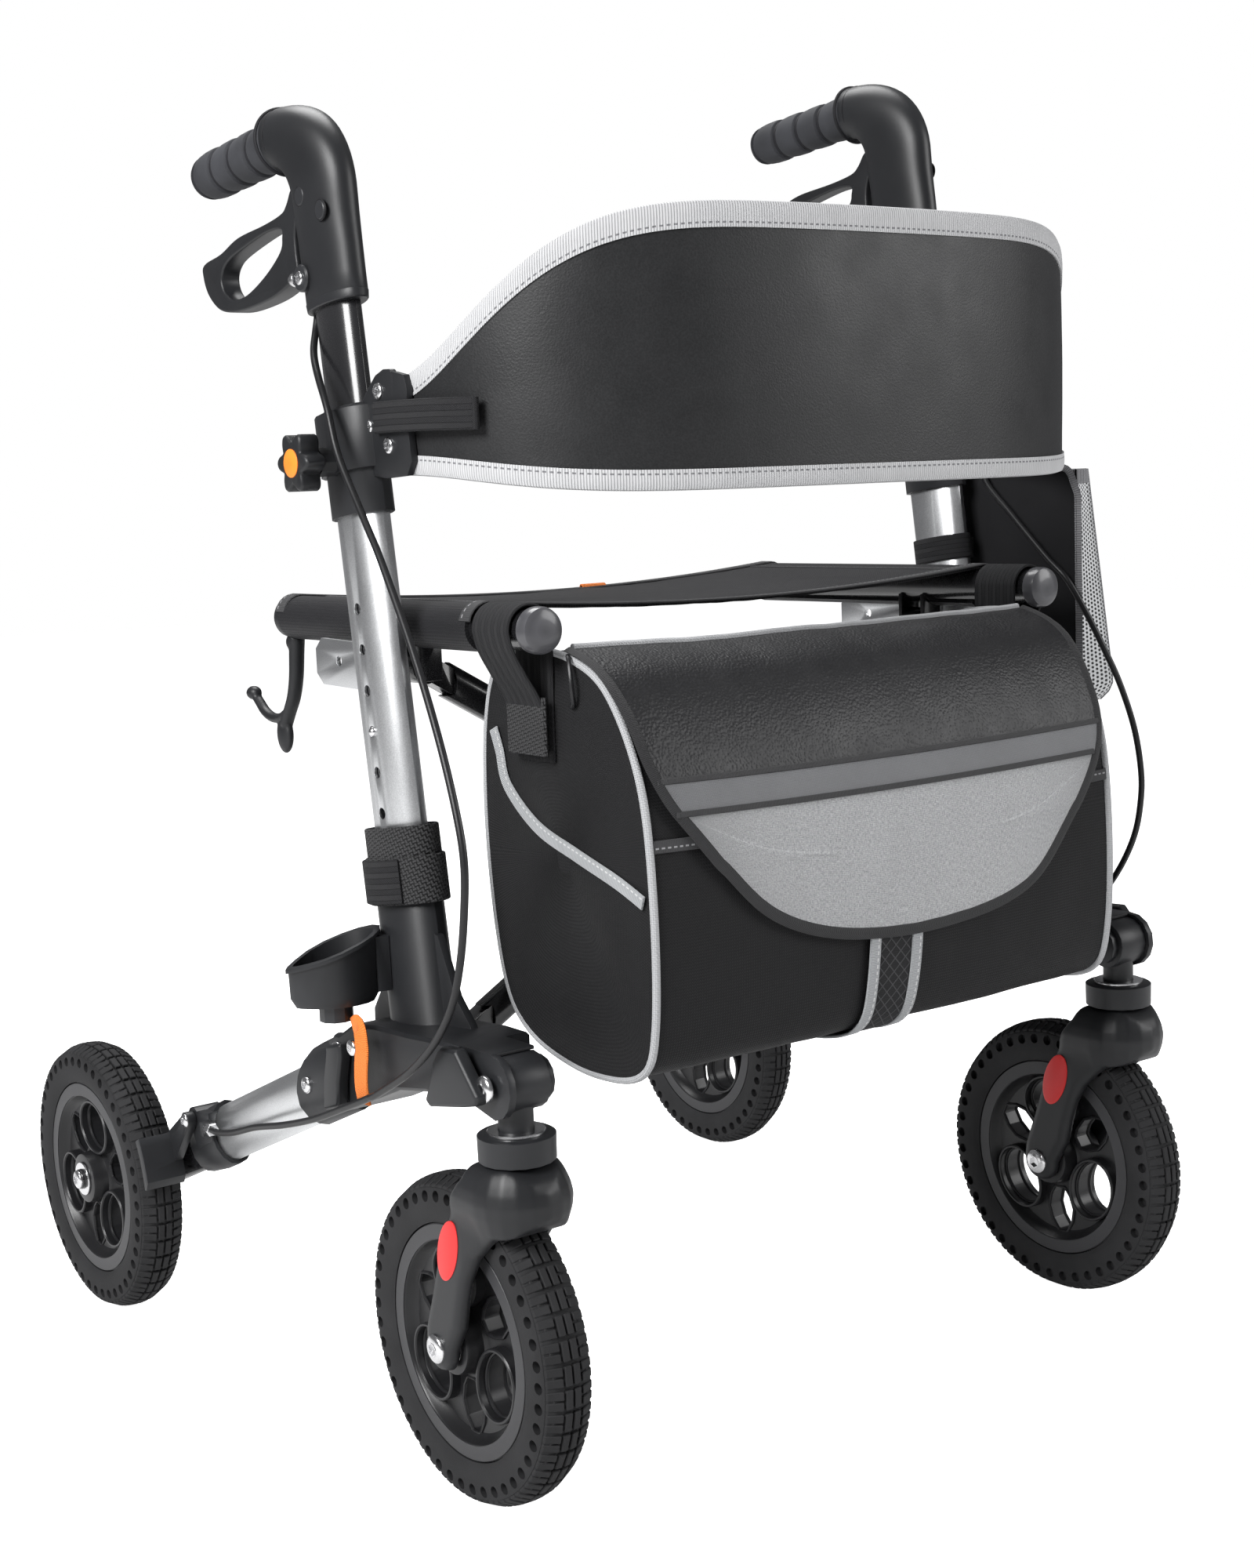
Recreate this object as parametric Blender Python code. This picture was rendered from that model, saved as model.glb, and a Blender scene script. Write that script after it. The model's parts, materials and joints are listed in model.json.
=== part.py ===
# Folding walker with a seat, built in metres with +Z up.
# X is across the walker, with the user's right side at -X. The front is -Y.
# The origin is on the floor, at the middle of the footprint.
import math

import bmesh
import bpy
from mathutils import Matrix, Vector

# Clearances
TOUCH = 0.0003
RUNNING = 0.0004

# Sides, as signs of X
RIGHT = -1
LEFT = 1
SIDES = {"right": RIGHT, "left": LEFT}

# Wheels
WHEEL_RADIUS = 0.100
TYRE_WIDTH = 0.034
RIM_RADIUS = 0.0715
RIM_BARREL_RADIUS = 0.061
RIM_WIDTH = 0.028
HUB_RADIUS = 0.0185
HUB_LENGTH = 0.039
AXLE_RADIUS = 0.004
AXLE_BOSS_RADIUS = 0.008
AXLE_NUT_RADIUS = 0.0075
PETALS = 3
PETAL_BEND_RADIUS = 0.0300
PETAL_END_RADIUS = 0.0095
RIM_WEB_WIDTH = 0.0220
RIM_RIB = 0.0040

# Side frames: distance of each member's middle from the walker's middle plane
UPRIGHT_OUT = 0.2435
LEG_OUT = 0.2620
RAIL_OUT = 0.2090
STEM_OUT = 0.2570
REAR_WHEEL_OUT = 0.2925
BRACE_PIVOT_OUT = 0.2050

# Oval tube of the uprights
TUBE_LONG = 0.0480
TUBE_SHORT = 0.0250
TUBE_WALL = 0.0018
UPRIGHT_FOOT_Y = -0.1540
UPRIGHT_FOOT_Z = 0.2800
UPRIGHT_LEAN = math.radians(7.6)
UPRIGHT_TOP_Z = 0.6400
HOLE_RADIUS = 0.0037
HOLE_PITCH = 0.0250
HOLE_COUNT = 6
BUTTON_HOLE = 3
HOLES_RAISED = {RIGHT: 0, LEFT: 2}
BUTTON_Z = 0.4570

# Height tube and handle
POST_WALL = 0.0020
POST_CLEARANCE = 0.0004
POST_BELOW_BUTTON = 0.0400
SHELL_FOOT_Z = 0.7160
POST_TOP_Z = 0.7515
SHELL_LONG = 0.0580
SHELL_SHORT = 0.0260
HEAD_LONG = 0.0600
HEAD_SHORT = 0.0290
HEAD_BEND_Z = 0.7830
HEAD_BEND_RADIUS = 0.0410
HEAD_END_RADIUS = 0.0195
HEAD_SQUARENESS = 2.15
GRIP_DROOP = math.radians(4.4)
GRIP_LENGTH = 0.1100
GRIP_RADIUS = 0.0150
GRIP_STEP = 0.0012
GRIP_RINGS = 4
GRIP_FLANGE_RADIUS = 0.0200
GRIP_FLANGE_LENGTH = 0.0050
GRIP_CORE_RADIUS = 0.0110
GRIP_CORE_LENGTH = 0.0880
LEVER_PIVOT = (-0.0635, 0.7820)
LEVER_THICKNESS = 0.0140
LEVER_EYE_RADIUS = 0.0080
LEVER_PIN_RADIUS = 0.0030

# Collar, backrest bracket and star knob
COLLAR_WALL = 0.0030
COLLAR_FOOT_Z = 0.5870
COLLAR_TOP_Z = 0.6520
BRACKET_WALL = 0.0032
BRACKET_FOOT_Z = 0.6130
BRACKET_TOP_Z = 0.6495
KNOB_Z = 0.6200
KNOB_RADIUS = 0.0155
KNOB_LOBE = 0.0035
KNOB_LOBES = 6
KNOB_THICKNESS = 0.0140
KNOB_NECK = 0.0025
KNOB_SHAFT_RADIUS = 0.0030
KNOB_BOSS_RADIUS = 0.0090
KNOB_BOSS_LENGTH = 0.0090
PLATE_THICKNESS = 0.0043

# Backrest band
BAND_THICKNESS = 0.0050
BAND_BACK_Y = -0.1500
BAND_DEPTH = 0.1700
BAND_SQUARENESS = 2.8
BAND_FOOT_Z = 0.5960
BAND_END_FOOT_Z = 0.6110
BAND_TOP_Z = 0.7550
BAND_END_TOP_Z = 0.6660
BAND_CROWDING = 1.25
BAND_RISE_SHARE = 1.03
BAND_RISE_POWER = 1.15

# Seat rails, seat and cane hook
RAIL_RADIUS = 0.0125
RAIL_CAP_RADIUS = 0.0135
RAIL_CAP_LENGTH = 0.0060
RAIL_Z = 0.5190
RAIL_FRONT_Y = -0.2490
RAIL_REAR_Y = 0.0530
SEAT_FRONT_Y = -0.1900
SEAT_REAR_Y = 0.0440
SEAT_THICKNESS = 0.0030
SEAT_SAG = 0.0100
SLEEVE_WALL = 0.0018

# Cross braces
BRACE_RADIUS = 0.0110
BRACE_FOOT_Z = 0.2560
BRACE_TOP_Z = 0.4920
BRACE_FRONT_Y = -0.1325
BRACE_GAP = 0.0040
BRACE_EYE_RADIUS = 0.0110
BRACE_EYE_LENGTH = 0.0180
BRACE_PIN_RADIUS = 0.0040
LUG_THICKNESS = 0.0035
LUG_HALF_WIDTH = 0.0085

# Corner housing, rear leg and latches
HOUSING_IN = 0.2255
HOUSING_OUT = 0.2765
SOCKET_WALL = 0.0045
FIN_THICKNESS = 0.0050
SOCKET_TOP_Z = 0.3860
LEG_ROOT = (-0.0984, 0.2377)
LEG_SLOPE = math.radians(23.0)
LEG_HINGE = (-0.1020, 0.2560)
LEG_FOLD = 72
LEG_KNUCKLE_RADIUS = 0.0115
LEG_TONGUE = 0.0190
LEG_PIN_RADIUS = 0.0040
LEG_TUBE_LONG = 0.0400
LEG_TUBE_SHORT = 0.0250
LEG_TUBE_START = 0.0120
LEG_TUBE_END = 0.2150
LEG_FITTING_START = 0.0015
LEG_FITTING_END = 0.0640
LEG_FITTING_HALF = 0.0254
LEG_FITTING_RISE = 0.0029
LEG_INNER_END = 0.3850
LEG_INNER_WALL = 0.0020
BRAKE_COLLAR_START = 0.2000
BRAKE_COLLAR_END = 0.2450
BRAKE_COLLAR_WALL = 0.0028
LATCH_THICKNESS = 0.0090
REAR_LATCH_HINGE = (-0.1130, 0.2540)
FRONT_LATCH_HINGE = (-0.2350, 0.2640)

# Front stem, fork and wheels
STEM_Y = -0.2715
FRONT_PIVOT_Z = 0.2665
BARREL_RADIUS = 0.0165
BARREL_LENGTH = 0.0250
BARREL_OUT = 0.2550
EAR_RADIUS = 0.0190
EAR_THICKNESS = 0.0046
EAR_ROOT_Y = -0.2420
INNER_EAR_RADIUS = 0.0130
FRONT_PIN_RADIUS = 0.0040
STEM_NECK_RADIUS = 0.0105
DUST_CAP_RADIUS = 0.0225
DUST_CAP_HEIGHT = 0.0155
DUST_CAP_TOP_Z = 0.2373
SPINDLE_RADIUS = 0.0060
SPINDLE_LENGTH = 0.0200
TRAIL = 0.0525
FORK_HALF_WIDTH = 0.0290
FORK_SLOT_HALF_WIDTH = 0.0206
FORK_END_RADIUS = 0.0150
WHEEL_CLEARANCE = 0.0045
REAR_AXLE_Y = 0.2390
REAR_BOLT_OUT = 0.3165

# Brake shoe
SHOE_GAP = 0.0015
SHOE_THICKNESS = 0.0070
SHOE_PIVOT = (0.1140, 0.1660)
SHOE_FROM = math.radians(152.0)
SHOE_TO = math.radians(172.0)
CABLE_RADIUS = 0.00225

# Bag, cane cup and side pouch
BAG_HALF_WIDTH = 0.1925
BAG_FRONT_Y = -0.3205
STRAP_WIDTH = 0.0380
STRAP_WALL = 0.0018
CUP_RIM_Z = 0.3380
CUP_RIM_FALL = 0.3400
CUP_FLOOR_Z = 0.2960
CUP_HALF_WIDTH = 0.0190
CUP_LENGTH = 0.0560
CUP_WALL = 0.0022
CUP_START = (0.2625, -0.1340)
CUP_DIRECTION = math.radians(167.0)
POUCH_GAP = 0.0032
POUCH_THICK = 0.0470
POUCH_THIN = 0.0195
POUCH_WALL = 0.0030
POUCH_FOOT_Z = 0.4320
POUCH_TOP_Z = 0.5980
POUCH_LOOP_Z = 0.5250

# Facets round a circle, chosen for each kind of surface
ROUND = 16
SMALL_ROUND = 10
TUBE_ROUND = 16
WHEEL_ROUND = 24

AXLE_Z = WHEEL_RADIUS
BAND_FRONT_Y = BAND_BACK_Y - BAND_DEPTH - BAND_THICKNESS / 2
FOOTPRINT_SHIFT = -(REAR_AXLE_Y + WHEEL_RADIUS + BAND_FRONT_Y) / 2
TUBE_A = TUBE_LONG / 2
TUBE_B = TUBE_SHORT / 2
BORE_A = TUBE_A - TUBE_WALL
BORE_B = TUBE_B - TUBE_WALL
LEG_A = LEG_TUBE_LONG / 2
LEG_B = LEG_TUBE_SHORT / 2
LEG_BORE_A = LEG_A - TUBE_WALL
LEG_BORE_B = LEG_B - TUBE_WALL
LEG_INNER_A = LEG_BORE_A - TOUCH
LEG_INNER_B = LEG_BORE_B - TOUCH
POST_A = BORE_A - POST_CLEARANCE
POST_B = BORE_B - POST_CLEARANCE
COLLAR_A = TUBE_A + TOUCH + COLLAR_WALL
COLLAR_B = TUBE_B + TOUCH + COLLAR_WALL
BRACKET_A = COLLAR_A + TOUCH + BRACKET_WALL
BRACKET_B = COLLAR_B + TOUCH + BRACKET_WALL
FRONT_AXLE_Y = STEM_Y + TRAIL
BRACE_REAR_Y = BRACE_FRONT_Y + 2 * BRACE_RADIUS + BRACE_GAP
UPRIGHT_AXIS = Vector((0, math.sin(UPRIGHT_LEAN), math.cos(UPRIGHT_LEAN)))
UPRIGHT_ACROSS = Vector((0, math.cos(UPRIGHT_LEAN), -math.sin(UPRIGHT_LEAN)))
LEG_AXIS = Vector((0, math.cos(LEG_SLOPE), -math.sin(LEG_SLOPE)))
LEG_ACROSS = Vector((0, math.sin(LEG_SLOPE), math.cos(LEG_SLOPE)))

# Cable routes: distance out, y and z, chosen by hand. The left cable passes inside its pouch
CABLE_INLET_Y = -0.0702
UPPER_CABLES = {
    RIGHT: [
        (0.2435, CABLE_INLET_Y, 0.7200), (0.2435, CABLE_INLET_Y, 0.7050), (0.2465, -0.0705, 0.6985),
        (0.2555, -0.0790, 0.6920), (0.2610, -0.0925, 0.6840), (0.2660, -0.1070, 0.6720),
        (0.2690, -0.1213, 0.6515), (0.2715, -0.1358, 0.6234), (0.2740, -0.1624, 0.5914),
        (0.2780, -0.1900, 0.5620), (0.2840, -0.2290, 0.5140), (0.2900, -0.2620, 0.4670),
        (0.2940, -0.2830, 0.4280), (0.2955, -0.2911, 0.4009), (0.2955, -0.2886, 0.3725),
        (0.2945, -0.2803, 0.3427), (0.2930, -0.2666, 0.3157), (0.2920, -0.2453, 0.2914),
        (0.2910, -0.2130, 0.2674), (0.2905, -0.1740, 0.2463), (0.2905, -0.1640, 0.2420)],
    LEFT: [
        (0.2435, CABLE_INLET_Y + 0.0066, 0.7696), (0.2435, CABLE_INLET_Y + 0.0066, 0.7550),
        (0.2465, -0.0650, 0.7480), (0.2555, -0.0760, 0.7340), (0.2610, -0.0900, 0.7120),
        (0.2665, -0.1070, 0.6800), (0.2680, -0.1240, 0.6480), (0.2640, -0.1400, 0.6170),
        (0.2570, -0.1500, 0.5930), (0.2555, -0.1765, 0.5682), (0.2545, -0.2108, 0.5373),
        (0.2560, -0.2276, 0.5222), (0.2630, -0.2392, 0.4985), (0.2720, -0.2490, 0.4704),
        (0.2820, -0.2544, 0.4448), (0.2895, -0.2602, 0.4137), (0.2940, -0.2622, 0.3824),
        (0.2955, -0.2601, 0.3594), (0.2955, -0.2545, 0.3361), (0.2945, -0.2425, 0.3119),
        (0.2930, -0.2260, 0.2900), (0.2915, -0.2010, 0.2665), (0.2905, -0.1740, 0.2463),
        (0.2905, -0.1640, 0.2420)],
}
LOWER_CABLE = [
    (0.2905, -0.1640, 0.2420), (0.2905, -0.1540, 0.2377), (0.2905, -0.1250, 0.2260),
    (0.2900, -0.0900, 0.2125), (0.2880, -0.0450, 0.1985), (0.2855, 0.0000, 0.1865),
    (0.2825, 0.0400, 0.1735), (0.2802, 0.0700, 0.1662), (0.2800, 0.0830, 0.1660),
]

FINISHES = {
    "silver_tube": ((0.72, 0.73, 0.74), 0.38, 1.0),
    "black_tube": ((0.03, 0.03, 0.032), 0.35, 0.0),
    "black_plastic": ((0.035, 0.037, 0.04), 0.5, 0.0),
    "grip_rubber": ((0.06, 0.062, 0.068), 0.65, 0.0),
    "tyre_rubber": ((0.035, 0.035, 0.036), 0.8, 0.0),
    "rim_plastic": ((0.028, 0.029, 0.031), 0.42, 0.0),
    "steel": ((0.78, 0.78, 0.79), 0.25, 1.0),
    "cable_black": ((0.03, 0.03, 0.032), 0.45, 0.0),
    "seat_fabric": ((0.03, 0.031, 0.034), 0.85, 0.0),
    "bag_fabric": ((0.02, 0.02, 0.021), 0.8, 0.0),
    "band_leather": ((0.04, 0.041, 0.043), 0.55, 0.0),
}


def clear_scene():
    for old in list(bpy.data.objects):
        bpy.data.objects.remove(old, do_unlink=True)


def make_material(name):
    color, roughness, metallic = FINISHES[name]
    material = bpy.data.materials.new(name)
    material.use_nodes = True
    shader = material.node_tree.nodes["Principled BSDF"]
    shader.inputs["Base Color"].default_value = (*color, 1.0)
    shader.inputs["Roughness"].default_value = roughness
    shader.inputs["Metallic"].default_value = metallic
    return material


def make_object(name, verts, faces, finish=None, smooth=True):
    """Make one closed mesh object with its faces pointing out."""
    mesh = bpy.data.meshes.new(name)
    mesh.from_pydata([tuple(v) for v in verts], [], faces)
    shell = bmesh.new()
    shell.from_mesh(mesh)
    bmesh.ops.recalc_face_normals(shell, faces=shell.faces)
    shell.to_mesh(mesh)
    shell.free()
    item = bpy.data.objects.new(name, mesh)
    bpy.context.scene.collection.objects.link(item)
    if finish:
        item.data.materials.append(make_material_for(name, finish))
    if smooth:
        mesh.shade_smooth()
        mesh.set_sharp_from_angle(angle=math.radians(35))
    return item


def make_material_for(name, finish):
    """Give each object its own copy of a finish."""
    material = make_material(finish)
    material.name = name + "_" + finish
    return material


def loft(name, rings, finish=None, closed=False):
    """Skin equal rings of points, with capped ends or as a closed loop of rings."""
    count = len(rings[0])
    verts = [point for ring in rings for point in ring]
    faces = []
    spans = len(rings) if closed else len(rings) - 1
    for i in range(spans):
        a = i * count
        b = ((i + 1) % len(rings)) * count
        for j in range(count):
            k = (j + 1) % count
            faces.append((a + j, a + k, b + k, b + j))
    if not closed:
        faces.append(tuple(range(count - 1, -1, -1)))
        faces.append(tuple(range((len(rings) - 1) * count, len(rings) * count)))
    return make_object(name, verts, faces, finish)


def ring_points(center, u, v, a, b, count, squareness=2.0):
    """Points round an oval or superellipse with half axes a along u and b along v."""
    points = []
    power = 2.0 / squareness
    for i in range(count):
        angle = 2 * math.pi * i / count
        c = math.cos(angle)
        s = math.sin(angle)
        along = math.copysign(abs(c) ** power, c) * a
        side = math.copysign(abs(s) ** power, s) * b
        points.append(Vector(center) + Vector(u) * along + Vector(v) * side)
    return points


def prism(name, outline, side, near, far, finish=None):
    """Extrude a (y, z) outline across the walker, between two distances out."""
    count = len(outline)
    verts = [(side * near, y, z) for y, z in outline]
    verts += [(side * far, y, z) for y, z in outline]
    faces = [tuple(range(count)), tuple(range(2 * count - 1, count - 1, -1))]
    for i in range(count):
        k = (i + 1) % count
        faces.append((i, k, count + k, count + i))
    return make_object(name, verts, faces, finish, smooth=bool(finish))


def box(name, low, high, finish=None):
    """A box between two corners."""
    x0, y0, z0 = low
    x1, y1, z1 = high
    verts = [(x0, y0, z0), (x1, y0, z0), (x1, y1, z0), (x0, y1, z0),
             (x0, y0, z1), (x1, y0, z1), (x1, y1, z1), (x0, y1, z1)]
    faces = [(0, 3, 2, 1), (4, 5, 6, 7), (0, 1, 5, 4), (1, 2, 6, 5), (2, 3, 7, 6), (3, 0, 4, 7)]
    return make_object(name, verts, faces, finish, smooth=False)


def lathe(name, profile, start, axis, finish=None, count=ROUND, closed=False):
    """Turn a profile of (distance along the axis, radius) pairs about an axis."""
    axis = Vector(axis).normalized()
    helper = Vector((0, 0, 1)) if abs(axis.z) < 0.9 else Vector((1, 0, 0))
    u = axis.cross(helper).normalized()
    v = axis.cross(u).normalized()
    rings = [ring_points(Vector(start) + axis * d, u, v, r, r, count) for d, r in profile]
    return loft(name, rings, finish, closed)


def rod(name, start, end, radius, finish=None, count=SMALL_ROUND):
    """A plain round bar between two points."""
    start = Vector(start)
    end = Vector(end)
    length = (end - start).length
    return lathe(name, [(0, radius), (length, radius)], start, end - start, finish, count)


def carve(item, tool, operation="DIFFERENCE"):
    """Apply an exact Boolean to item, then delete the tool."""
    step = item.modifiers.new("carve", "BOOLEAN")
    step.operation = operation
    step.solver = "EXACT"
    step.object = tool
    graph = bpy.context.evaluated_depsgraph_get()
    mesh = bpy.data.meshes.new_from_object(item.evaluated_get(graph))
    item.modifiers.clear()
    old = item.data
    mesh.name = old.name
    item.data = mesh
    bpy.data.meshes.remove(old)
    bpy.data.objects.remove(tool, do_unlink=True)
    return item


def join(item, *tools):
    for tool in tools:
        carve(item, tool, "UNION")
    return item


def cut(item, *tools):
    for tool in tools:
        carve(item, tool, "DIFFERENCE")
    return item


def soften(item, width, segments=2, angle=40):
    """Round the item's sharp edges with a Bevel modifier and apply it."""
    bevel = item.modifiers.new("bevel", "BEVEL")
    bevel.width = width
    bevel.segments = segments
    bevel.limit_method = "ANGLE"
    bevel.angle_limit = math.radians(angle)
    graph = bpy.context.evaluated_depsgraph_get()
    mesh = bpy.data.meshes.new_from_object(item.evaluated_get(graph))
    item.modifiers.clear()
    old = item.data
    mesh.name = old.name
    item.data = mesh
    bpy.data.meshes.remove(old)
    return item


def shade(item):
    item.data.shade_smooth()
    item.data.set_sharp_from_angle(angle=math.radians(35))
    return item


def set_origin(item, point):
    """Put the object's origin at a point without moving its mesh."""
    point = Vector(point)
    item.data.transform(Matrix.Translation(-point))
    item.location = point
    return item


def raise_handle(item, side):
    """Lift a piece of the handle to its side's height setting."""
    item.location += UPRIGHT_AXIS * (HOLE_PITCH * HOLES_RAISED[side])
    return item


def arc(center, radius, start, end, count):
    """Points of an arc in the (y, z) plane, angles in degrees from +Y towards +Z."""
    points = []
    for i in range(count + 1):
        angle = math.radians(start + (end - start) * i / count)
        points.append((center[0] + radius * math.cos(angle), center[1] + radius * math.sin(angle)))
    return points


def upright_y(z):
    """The y of the upright's axis at a height."""
    return UPRIGHT_FOOT_Y + (z - UPRIGHT_FOOT_Z) * math.tan(UPRIGHT_LEAN)


def upright_point(side, z):
    return Vector((side * UPRIGHT_OUT, upright_y(z), z))


def upright_ring(side, z, a, b, count=TUBE_ROUND):
    """An oval section square to the upright's axis."""
    return ring_points(upright_point(side, z), UPRIGHT_ACROSS, (1, 0, 0), a, b, count)


def oval_sleeve(name, side, stations, finish):
    """A sleeve on the upright's axis: (z, long half axis, short half axis) round its section."""
    rings = [upright_ring(side, z, a, b) for z, a, b in stations]
    return loft(name, rings, finish, closed=True)


def leg_point(side, along):
    """A point on the rear leg's axis, at a distance from its root."""
    root = Vector((side * LEG_OUT, LEG_ROOT[0], LEG_ROOT[1]))
    return root + LEG_AXIS * along


def leg_ring(side, along, a, b, rise=0.0):
    center = leg_point(side, along) + LEG_ACROSS * rise
    return ring_points(center, LEG_ACROSS, (1, 0, 0), a, b, TUBE_ROUND)


def leg_outline(points):
    """Turn (along, across) pairs measured from the leg's root into (y, z) pairs."""
    placed = []
    for along, across in points:
        at = leg_point(1, along) + LEG_ACROSS * across
        placed.append((at.y, at.z))
    return placed


def polar(center, angle, along, across):
    """A (y, z) point at a distance along a direction from a centre, and a distance to its left."""
    c = math.cos(math.radians(angle))
    s = math.sin(math.radians(angle))
    return center[0] + along * c - across * s, center[1] + along * s + across * c


def make_upright(name, side):
    """The silver tube with its row of holes and the rail guide plate behind it."""
    foot = UPRIGHT_FOOT_Z + 0.004
    tube = oval_sleeve(name, side, [
        (foot, TUBE_A, TUBE_B), (UPRIGHT_TOP_Z, TUBE_A, TUBE_B),
        (UPRIGHT_TOP_Z, BORE_A, BORE_B), (foot, BORE_A, BORE_B)], "silver_tube")
    for i in range(HOLE_COUNT):
        z = BUTTON_Z + (BUTTON_HOLE - i) * HOLE_PITCH * math.cos(UPRIGHT_LEAN)
        center = upright_point(side, z)
        outer = center + Vector((side * (TUBE_B + 0.002), 0, 0))
        inner = center + Vector((side * 0.004, 0, 0))
        cut(tube, rod("hole", inner, outer, HOLE_RADIUS))
    guide_out = UPRIGHT_OUT - TUBE_B
    guide = prism("guide", [(-0.128, 0.4765), (-0.030, 0.4790), (-0.022, 0.4860),
                            (-0.022, 0.5020), (-0.030, 0.5090), (-0.128, 0.5065)],
                  side, guide_out - 0.0020, guide_out + 0.0012)
    bore = loft("bore", [upright_ring(side, 0.46, BORE_A, BORE_B), upright_ring(side, 0.53, BORE_A, BORE_B)])
    cut(guide, bore)
    plate_hole = rod("hole", (side * 0.22, -0.052, 0.4950), (side * 0.24, -0.052, 0.4950), 0.0035)
    cut(guide, plate_hole)
    join(tube, guide)
    shade(tube)
    return set_origin(tube, upright_point(side, UPRIGHT_FOOT_Z))


def make_collar(name, side):
    """The plastic collar on the tube's mouth, with a lip round the height tube."""
    lip_a = POST_A + RUNNING
    lip_b = POST_B + RUNNING
    seat_z = UPRIGHT_TOP_Z + TOUCH
    bore_a = TUBE_A + TOUCH
    bore_b = TUBE_B + TOUCH
    collar = oval_sleeve(name, side, [
        (COLLAR_FOOT_Z, COLLAR_A, COLLAR_B), (COLLAR_TOP_Z - 0.002, COLLAR_A, COLLAR_B),
        (COLLAR_TOP_Z, COLLAR_A - 0.002, COLLAR_B - 0.002), (COLLAR_TOP_Z, lip_a, lip_b),
        (seat_z, lip_a, lip_b), (seat_z, bore_a, bore_b), (COLLAR_FOOT_Z, bore_a, bore_b)],
        "black_plastic")
    return set_origin(collar, upright_point(side, COLLAR_FOOT_Z))


def make_bracket(name, side):
    """The backrest bracket: a clamp on the collar, a plate for the band and the knob's boss."""
    hole_a = COLLAR_A + TOUCH
    hole_b = COLLAR_B + TOUCH
    bracket = loft(name, [
        upright_ring(side, BRACKET_FOOT_Z, BRACKET_A, BRACKET_B),
        upright_ring(side, BRACKET_TOP_Z, BRACKET_A, BRACKET_B)], "black_plastic")
    plate_near = UPRIGHT_OUT + 0.0002
    plate = prism("plate", [
        (-0.118, 0.6500), (-0.143, 0.6575), (-0.153, 0.6680), (-0.163, 0.6705), (-0.175, 0.6680),
        (-0.1785, 0.6600), (-0.1765, 0.6450), (-0.1785, 0.6300), (-0.1800, 0.6180),
        (-0.1740, 0.6100), (-0.150, 0.6090), (-0.118, 0.6130)],
        side, plate_near, plate_near + PLATE_THICKNESS)
    boss_center = upright_point(side, KNOB_Z)
    boss_far = BRACKET_B + KNOB_BOSS_LENGTH
    boss = rod("boss", boss_center + Vector((side * (BRACKET_B - 0.004), 0, 0)),
               boss_center + Vector((side * boss_far, 0, 0)), KNOB_BOSS_RADIUS, count=SMALL_ROUND)
    join(bracket, plate, boss)
    bore = loft("bore", [upright_ring(side, BRACKET_FOOT_Z - 0.02, hole_a, hole_b),
                         upright_ring(side, BRACKET_TOP_Z + 0.03, hole_a, hole_b)])
    shaft = rod("shaft", boss_center + Vector((side * (BRACKET_B - 0.001), 0, 0)),
                boss_center + Vector((side * (boss_far + 0.002), 0, 0)), KNOB_SHAFT_RADIUS + RUNNING)
    cut(bracket, bore, shaft)
    shade(bracket)
    return set_origin(bracket, upright_point(side, BRACKET_FOOT_Z))


def make_knob(name, side):
    """The star knob that clamps the backrest bracket."""
    center = upright_point(side, KNOB_Z)
    start = BRACKET_B + KNOB_BOSS_LENGTH + TOUCH
    rings = []
    count = KNOB_LOBES * 4
    body_start = start + KNOB_NECK
    ease = 0.0015
    for offset, shrink in ((0.0, ease), (ease, 0.0), (KNOB_THICKNESS - ease, 0.0), (KNOB_THICKNESS, ease)):
        ring = []
        for i in range(count):
            angle = 2 * math.pi * i / count
            radius = KNOB_RADIUS + KNOB_LOBE * math.cos(KNOB_LOBES * angle) - shrink
            ring.append(center + Vector((side * (body_start + offset), radius * math.cos(angle),
                                         radius * math.sin(angle))))
        rings.append(ring)
    knob = loft(name, rings, "black_plastic")
    neck = lathe("neck", [(-0.0070, KNOB_SHAFT_RADIUS), (0, KNOB_SHAFT_RADIUS), (0, 0.0075),
                          (KNOB_NECK + 0.002, 0.0075)],
                 center + Vector((side * start, 0, 0)), (side, 0, 0))
    join(knob, neck)
    shade(knob)
    return set_origin(knob, center)


def make_post(name, side):
    """The black height tube that slides in the upright."""
    foot = BUTTON_Z - POST_BELOW_BUTTON
    inner_a = POST_A - POST_WALL
    inner_b = POST_B - POST_WALL
    post = oval_sleeve(name, side, [
        (foot, POST_A, POST_B), (POST_TOP_Z, POST_A, POST_B),
        (POST_TOP_Z, inner_a, inner_b), (foot, inner_a, inner_b)], "black_tube")
    center = upright_point(side, BUTTON_Z)
    cut(post, rod("hole", center + Vector((side * 0.004, 0, 0)),
                  center + Vector((side * (POST_B + 0.002), 0, 0)), HOLE_RADIUS))
    shade(post)
    return raise_handle(set_origin(post, upright_point(side, BUTTON_Z)), side)


def make_button(name, side):
    """The sprung height button: a shoulder inside the height tube and a head in its hole."""
    center = upright_point(side, BUTTON_Z)
    inner_b = POST_B - POST_WALL
    head_end = POST_B
    shoulder_end = inner_b - 0.0006
    button = lathe(name, [(shoulder_end - 0.0020, 0.0046), (shoulder_end, 0.0046),
                          (shoulder_end, HOLE_RADIUS - RUNNING), (head_end, HOLE_RADIUS - RUNNING)],
                   center, (side, 0, 0), "steel")
    return raise_handle(set_origin(button, center), side)


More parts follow.
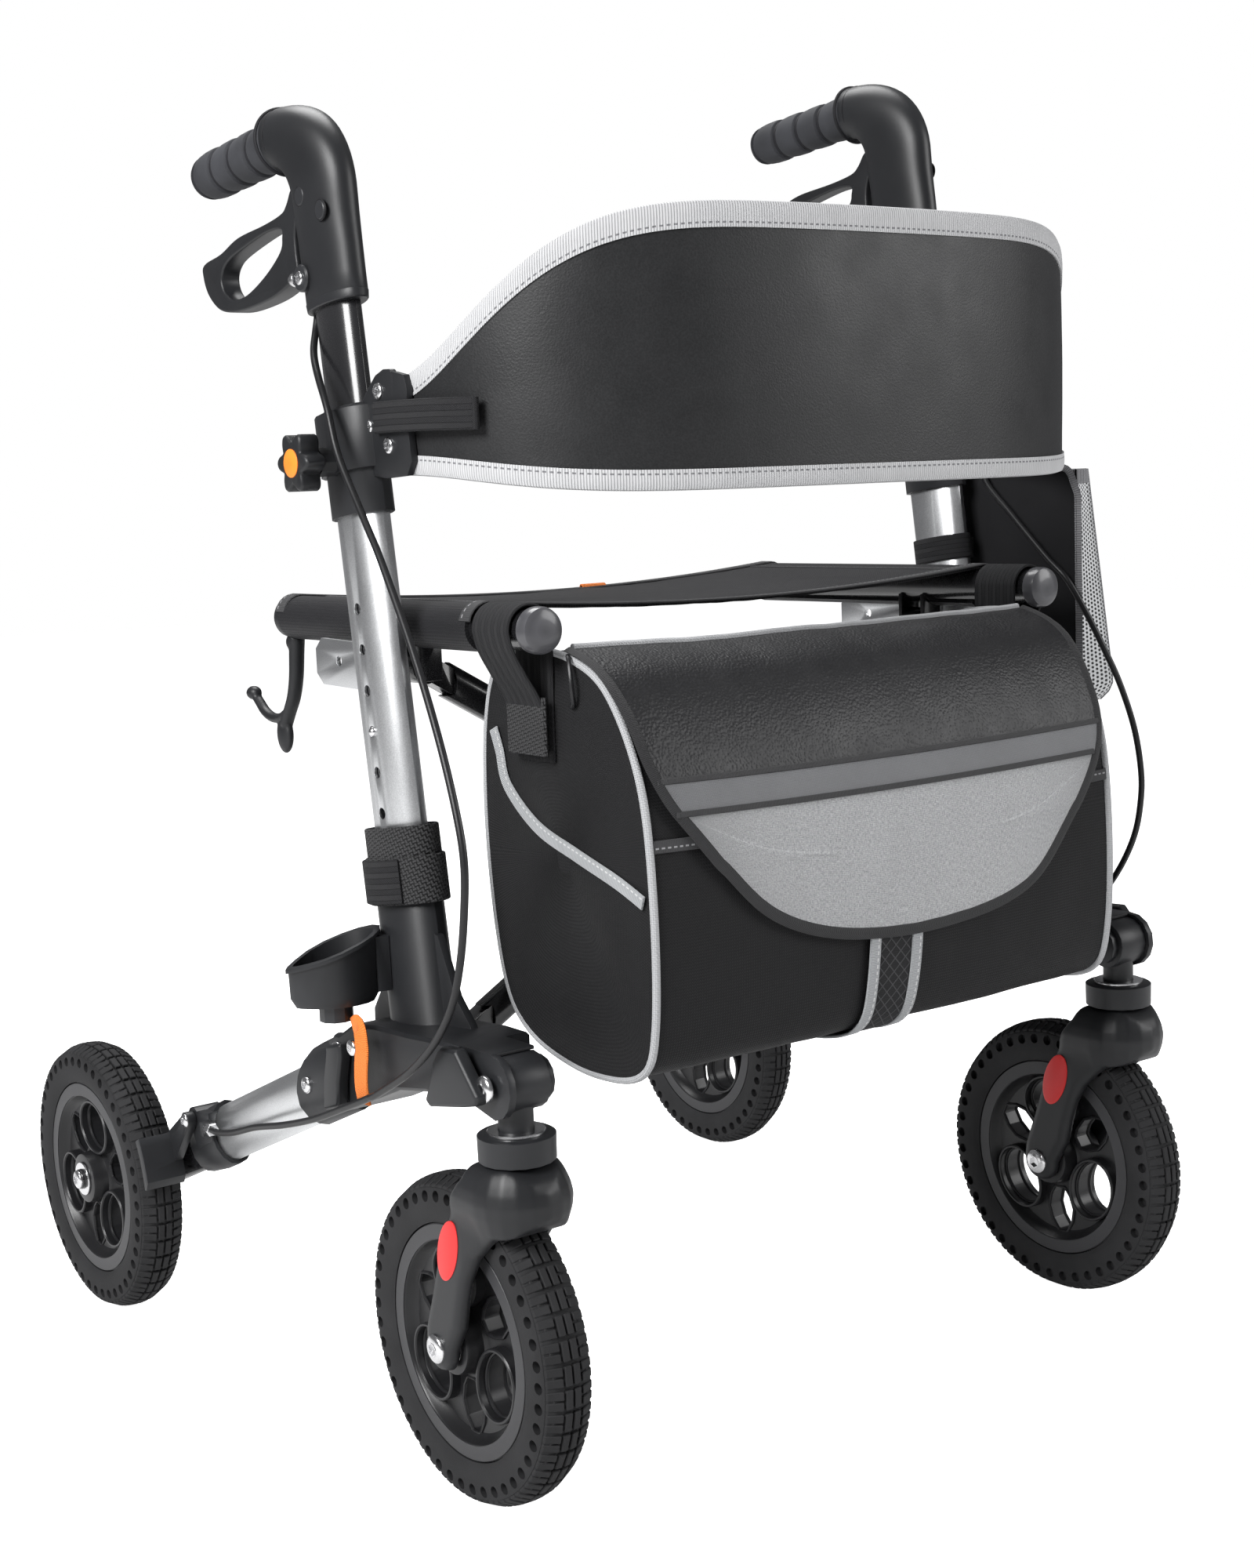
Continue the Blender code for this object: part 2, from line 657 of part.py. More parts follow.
def head_stations():
    """Centres, directions and half axes of the handle shell's sections, foot to grip."""
    stations = []
    for z, a, b in ((SHELL_FOOT_Z, SHELL_LONG / 2, SHELL_SHORT / 2),
                    (0.745, SHELL_LONG / 2 + 0.0005, SHELL_SHORT / 2 + 0.0004),
                    (0.765, HEAD_LONG / 2 - 0.0008, HEAD_SHORT / 2 - 0.0003)):
        stations.append((Vector((0, upright_y(z), z)), UPRIGHT_LEAN, a, b))
    start = Vector((0, upright_y(HEAD_BEND_Z), HEAD_BEND_Z))
    last = math.pi / 2 + GRIP_DROOP
    steps = 5
    for i in range(steps + 1):
        t = i / steps
        phi = UPRIGHT_LEAN + (last - UPRIGHT_LEAN) * t
        y = start.y + HEAD_BEND_RADIUS * (math.cos(UPRIGHT_LEAN) - math.cos(phi))
        z = start.z + HEAD_BEND_RADIUS * (math.sin(phi) - math.sin(UPRIGHT_LEAN))
        ease = t * t * (3 - 2 * t)
        a = HEAD_LONG / 2 + (HEAD_END_RADIUS - HEAD_LONG / 2) * ease
        b = HEAD_SHORT / 2 + (HEAD_END_RADIUS - HEAD_SHORT / 2) * ease
        stations.append((Vector((0, y, z)), phi, a, b))
    return stations


def head_end():
    """The middle of the handle's end face and the grip's direction."""
    center, phi, a, b = head_stations()[-1]
    return center, Vector((0, math.sin(phi), math.cos(phi)))


def make_handle_shell(name, side):
    """The moulded handle head with the grip's core, hollow below for the height tube."""
    rings = []
    shift = Vector((side * UPRIGHT_OUT, 0, 0))
    for center, phi, a, b in head_stations():
        across = Vector((0, math.cos(phi), -math.sin(phi)))
        rings.append(ring_points(center + shift, across, (1, 0, 0), a, b, TUBE_ROUND, HEAD_SQUARENESS))
    end, direction = head_end()
    across = Vector((0, math.cos(math.pi / 2 + GRIP_DROOP), -math.sin(math.pi / 2 + GRIP_DROOP)))
    for along in (0.0, GRIP_CORE_LENGTH):
        rings.append(ring_points(end + shift + direction * along, across, (1, 0, 0),
                                 GRIP_CORE_RADIUS, GRIP_CORE_RADIUS, TUBE_ROUND))
    shell = loft(name, rings, "black_plastic")
    bore_a = POST_A + TOUCH
    bore_b = POST_B + TOUCH
    bore = loft("bore", [upright_ring(side, SHELL_FOOT_Z - 0.02, bore_a, bore_b),
                         upright_ring(side, POST_TOP_Z + TOUCH, bore_a, bore_b)])
    half = LEVER_THICKNESS / 2 + RUNNING
    slot = box("slot", (side * UPRIGHT_OUT - half, LEVER_PIVOT[0] - 0.0125, 0.7575),
               (side * UPRIGHT_OUT + half, LEVER_PIVOT[0] + 0.05, 0.8000))
    cable_way = rod("way", (side * UPRIGHT_OUT, CABLE_INLET_Y, 0.700),
                    (side * UPRIGHT_OUT, CABLE_INLET_Y, 0.7600), CABLE_RADIUS + TOUCH)
    cut(shell, bore, slot, cable_way)
    pin = rod("pin", (side * UPRIGHT_OUT - half - 0.002, *LEVER_PIVOT),
              (side * UPRIGHT_OUT + half + 0.002, *LEVER_PIVOT), LEVER_PIN_RADIUS)
    join(shell, pin)
    shade(shell)
    return raise_handle(set_origin(shell, upright_point(side, SHELL_FOOT_Z)), side)


def make_grip(name, side):
    """The rubber grip: a flange and four stepped rings on the handle's core."""
    end, direction = head_end()
    start = end + Vector((side * UPRIGHT_OUT, 0, 0))
    ring_length = (GRIP_LENGTH - GRIP_FLANGE_LENGTH - 0.0045) / GRIP_RINGS
    profile = [(TOUCH, GRIP_FLANGE_RADIUS), (GRIP_FLANGE_LENGTH, GRIP_FLANGE_RADIUS - 0.0010)]
    for i in range(GRIP_RINGS):
        base = GRIP_FLANGE_LENGTH + i * ring_length
        profile.append((base + 0.0004, GRIP_RADIUS))
        profile.append((base + ring_length - 0.0010, GRIP_RADIUS - GRIP_STEP))
    profile += [(GRIP_LENGTH - 0.0035, GRIP_RADIUS - 0.0008), (GRIP_LENGTH, GRIP_RADIUS - 0.0045)]
    bore = GRIP_CORE_RADIUS + TOUCH
    profile += [(GRIP_LENGTH, 0.004), (GRIP_CORE_LENGTH + TOUCH, 0.004),
                (GRIP_CORE_LENGTH + TOUCH, bore), (TOUCH, bore)]
    grip = lathe(name, profile, start, direction, "grip_rubber", TUBE_ROUND, closed=True)
    return raise_handle(set_origin(grip, start), side)


def make_lever(name, side):
    """The brake lever: an eye on the handle's pin and a closed finger loop."""
    near = UPRIGHT_OUT - LEVER_THICKNESS / 2
    far = UPRIGHT_OUT + LEVER_THICKNESS / 2
    outline = [
        (-0.0690, 0.7780), (-0.0620, 0.7700), (-0.0590, 0.7600), (-0.0590, 0.7500),
        (-0.0600, 0.7350), (-0.0484, 0.7307), (-0.0232, 0.7241), (0.0133, 0.7203),
        (0.0374, 0.7210), (0.0521, 0.7249), (0.0643, 0.7344), (0.0702, 0.7469),
        (0.0690, 0.7545), (0.0434, 0.7590), (0.0179, 0.7665), (-0.0187, 0.7705),
        (-0.0420, 0.7745), (-0.0500, 0.7795), (-0.0570, 0.7880)]
    loop = [
        (-0.0415, 0.7655), (-0.0420, 0.7600), (-0.0385, 0.7520), (-0.0180, 0.7400),
        (0.0090, 0.7300), (0.0290, 0.7285), (0.0400, 0.7340), (0.0440, 0.7430),
        (0.0390, 0.7500), (0.0260, 0.7555), (-0.0060, 0.7625), (-0.0260, 0.7655)]
    lever = prism(name, outline, side, near, far, "black_plastic")
    eye = rod("eye", (side * near, *LEVER_PIVOT), (side * far, *LEVER_PIVOT), LEVER_EYE_RADIUS, count=ROUND)
    join(lever, eye)
    window = prism("window", loop, side, near - 0.01, far + 0.01)
    pin_hole = rod("hole", (side * (near - 0.01), *LEVER_PIVOT), (side * (far + 0.01), *LEVER_PIVOT),
                   LEVER_PIN_RADIUS + RUNNING)
    cut(lever, window, pin_hole)
    shade(lever)
    return raise_handle(set_origin(lever, (side * UPRIGHT_OUT, *LEVER_PIVOT)), side)


def make_housing(name, side):
    """The corner housing: beam, tube socket, front ears, rear cheeks and brace lugs."""
    ear = (STEM_Y, FRONT_PIVOT_Z)
    outline = arc(ear, EAR_RADIUS, 84, 262, 7)
    outline += [(-0.2535, 0.2519), (-0.2066, 0.2512), (-0.1732, 0.2454)]
    outline.append(polar(LEG_HINGE, -math.degrees(LEG_SLOPE), LEG_KNUCKLE_RADIUS, -0.0365))
    outline += arc(LEG_HINGE, LEG_KNUCKLE_RADIUS, -math.degrees(LEG_SLOPE), 100, 5)
    outline += [(-0.1202, 0.2763), (-0.1471, 0.2806), (-0.1894, 0.2827), (-0.2199, 0.2851)]
    housing = prism(name, outline, side, HOUSING_IN, HOUSING_OUT, "black_plastic")
    soften(housing, 0.0022, 1, 50)
    foot_z = UPRIGHT_FOOT_Z - 0.014
    outer_a = TUBE_A + TOUCH + SOCKET_WALL
    outer_b = TUBE_B + TOUCH + SOCKET_WALL
    socket = loft("socket", [upright_ring(side, foot_z, outer_a, outer_b),
                             upright_ring(side, SOCKET_TOP_Z, outer_a - 0.0006, outer_b - 0.0006)])
    fin_near = UPRIGHT_OUT - FIN_THICKNESS / 2
    fin_far = UPRIGHT_OUT + FIN_THICKNESS / 2
    fin_front = prism("fin", [(-0.1650, 0.2740), (-0.2150, 0.2740), (-0.2100, 0.2860), (-0.1950, 0.3010),
                              (-0.1780, 0.3360), (-0.1600, 0.3400)], side, fin_near, fin_far)
    fin_rear = prism("fin", [(-0.1500, 0.2700), (-0.1500, 0.3300), (-0.1230, 0.3250), (-0.1180, 0.3120),
                             (-0.1058, 0.2892), (-0.0975, 0.2780), (-0.0965, 0.2600)],
                     side, fin_near, fin_far)
    join(housing, socket, fin_front, fin_rear)
    tube_foot = UPRIGHT_FOOT_Z + 0.004 - TOUCH
    bore = loft("bore", [upright_ring(side, tube_foot, TUBE_A + TOUCH, TUBE_B + TOUCH),
                         upright_ring(side, SOCKET_TOP_Z + 0.02, TUBE_A + TOUCH, TUBE_B + TOUCH)])
    tongue_near = LEG_OUT - LEG_TONGUE / 2 - RUNNING
    tongue_far = LEG_OUT + LEG_TONGUE / 2 + RUNNING
    room = LEG_KNUCKLE_RADIUS + RUNNING
    down = -math.degrees(LEG_SLOPE)
    up = down + LEG_FOLD
    pocket = arc(LEG_HINGE, room, up + 90, 360 + down - 90, 6)
    pocket += [polar(LEG_HINGE, down, 0.040, -room), polar(LEG_HINGE, up, 0.040, room)]
    rear_slot = prism("slot", pocket, side, tongue_near, tongue_far)
    barrel_near = BARREL_OUT - BARREL_LENGTH / 2 - RUNNING
    barrel_far = BARREL_OUT + BARREL_LENGTH / 2 + RUNNING
    throat = arc(ear, BARREL_RADIUS + RUNNING, 0, 360, 20)[:-1]
    front_slot = prism("slot", throat, side, barrel_near, barrel_far)
    low_x, high_x = sorted((side * barrel_near, side * barrel_far))
    ahead = box("ahead", (low_x, STEM_Y - 0.05, FRONT_PIVOT_Z - 0.05),
                (high_x, STEM_Y + 0.0001, FRONT_PIVOT_Z + 0.05))
    below = box("below", (low_x, STEM_Y - 0.05, FRONT_PIVOT_Z - 0.05),
                (high_x, STEM_Y + STEM_NECK_RADIUS + 0.0015, FRONT_PIVOT_Z - 0.0001))
    cut(housing, bore, rear_slot, front_slot, ahead, below)
    for start, end in ((HOUSING_IN - 0.010, barrel_near + 0.0001),
                       (barrel_far + EAR_THICKNESS, HOUSING_OUT + 0.010)):
        low_x, high_x = sorted((side * start, side * end))
        cut(housing, box("trim", (low_x, STEM_Y - 0.05, FRONT_PIVOT_Z - 0.05),
                         (high_x, EAR_ROOT_Y, FRONT_PIVOT_Z + 0.05)))
    inner_ear = arc(ear, INNER_EAR_RADIUS, 90, 270, 6)
    inner_ear += [(EAR_ROOT_Y + 0.004, FRONT_PIVOT_Z - INNER_EAR_RADIUS),
                  (EAR_ROOT_Y + 0.004, FRONT_PIVOT_Z + INNER_EAR_RADIUS)]
    join(housing, prism("ear", inner_ear, side, barrel_near - EAR_THICKNESS, barrel_near))
    brace_y = BRACE_FRONT_Y if side == RIGHT else BRACE_REAR_Y
    half = BRACE_EYE_LENGTH / 2 + RUNNING
    near = BRACE_PIVOT_OUT - LUG_HALF_WIDTH
    low_x, high_x = sorted((side * near, side * (HOUSING_IN + 0.004)))
    for sign in (-1, 1):
        y0, y1 = sorted((brace_y + sign * half, brace_y + sign * (half + LUG_THICKNESS)))
        join(housing, box("lug", (low_x, y0, BRACE_FOOT_Z - 0.0085), (high_x, y1, BRACE_FOOT_Z + 0.0085)))
    reach = half + LUG_THICKNESS / 2
    brace_pin = rod("pin", (side * BRACE_PIVOT_OUT, brace_y - reach, BRACE_FOOT_Z),
                    (side * BRACE_PIVOT_OUT, brace_y + reach, BRACE_FOOT_Z), BRACE_PIN_RADIUS)
    leg_pin = rod("pin", (side * (tongue_near - 0.003), *LEG_HINGE),
                  (side * (tongue_far + 0.002), *LEG_HINGE), LEG_PIN_RADIUS)
    stem_pin = rod("pin", (side * (barrel_near - 0.003), *ear), (side * (barrel_far + 0.003), *ear),
                   FRONT_PIN_RADIUS)
    join(housing, brace_pin, leg_pin, stem_pin)
    shade(housing)
    return set_origin(housing, upright_point(side, UPRIGHT_FOOT_Z))


def make_knuckle(name, side):
    """The front stem: a cross barrel between the ears, the neck, the dust cap and the spindle."""
    middle = BARREL_OUT
    barrel = rod(name, (side * (middle - BARREL_LENGTH / 2), STEM_Y, FRONT_PIVOT_Z),
                 (side * (middle + BARREL_LENGTH / 2), STEM_Y, FRONT_PIVOT_Z), BARREL_RADIUS,
                 "black_plastic", ROUND)
    top = FRONT_PIVOT_Z - 0.012
    drop = top - DUST_CAP_TOP_Z
    profile = [(0, STEM_NECK_RADIUS), (drop, STEM_NECK_RADIUS), (drop, DUST_CAP_RADIUS - 0.001),
               (drop + 0.001, DUST_CAP_RADIUS), (drop + DUST_CAP_HEIGHT, DUST_CAP_RADIUS),
               (drop + DUST_CAP_HEIGHT, SPINDLE_RADIUS),
               (drop + DUST_CAP_HEIGHT + SPINDLE_LENGTH, SPINDLE_RADIUS)]
    stem = lathe("stem", profile, (side * STEM_OUT, STEM_Y, top), (0, 0, -1), count=ROUND)
    join(barrel, stem)
    hole = rod("hole", (side * (middle - 0.03), STEM_Y, FRONT_PIVOT_Z),
               (side * (middle + 0.03), STEM_Y, FRONT_PIVOT_Z), FRONT_PIN_RADIUS + RUNNING)
    cut(barrel, hole)
    shade(barrel)
    return set_origin(barrel, (side * STEM_OUT, STEM_Y, FRONT_PIVOT_Z))


def make_fork(name, side):
    """The one-piece caster fork, swept back from its crown to the axle."""
    top = DUST_CAP_TOP_Z - DUST_CAP_HEIGHT - TOUCH
    axle = (FRONT_AXLE_Y, AXLE_Z)
    seat_half = DUST_CAP_RADIUS - 0.001
    front = [(-seat_half, 0.0), (-0.0270, -0.0070), (-0.0300, -0.0165), (-0.0300, -0.0255),
             (-0.0270, -0.0330), (-0.0210, -0.0385), (-0.0085, -0.0415), (0.0015, -0.0480),
             (0.0115, -0.0575), (0.0185, -0.0715), (0.0235, -0.0875), (0.0275, -0.1035)]
    rear = [(0.0660, -0.1095), (0.0590, -0.0915), (0.0520, -0.0715), (0.0435, -0.0495), (0.0315, -0.0285),
            (seat_half, -0.0095), (seat_half, 0.0)]
    outline = [(STEM_Y + along, top + rise) for along, rise in front]
    outline += arc(axle, FORK_END_RADIUS, 175, 370, 6)
    outline += [(STEM_Y + along, top + rise) for along, rise in rear]
    fork = prism(name, outline, side, STEM_OUT - FORK_HALF_WIDTH, STEM_OUT + FORK_HALF_WIDTH, "black_plastic")
    soften(fork, 0.0055, 2, 50)
    plan = arc((STEM_OUT, STEM_Y), FORK_HALF_WIDTH, 180, 360, 10)
    plan += [(STEM_OUT + FORK_HALF_WIDTH, -0.1800), (STEM_OUT - FORK_HALF_WIDTH, -0.1800)]
    carve(fork, loft("plan", [[Vector((side * out, y, z)) for out, y in plan] for z in (0.0500, top + 0.01)]),
          "INTERSECT")
    clearance = rod("slot", (side * (STEM_OUT - FORK_SLOT_HALF_WIDTH), *axle),
                    (side * (STEM_OUT + FORK_SLOT_HALF_WIDTH), *axle),
                    WHEEL_RADIUS + WHEEL_CLEARANCE, count=28)
    spindle_bore = rod("bore", (side * STEM_OUT, STEM_Y, top + 0.01),
                       (side * STEM_OUT, STEM_Y, top - SPINDLE_LENGTH - 0.001), SPINDLE_RADIUS + RUNNING)
    cut(fork, clearance, spindle_bore)
    axle_pin = rod("pin", (side * (STEM_OUT - FORK_SLOT_HALF_WIDTH - 0.003), *axle),
                   (side * (STEM_OUT + FORK_SLOT_HALF_WIDTH + 0.003), *axle), AXLE_RADIUS)
    join(fork, axle_pin)
    shade(fork)
    return set_origin(fork, (side * STEM_OUT, STEM_Y, top))


def make_tyre(name, x, y):
    """A solid tyre with a rounded tread, on the rim's barrel."""
    half = TYRE_WIDTH / 2
    inner = RIM_RADIUS + TOUCH
    profile = [
        (-half * 0.85, inner), (-half, inner + 0.008), (-half * 0.90, WHEEL_RADIUS - 0.0065),
        (-half * 0.45, WHEEL_RADIUS), (half * 0.45, WHEEL_RADIUS), (half * 0.90, WHEEL_RADIUS - 0.0065),
        (half, inner + 0.008), (half * 0.85, inner)]
    tyre = lathe(name, profile, (x, y, AXLE_Z), (1, 0, 0), "tyre_rubber", WHEEL_ROUND, closed=True)
    return set_origin(tyre, (x, y, AXLE_Z))


def petal_outline(middle):
    """A petal opening, wide at the rim and rounded near the hub."""
    points = arc((0, 0), RIM_BARREL_RADIUS - 0.0020, middle - 26, middle + 26, 3)
    bend = math.radians(middle)
    center = (PETAL_BEND_RADIUS * math.cos(bend), PETAL_BEND_RADIUS * math.sin(bend))
    return points + arc(center, PETAL_END_RADIUS, middle + 90, middle + 270, 3)


def side_opening_outline(middle, sign):
    """One of the two openings between a petal and the rib beside it."""
    outer = RIM_BARREL_RADIUS - 0.0020
    inner = HUB_RADIUS + 0.0060
    half_rib = RIM_RIB / 2
    points = arc((0, 0), outer, middle + sign * 30, middle + sign * (60 - math.degrees(half_rib / outer)), 2)
    points += arc((0, 0), inner, middle + sign * (60 - math.degrees(half_rib / inner)), middle + sign * 37, 1)
    return points


def make_rim(name, x, y, turn):
    """A moulded rim with three petals, three ribs and a hub bored for its axle."""
    flange = RIM_WIDTH / 2
    web = RIM_WEB_WIDTH / 2
    center = (x, y, AXLE_Z)
    profile = [(-flange, RIM_RADIUS), (flange, RIM_RADIUS), (web, RIM_BARREL_RADIUS),
               (-web, RIM_BARREL_RADIUS)]
    rim = lathe(name, profile, center, (1, 0, 0), "rim_plastic", WHEEL_ROUND, closed=True)
    disc_half = web - 0.0005
    disc = rod("disc", (x - disc_half, y, AXLE_Z), (x + disc_half, y, AXLE_Z), RIM_BARREL_RADIUS + 0.002,
               count=WHEEL_ROUND)
    hub = rod("hub", (x - HUB_LENGTH / 2, y, AXLE_Z), (x + HUB_LENGTH / 2, y, AXLE_Z), HUB_RADIUS,
              count=ROUND)
    join(rim, disc, hub)
    for k in range(PETALS):
        middle = turn + 360 * k / PETALS
        shapes = [petal_outline(middle), side_opening_outline(middle, 1), side_opening_outline(middle, -1)]
        for shape in shapes:
            placed = [(y + py, AXLE_Z + pz) for py, pz in shape]
            cut(rim, prism("opening", placed, 1, x - 0.03, x + 0.03))
    cut(rim, rod("bore", (x - 0.03, y, AXLE_Z), (x + 0.03, y, AXLE_Z), AXLE_RADIUS + RUNNING))
    shade(rim)
    return set_origin(rim, center)


def make_leg_fitting(name, side):
    """The black end fitting of the rear leg: a knuckle in the housing and a sleeve on the tube."""
    near = LEG_OUT - LEG_TONGUE / 2
    far = LEG_OUT + LEG_TONGUE / 2
    radius = LEG_KNUCKLE_RADIUS - RUNNING
    down = -math.degrees(LEG_SLOPE)
    knuckle = rod(name, (side * near, *LEG_HINGE), (side * far, *LEG_HINGE), radius, "black_plastic", ROUND)
    bar = [polar(LEG_HINGE, down, along, across)
           for along, across in ((0, -0.0100), (0.018, -0.0100), (0.018, 0.0100), (0, 0.0100))]
    sleeve = loft("sleeve", [
        leg_ring(side, along, LEG_FITTING_HALF, LEG_B + 0.0020, LEG_FITTING_RISE)
        for along in (LEG_FITTING_START, LEG_FITTING_END)])
    rounding = leg_outline([(0.0260, 0.0330), (0.0408, 0.0250), (0.0512, 0.0170), (0.0575, 0.0063),
                            (0.0607, -0.0051), (0.0582, -0.0154), (0.0500, -0.0280), (0.0800, -0.0280),
                            (0.0800, 0.0330)])
    cut(sleeve, prism("rounding", rounding, side, LEG_OUT - 0.03, LEG_OUT + 0.03))
    join(knuckle, sleeve, prism("bar", bar, side, near, far))
    hole = rod("hole", (side * (LEG_OUT - 0.03), *LEG_HINGE), (side * (LEG_OUT + 0.03), *LEG_HINGE),
               LEG_PIN_RADIUS + RUNNING)
    bore = loft("bore", [leg_ring(side, LEG_TUBE_START - TOUCH, LEG_A + TOUCH, LEG_B + TOUCH),
                         leg_ring(side, LEG_FITTING_END + 0.01, LEG_A + TOUCH, LEG_B + TOUCH)])
    cut(knuckle, bore, hole)
    shade(knuckle)
    return set_origin(knuckle, (side * LEG_OUT, *LEG_HINGE))


def make_leg_tube(name, side):
    """The silver upper tube of the rear leg."""
    tube = loft(name, [
        leg_ring(side, LEG_TUBE_START, LEG_A, LEG_B), leg_ring(side, LEG_TUBE_END, LEG_A, LEG_B),
        leg_ring(side, LEG_TUBE_END, LEG_BORE_A, LEG_BORE_B),
        leg_ring(side, LEG_TUBE_START, LEG_BORE_A, LEG_BORE_B)], "silver_tube", closed=True)
    return set_origin(tube, leg_point(side, LEG_TUBE_START))


def make_leg_inner(name, side):
    """The lower tube of the rear leg, with the rear wheel's axle."""
    a = LEG_INNER_A
    b = LEG_INNER_B
    start = LEG_TUBE_END - 0.040
    full = LEG_INNER_END - 0.030
    rings = [leg_ring(side, start, a, b), leg_ring(side, full, a, b)]
    for i in range(1, 4):
        angle = math.radians(90 * i / 4)
        along = full + 0.020 * math.sin(angle)
        rings.append(leg_ring(side, along, a * math.cos(angle), b * (0.55 + 0.45 * math.cos(angle))))
    leg = loft(name, rings, "black_tube")
    cut(leg, loft("hollow", [leg_ring(side, start - 0.01, a - LEG_INNER_WALL, b - LEG_INNER_WALL),
                             leg_ring(side, full - 0.030, a - LEG_INNER_WALL, b - LEG_INNER_WALL)]))
    wheel_in = REAR_WHEEL_OUT - HUB_LENGTH / 2 - TOUCH - LEG_OUT
    wheel_out = REAR_WHEEL_OUT + HUB_LENGTH / 2 + TOUCH - LEG_OUT
    bolt_end = REAR_BOLT_OUT - LEG_OUT
    axle = lathe("axle", [(0, AXLE_BOSS_RADIUS), (wheel_in, AXLE_BOSS_RADIUS), (wheel_in, AXLE_RADIUS),
                          (wheel_out, AXLE_RADIUS), (wheel_out, AXLE_NUT_RADIUS),
                          (bolt_end - 0.001, AXLE_NUT_RADIUS), (bolt_end, AXLE_NUT_RADIUS - 0.001)],
                 (side * LEG_OUT, REAR_AXLE_Y, AXLE_Z), (side, 0, 0))
    join(leg, axle)
    shade(leg)
    return set_origin(leg, (side * LEG_OUT, REAR_AXLE_Y, AXLE_Z))


def make_brake_housing(name, side):
    """The brake's collar on the rear leg, with the shoe's pin and the cable stop."""
    a = LEG_A + TOUCH
    b = LEG_B + TOUCH
    wall = BRAKE_COLLAR_WALL
    stop = LEG_TUBE_END
    start = BRAKE_COLLAR_START
    end = BRAKE_COLLAR_END
    small_a = LEG_INNER_A + TOUCH
    small_b = LEG_INNER_B + TOUCH
    housing = loft(name, [
        leg_ring(side, start, a + wall, b + wall), leg_ring(side, stop + 0.004, a + wall, b + wall),
        leg_ring(side, end, small_a + wall, small_b + wall)], "black_plastic")
    out = LEG_B + TOUCH + BRAKE_COLLAR_WALL
    ear_outline = arc(SHOE_PIVOT, 0.0085, -60, 130, 8)
    ear_outline += [(0.0900, 0.1750), (0.0850, 0.1560), (0.1100, 0.1450)]
    ear = prism("ear", ear_outline, side, LEG_OUT - 0.004, LEG_OUT + out)
    join(housing, ear)
    cut(housing, loft("bore", [leg_ring(side, start - 0.01, a, b), leg_ring(side, stop + TOUCH, a, b)]),
        loft("bore", [leg_ring(side, stop - 0.01, small_a, small_b),
                      leg_ring(side, end + 0.01, small_a, small_b)]))
    pin = rod("pin", (side * (LEG_OUT + out - 0.003), *SHOE_PIVOT),
              (side * (LEG_OUT + out + 0.0070), *SHOE_PIVOT), 0.0025)
    cable_out, cable_y, cable_z = LOWER_CABLE[-1]
    stop_half = 0.0035
    low_x, high_x = sorted((side * (cable_out - stop_half), side * (cable_out + stop_half)))
    cable_stop = box("stop", (low_x, cable_y + TOUCH, cable_z - stop_half),
                     (high_x, cable_y + 0.0090, cable_z + stop_half))
    low_x, high_x = sorted((side * (LEG_OUT + 0.010), side * (cable_out + stop_half)))
    foot = box("foot", (low_x, cable_y + 0.0040, cable_z - 0.0060),
               (high_x, cable_y + 0.0090, cable_z + stop_half))
    keep_bore = loft("bore", [leg_ring(side, start - 0.01, a, b), leg_ring(side, stop + TOUCH, a, b)])
    cut(foot, keep_bore)
    join(housing, pin, foot, cable_stop)
    shade(housing)
    return set_origin(housing, (side * LEG_OUT, *SHOE_PIVOT))


def make_shoe(name, side):
    """The brake shoe: an arm on the collar's pin and a pad across the tread."""
    center = (REAR_AXLE_Y, AXLE_Z)
    near_radius = WHEEL_RADIUS + SHOE_GAP
    far_radius = near_radius + SHOE_THICKNESS
    start = math.degrees(SHOE_FROM)
    end = math.degrees(SHOE_TO)
    pad_outline = arc(center, near_radius, start, end, 6) + arc(center, far_radius - 0.004, end, end, 1)[:1]
    pad_outline += arc(center, far_radius, end - 3, start, 5)
    pad_near = LEG_OUT + LEG_B + TOUCH + BRAKE_COLLAR_WALL + 0.0006
    pad = prism(name, pad_outline, side, pad_near, REAR_WHEEL_OUT + TYRE_WIDTH / 2 - 0.002, "black_plastic")
    inner = near_radius + 0.0015
    top = arc(center, inner, start + 4, start + 4, 1)[0]
    low = arc(center, far_radius, end - 9, end - 9, 1)[0]
    tip = arc(center, inner, start, start, 1)[0]
    arm_outline = arc(SHOE_PIVOT, 0.0060, 20, 230, 9) + [low, top, tip]
    arm = prism("arm", arm_outline, side, pad_near, pad_near + 0.0062)
    join(pad, arm)
    hole = rod("hole", (side * (pad_near - 0.01), *SHOE_PIVOT), (side * (pad_near + 0.02), *SHOE_PIVOT),
               0.0025 + RUNNING)
    cut(pad, hole)
    shade(pad)
    return set_origin(pad, (side * LEG_OUT, *SHOE_PIVOT))


def make_rear_latch(name, side):
    """The rear fold latch on the housing's outer face."""
    outline = [(-0.1020, 0.2613), (-0.1207, 0.2660), (-0.1208, 0.2569), (-0.1159, 0.2399), (-0.1141, 0.2246),
               (-0.0951, 0.2182), (-0.0976, 0.2397), (-0.1027, 0.2580)]
    near = HOUSING_OUT + TOUCH
    latch = prism(name, outline, side, near, near + LATCH_THICKNESS, "black_plastic")
    soften(latch, 0.0015, 1, 60)
    shade(latch)
    return set_origin(latch, (side * HOUSING_OUT, *REAR_LATCH_HINGE))


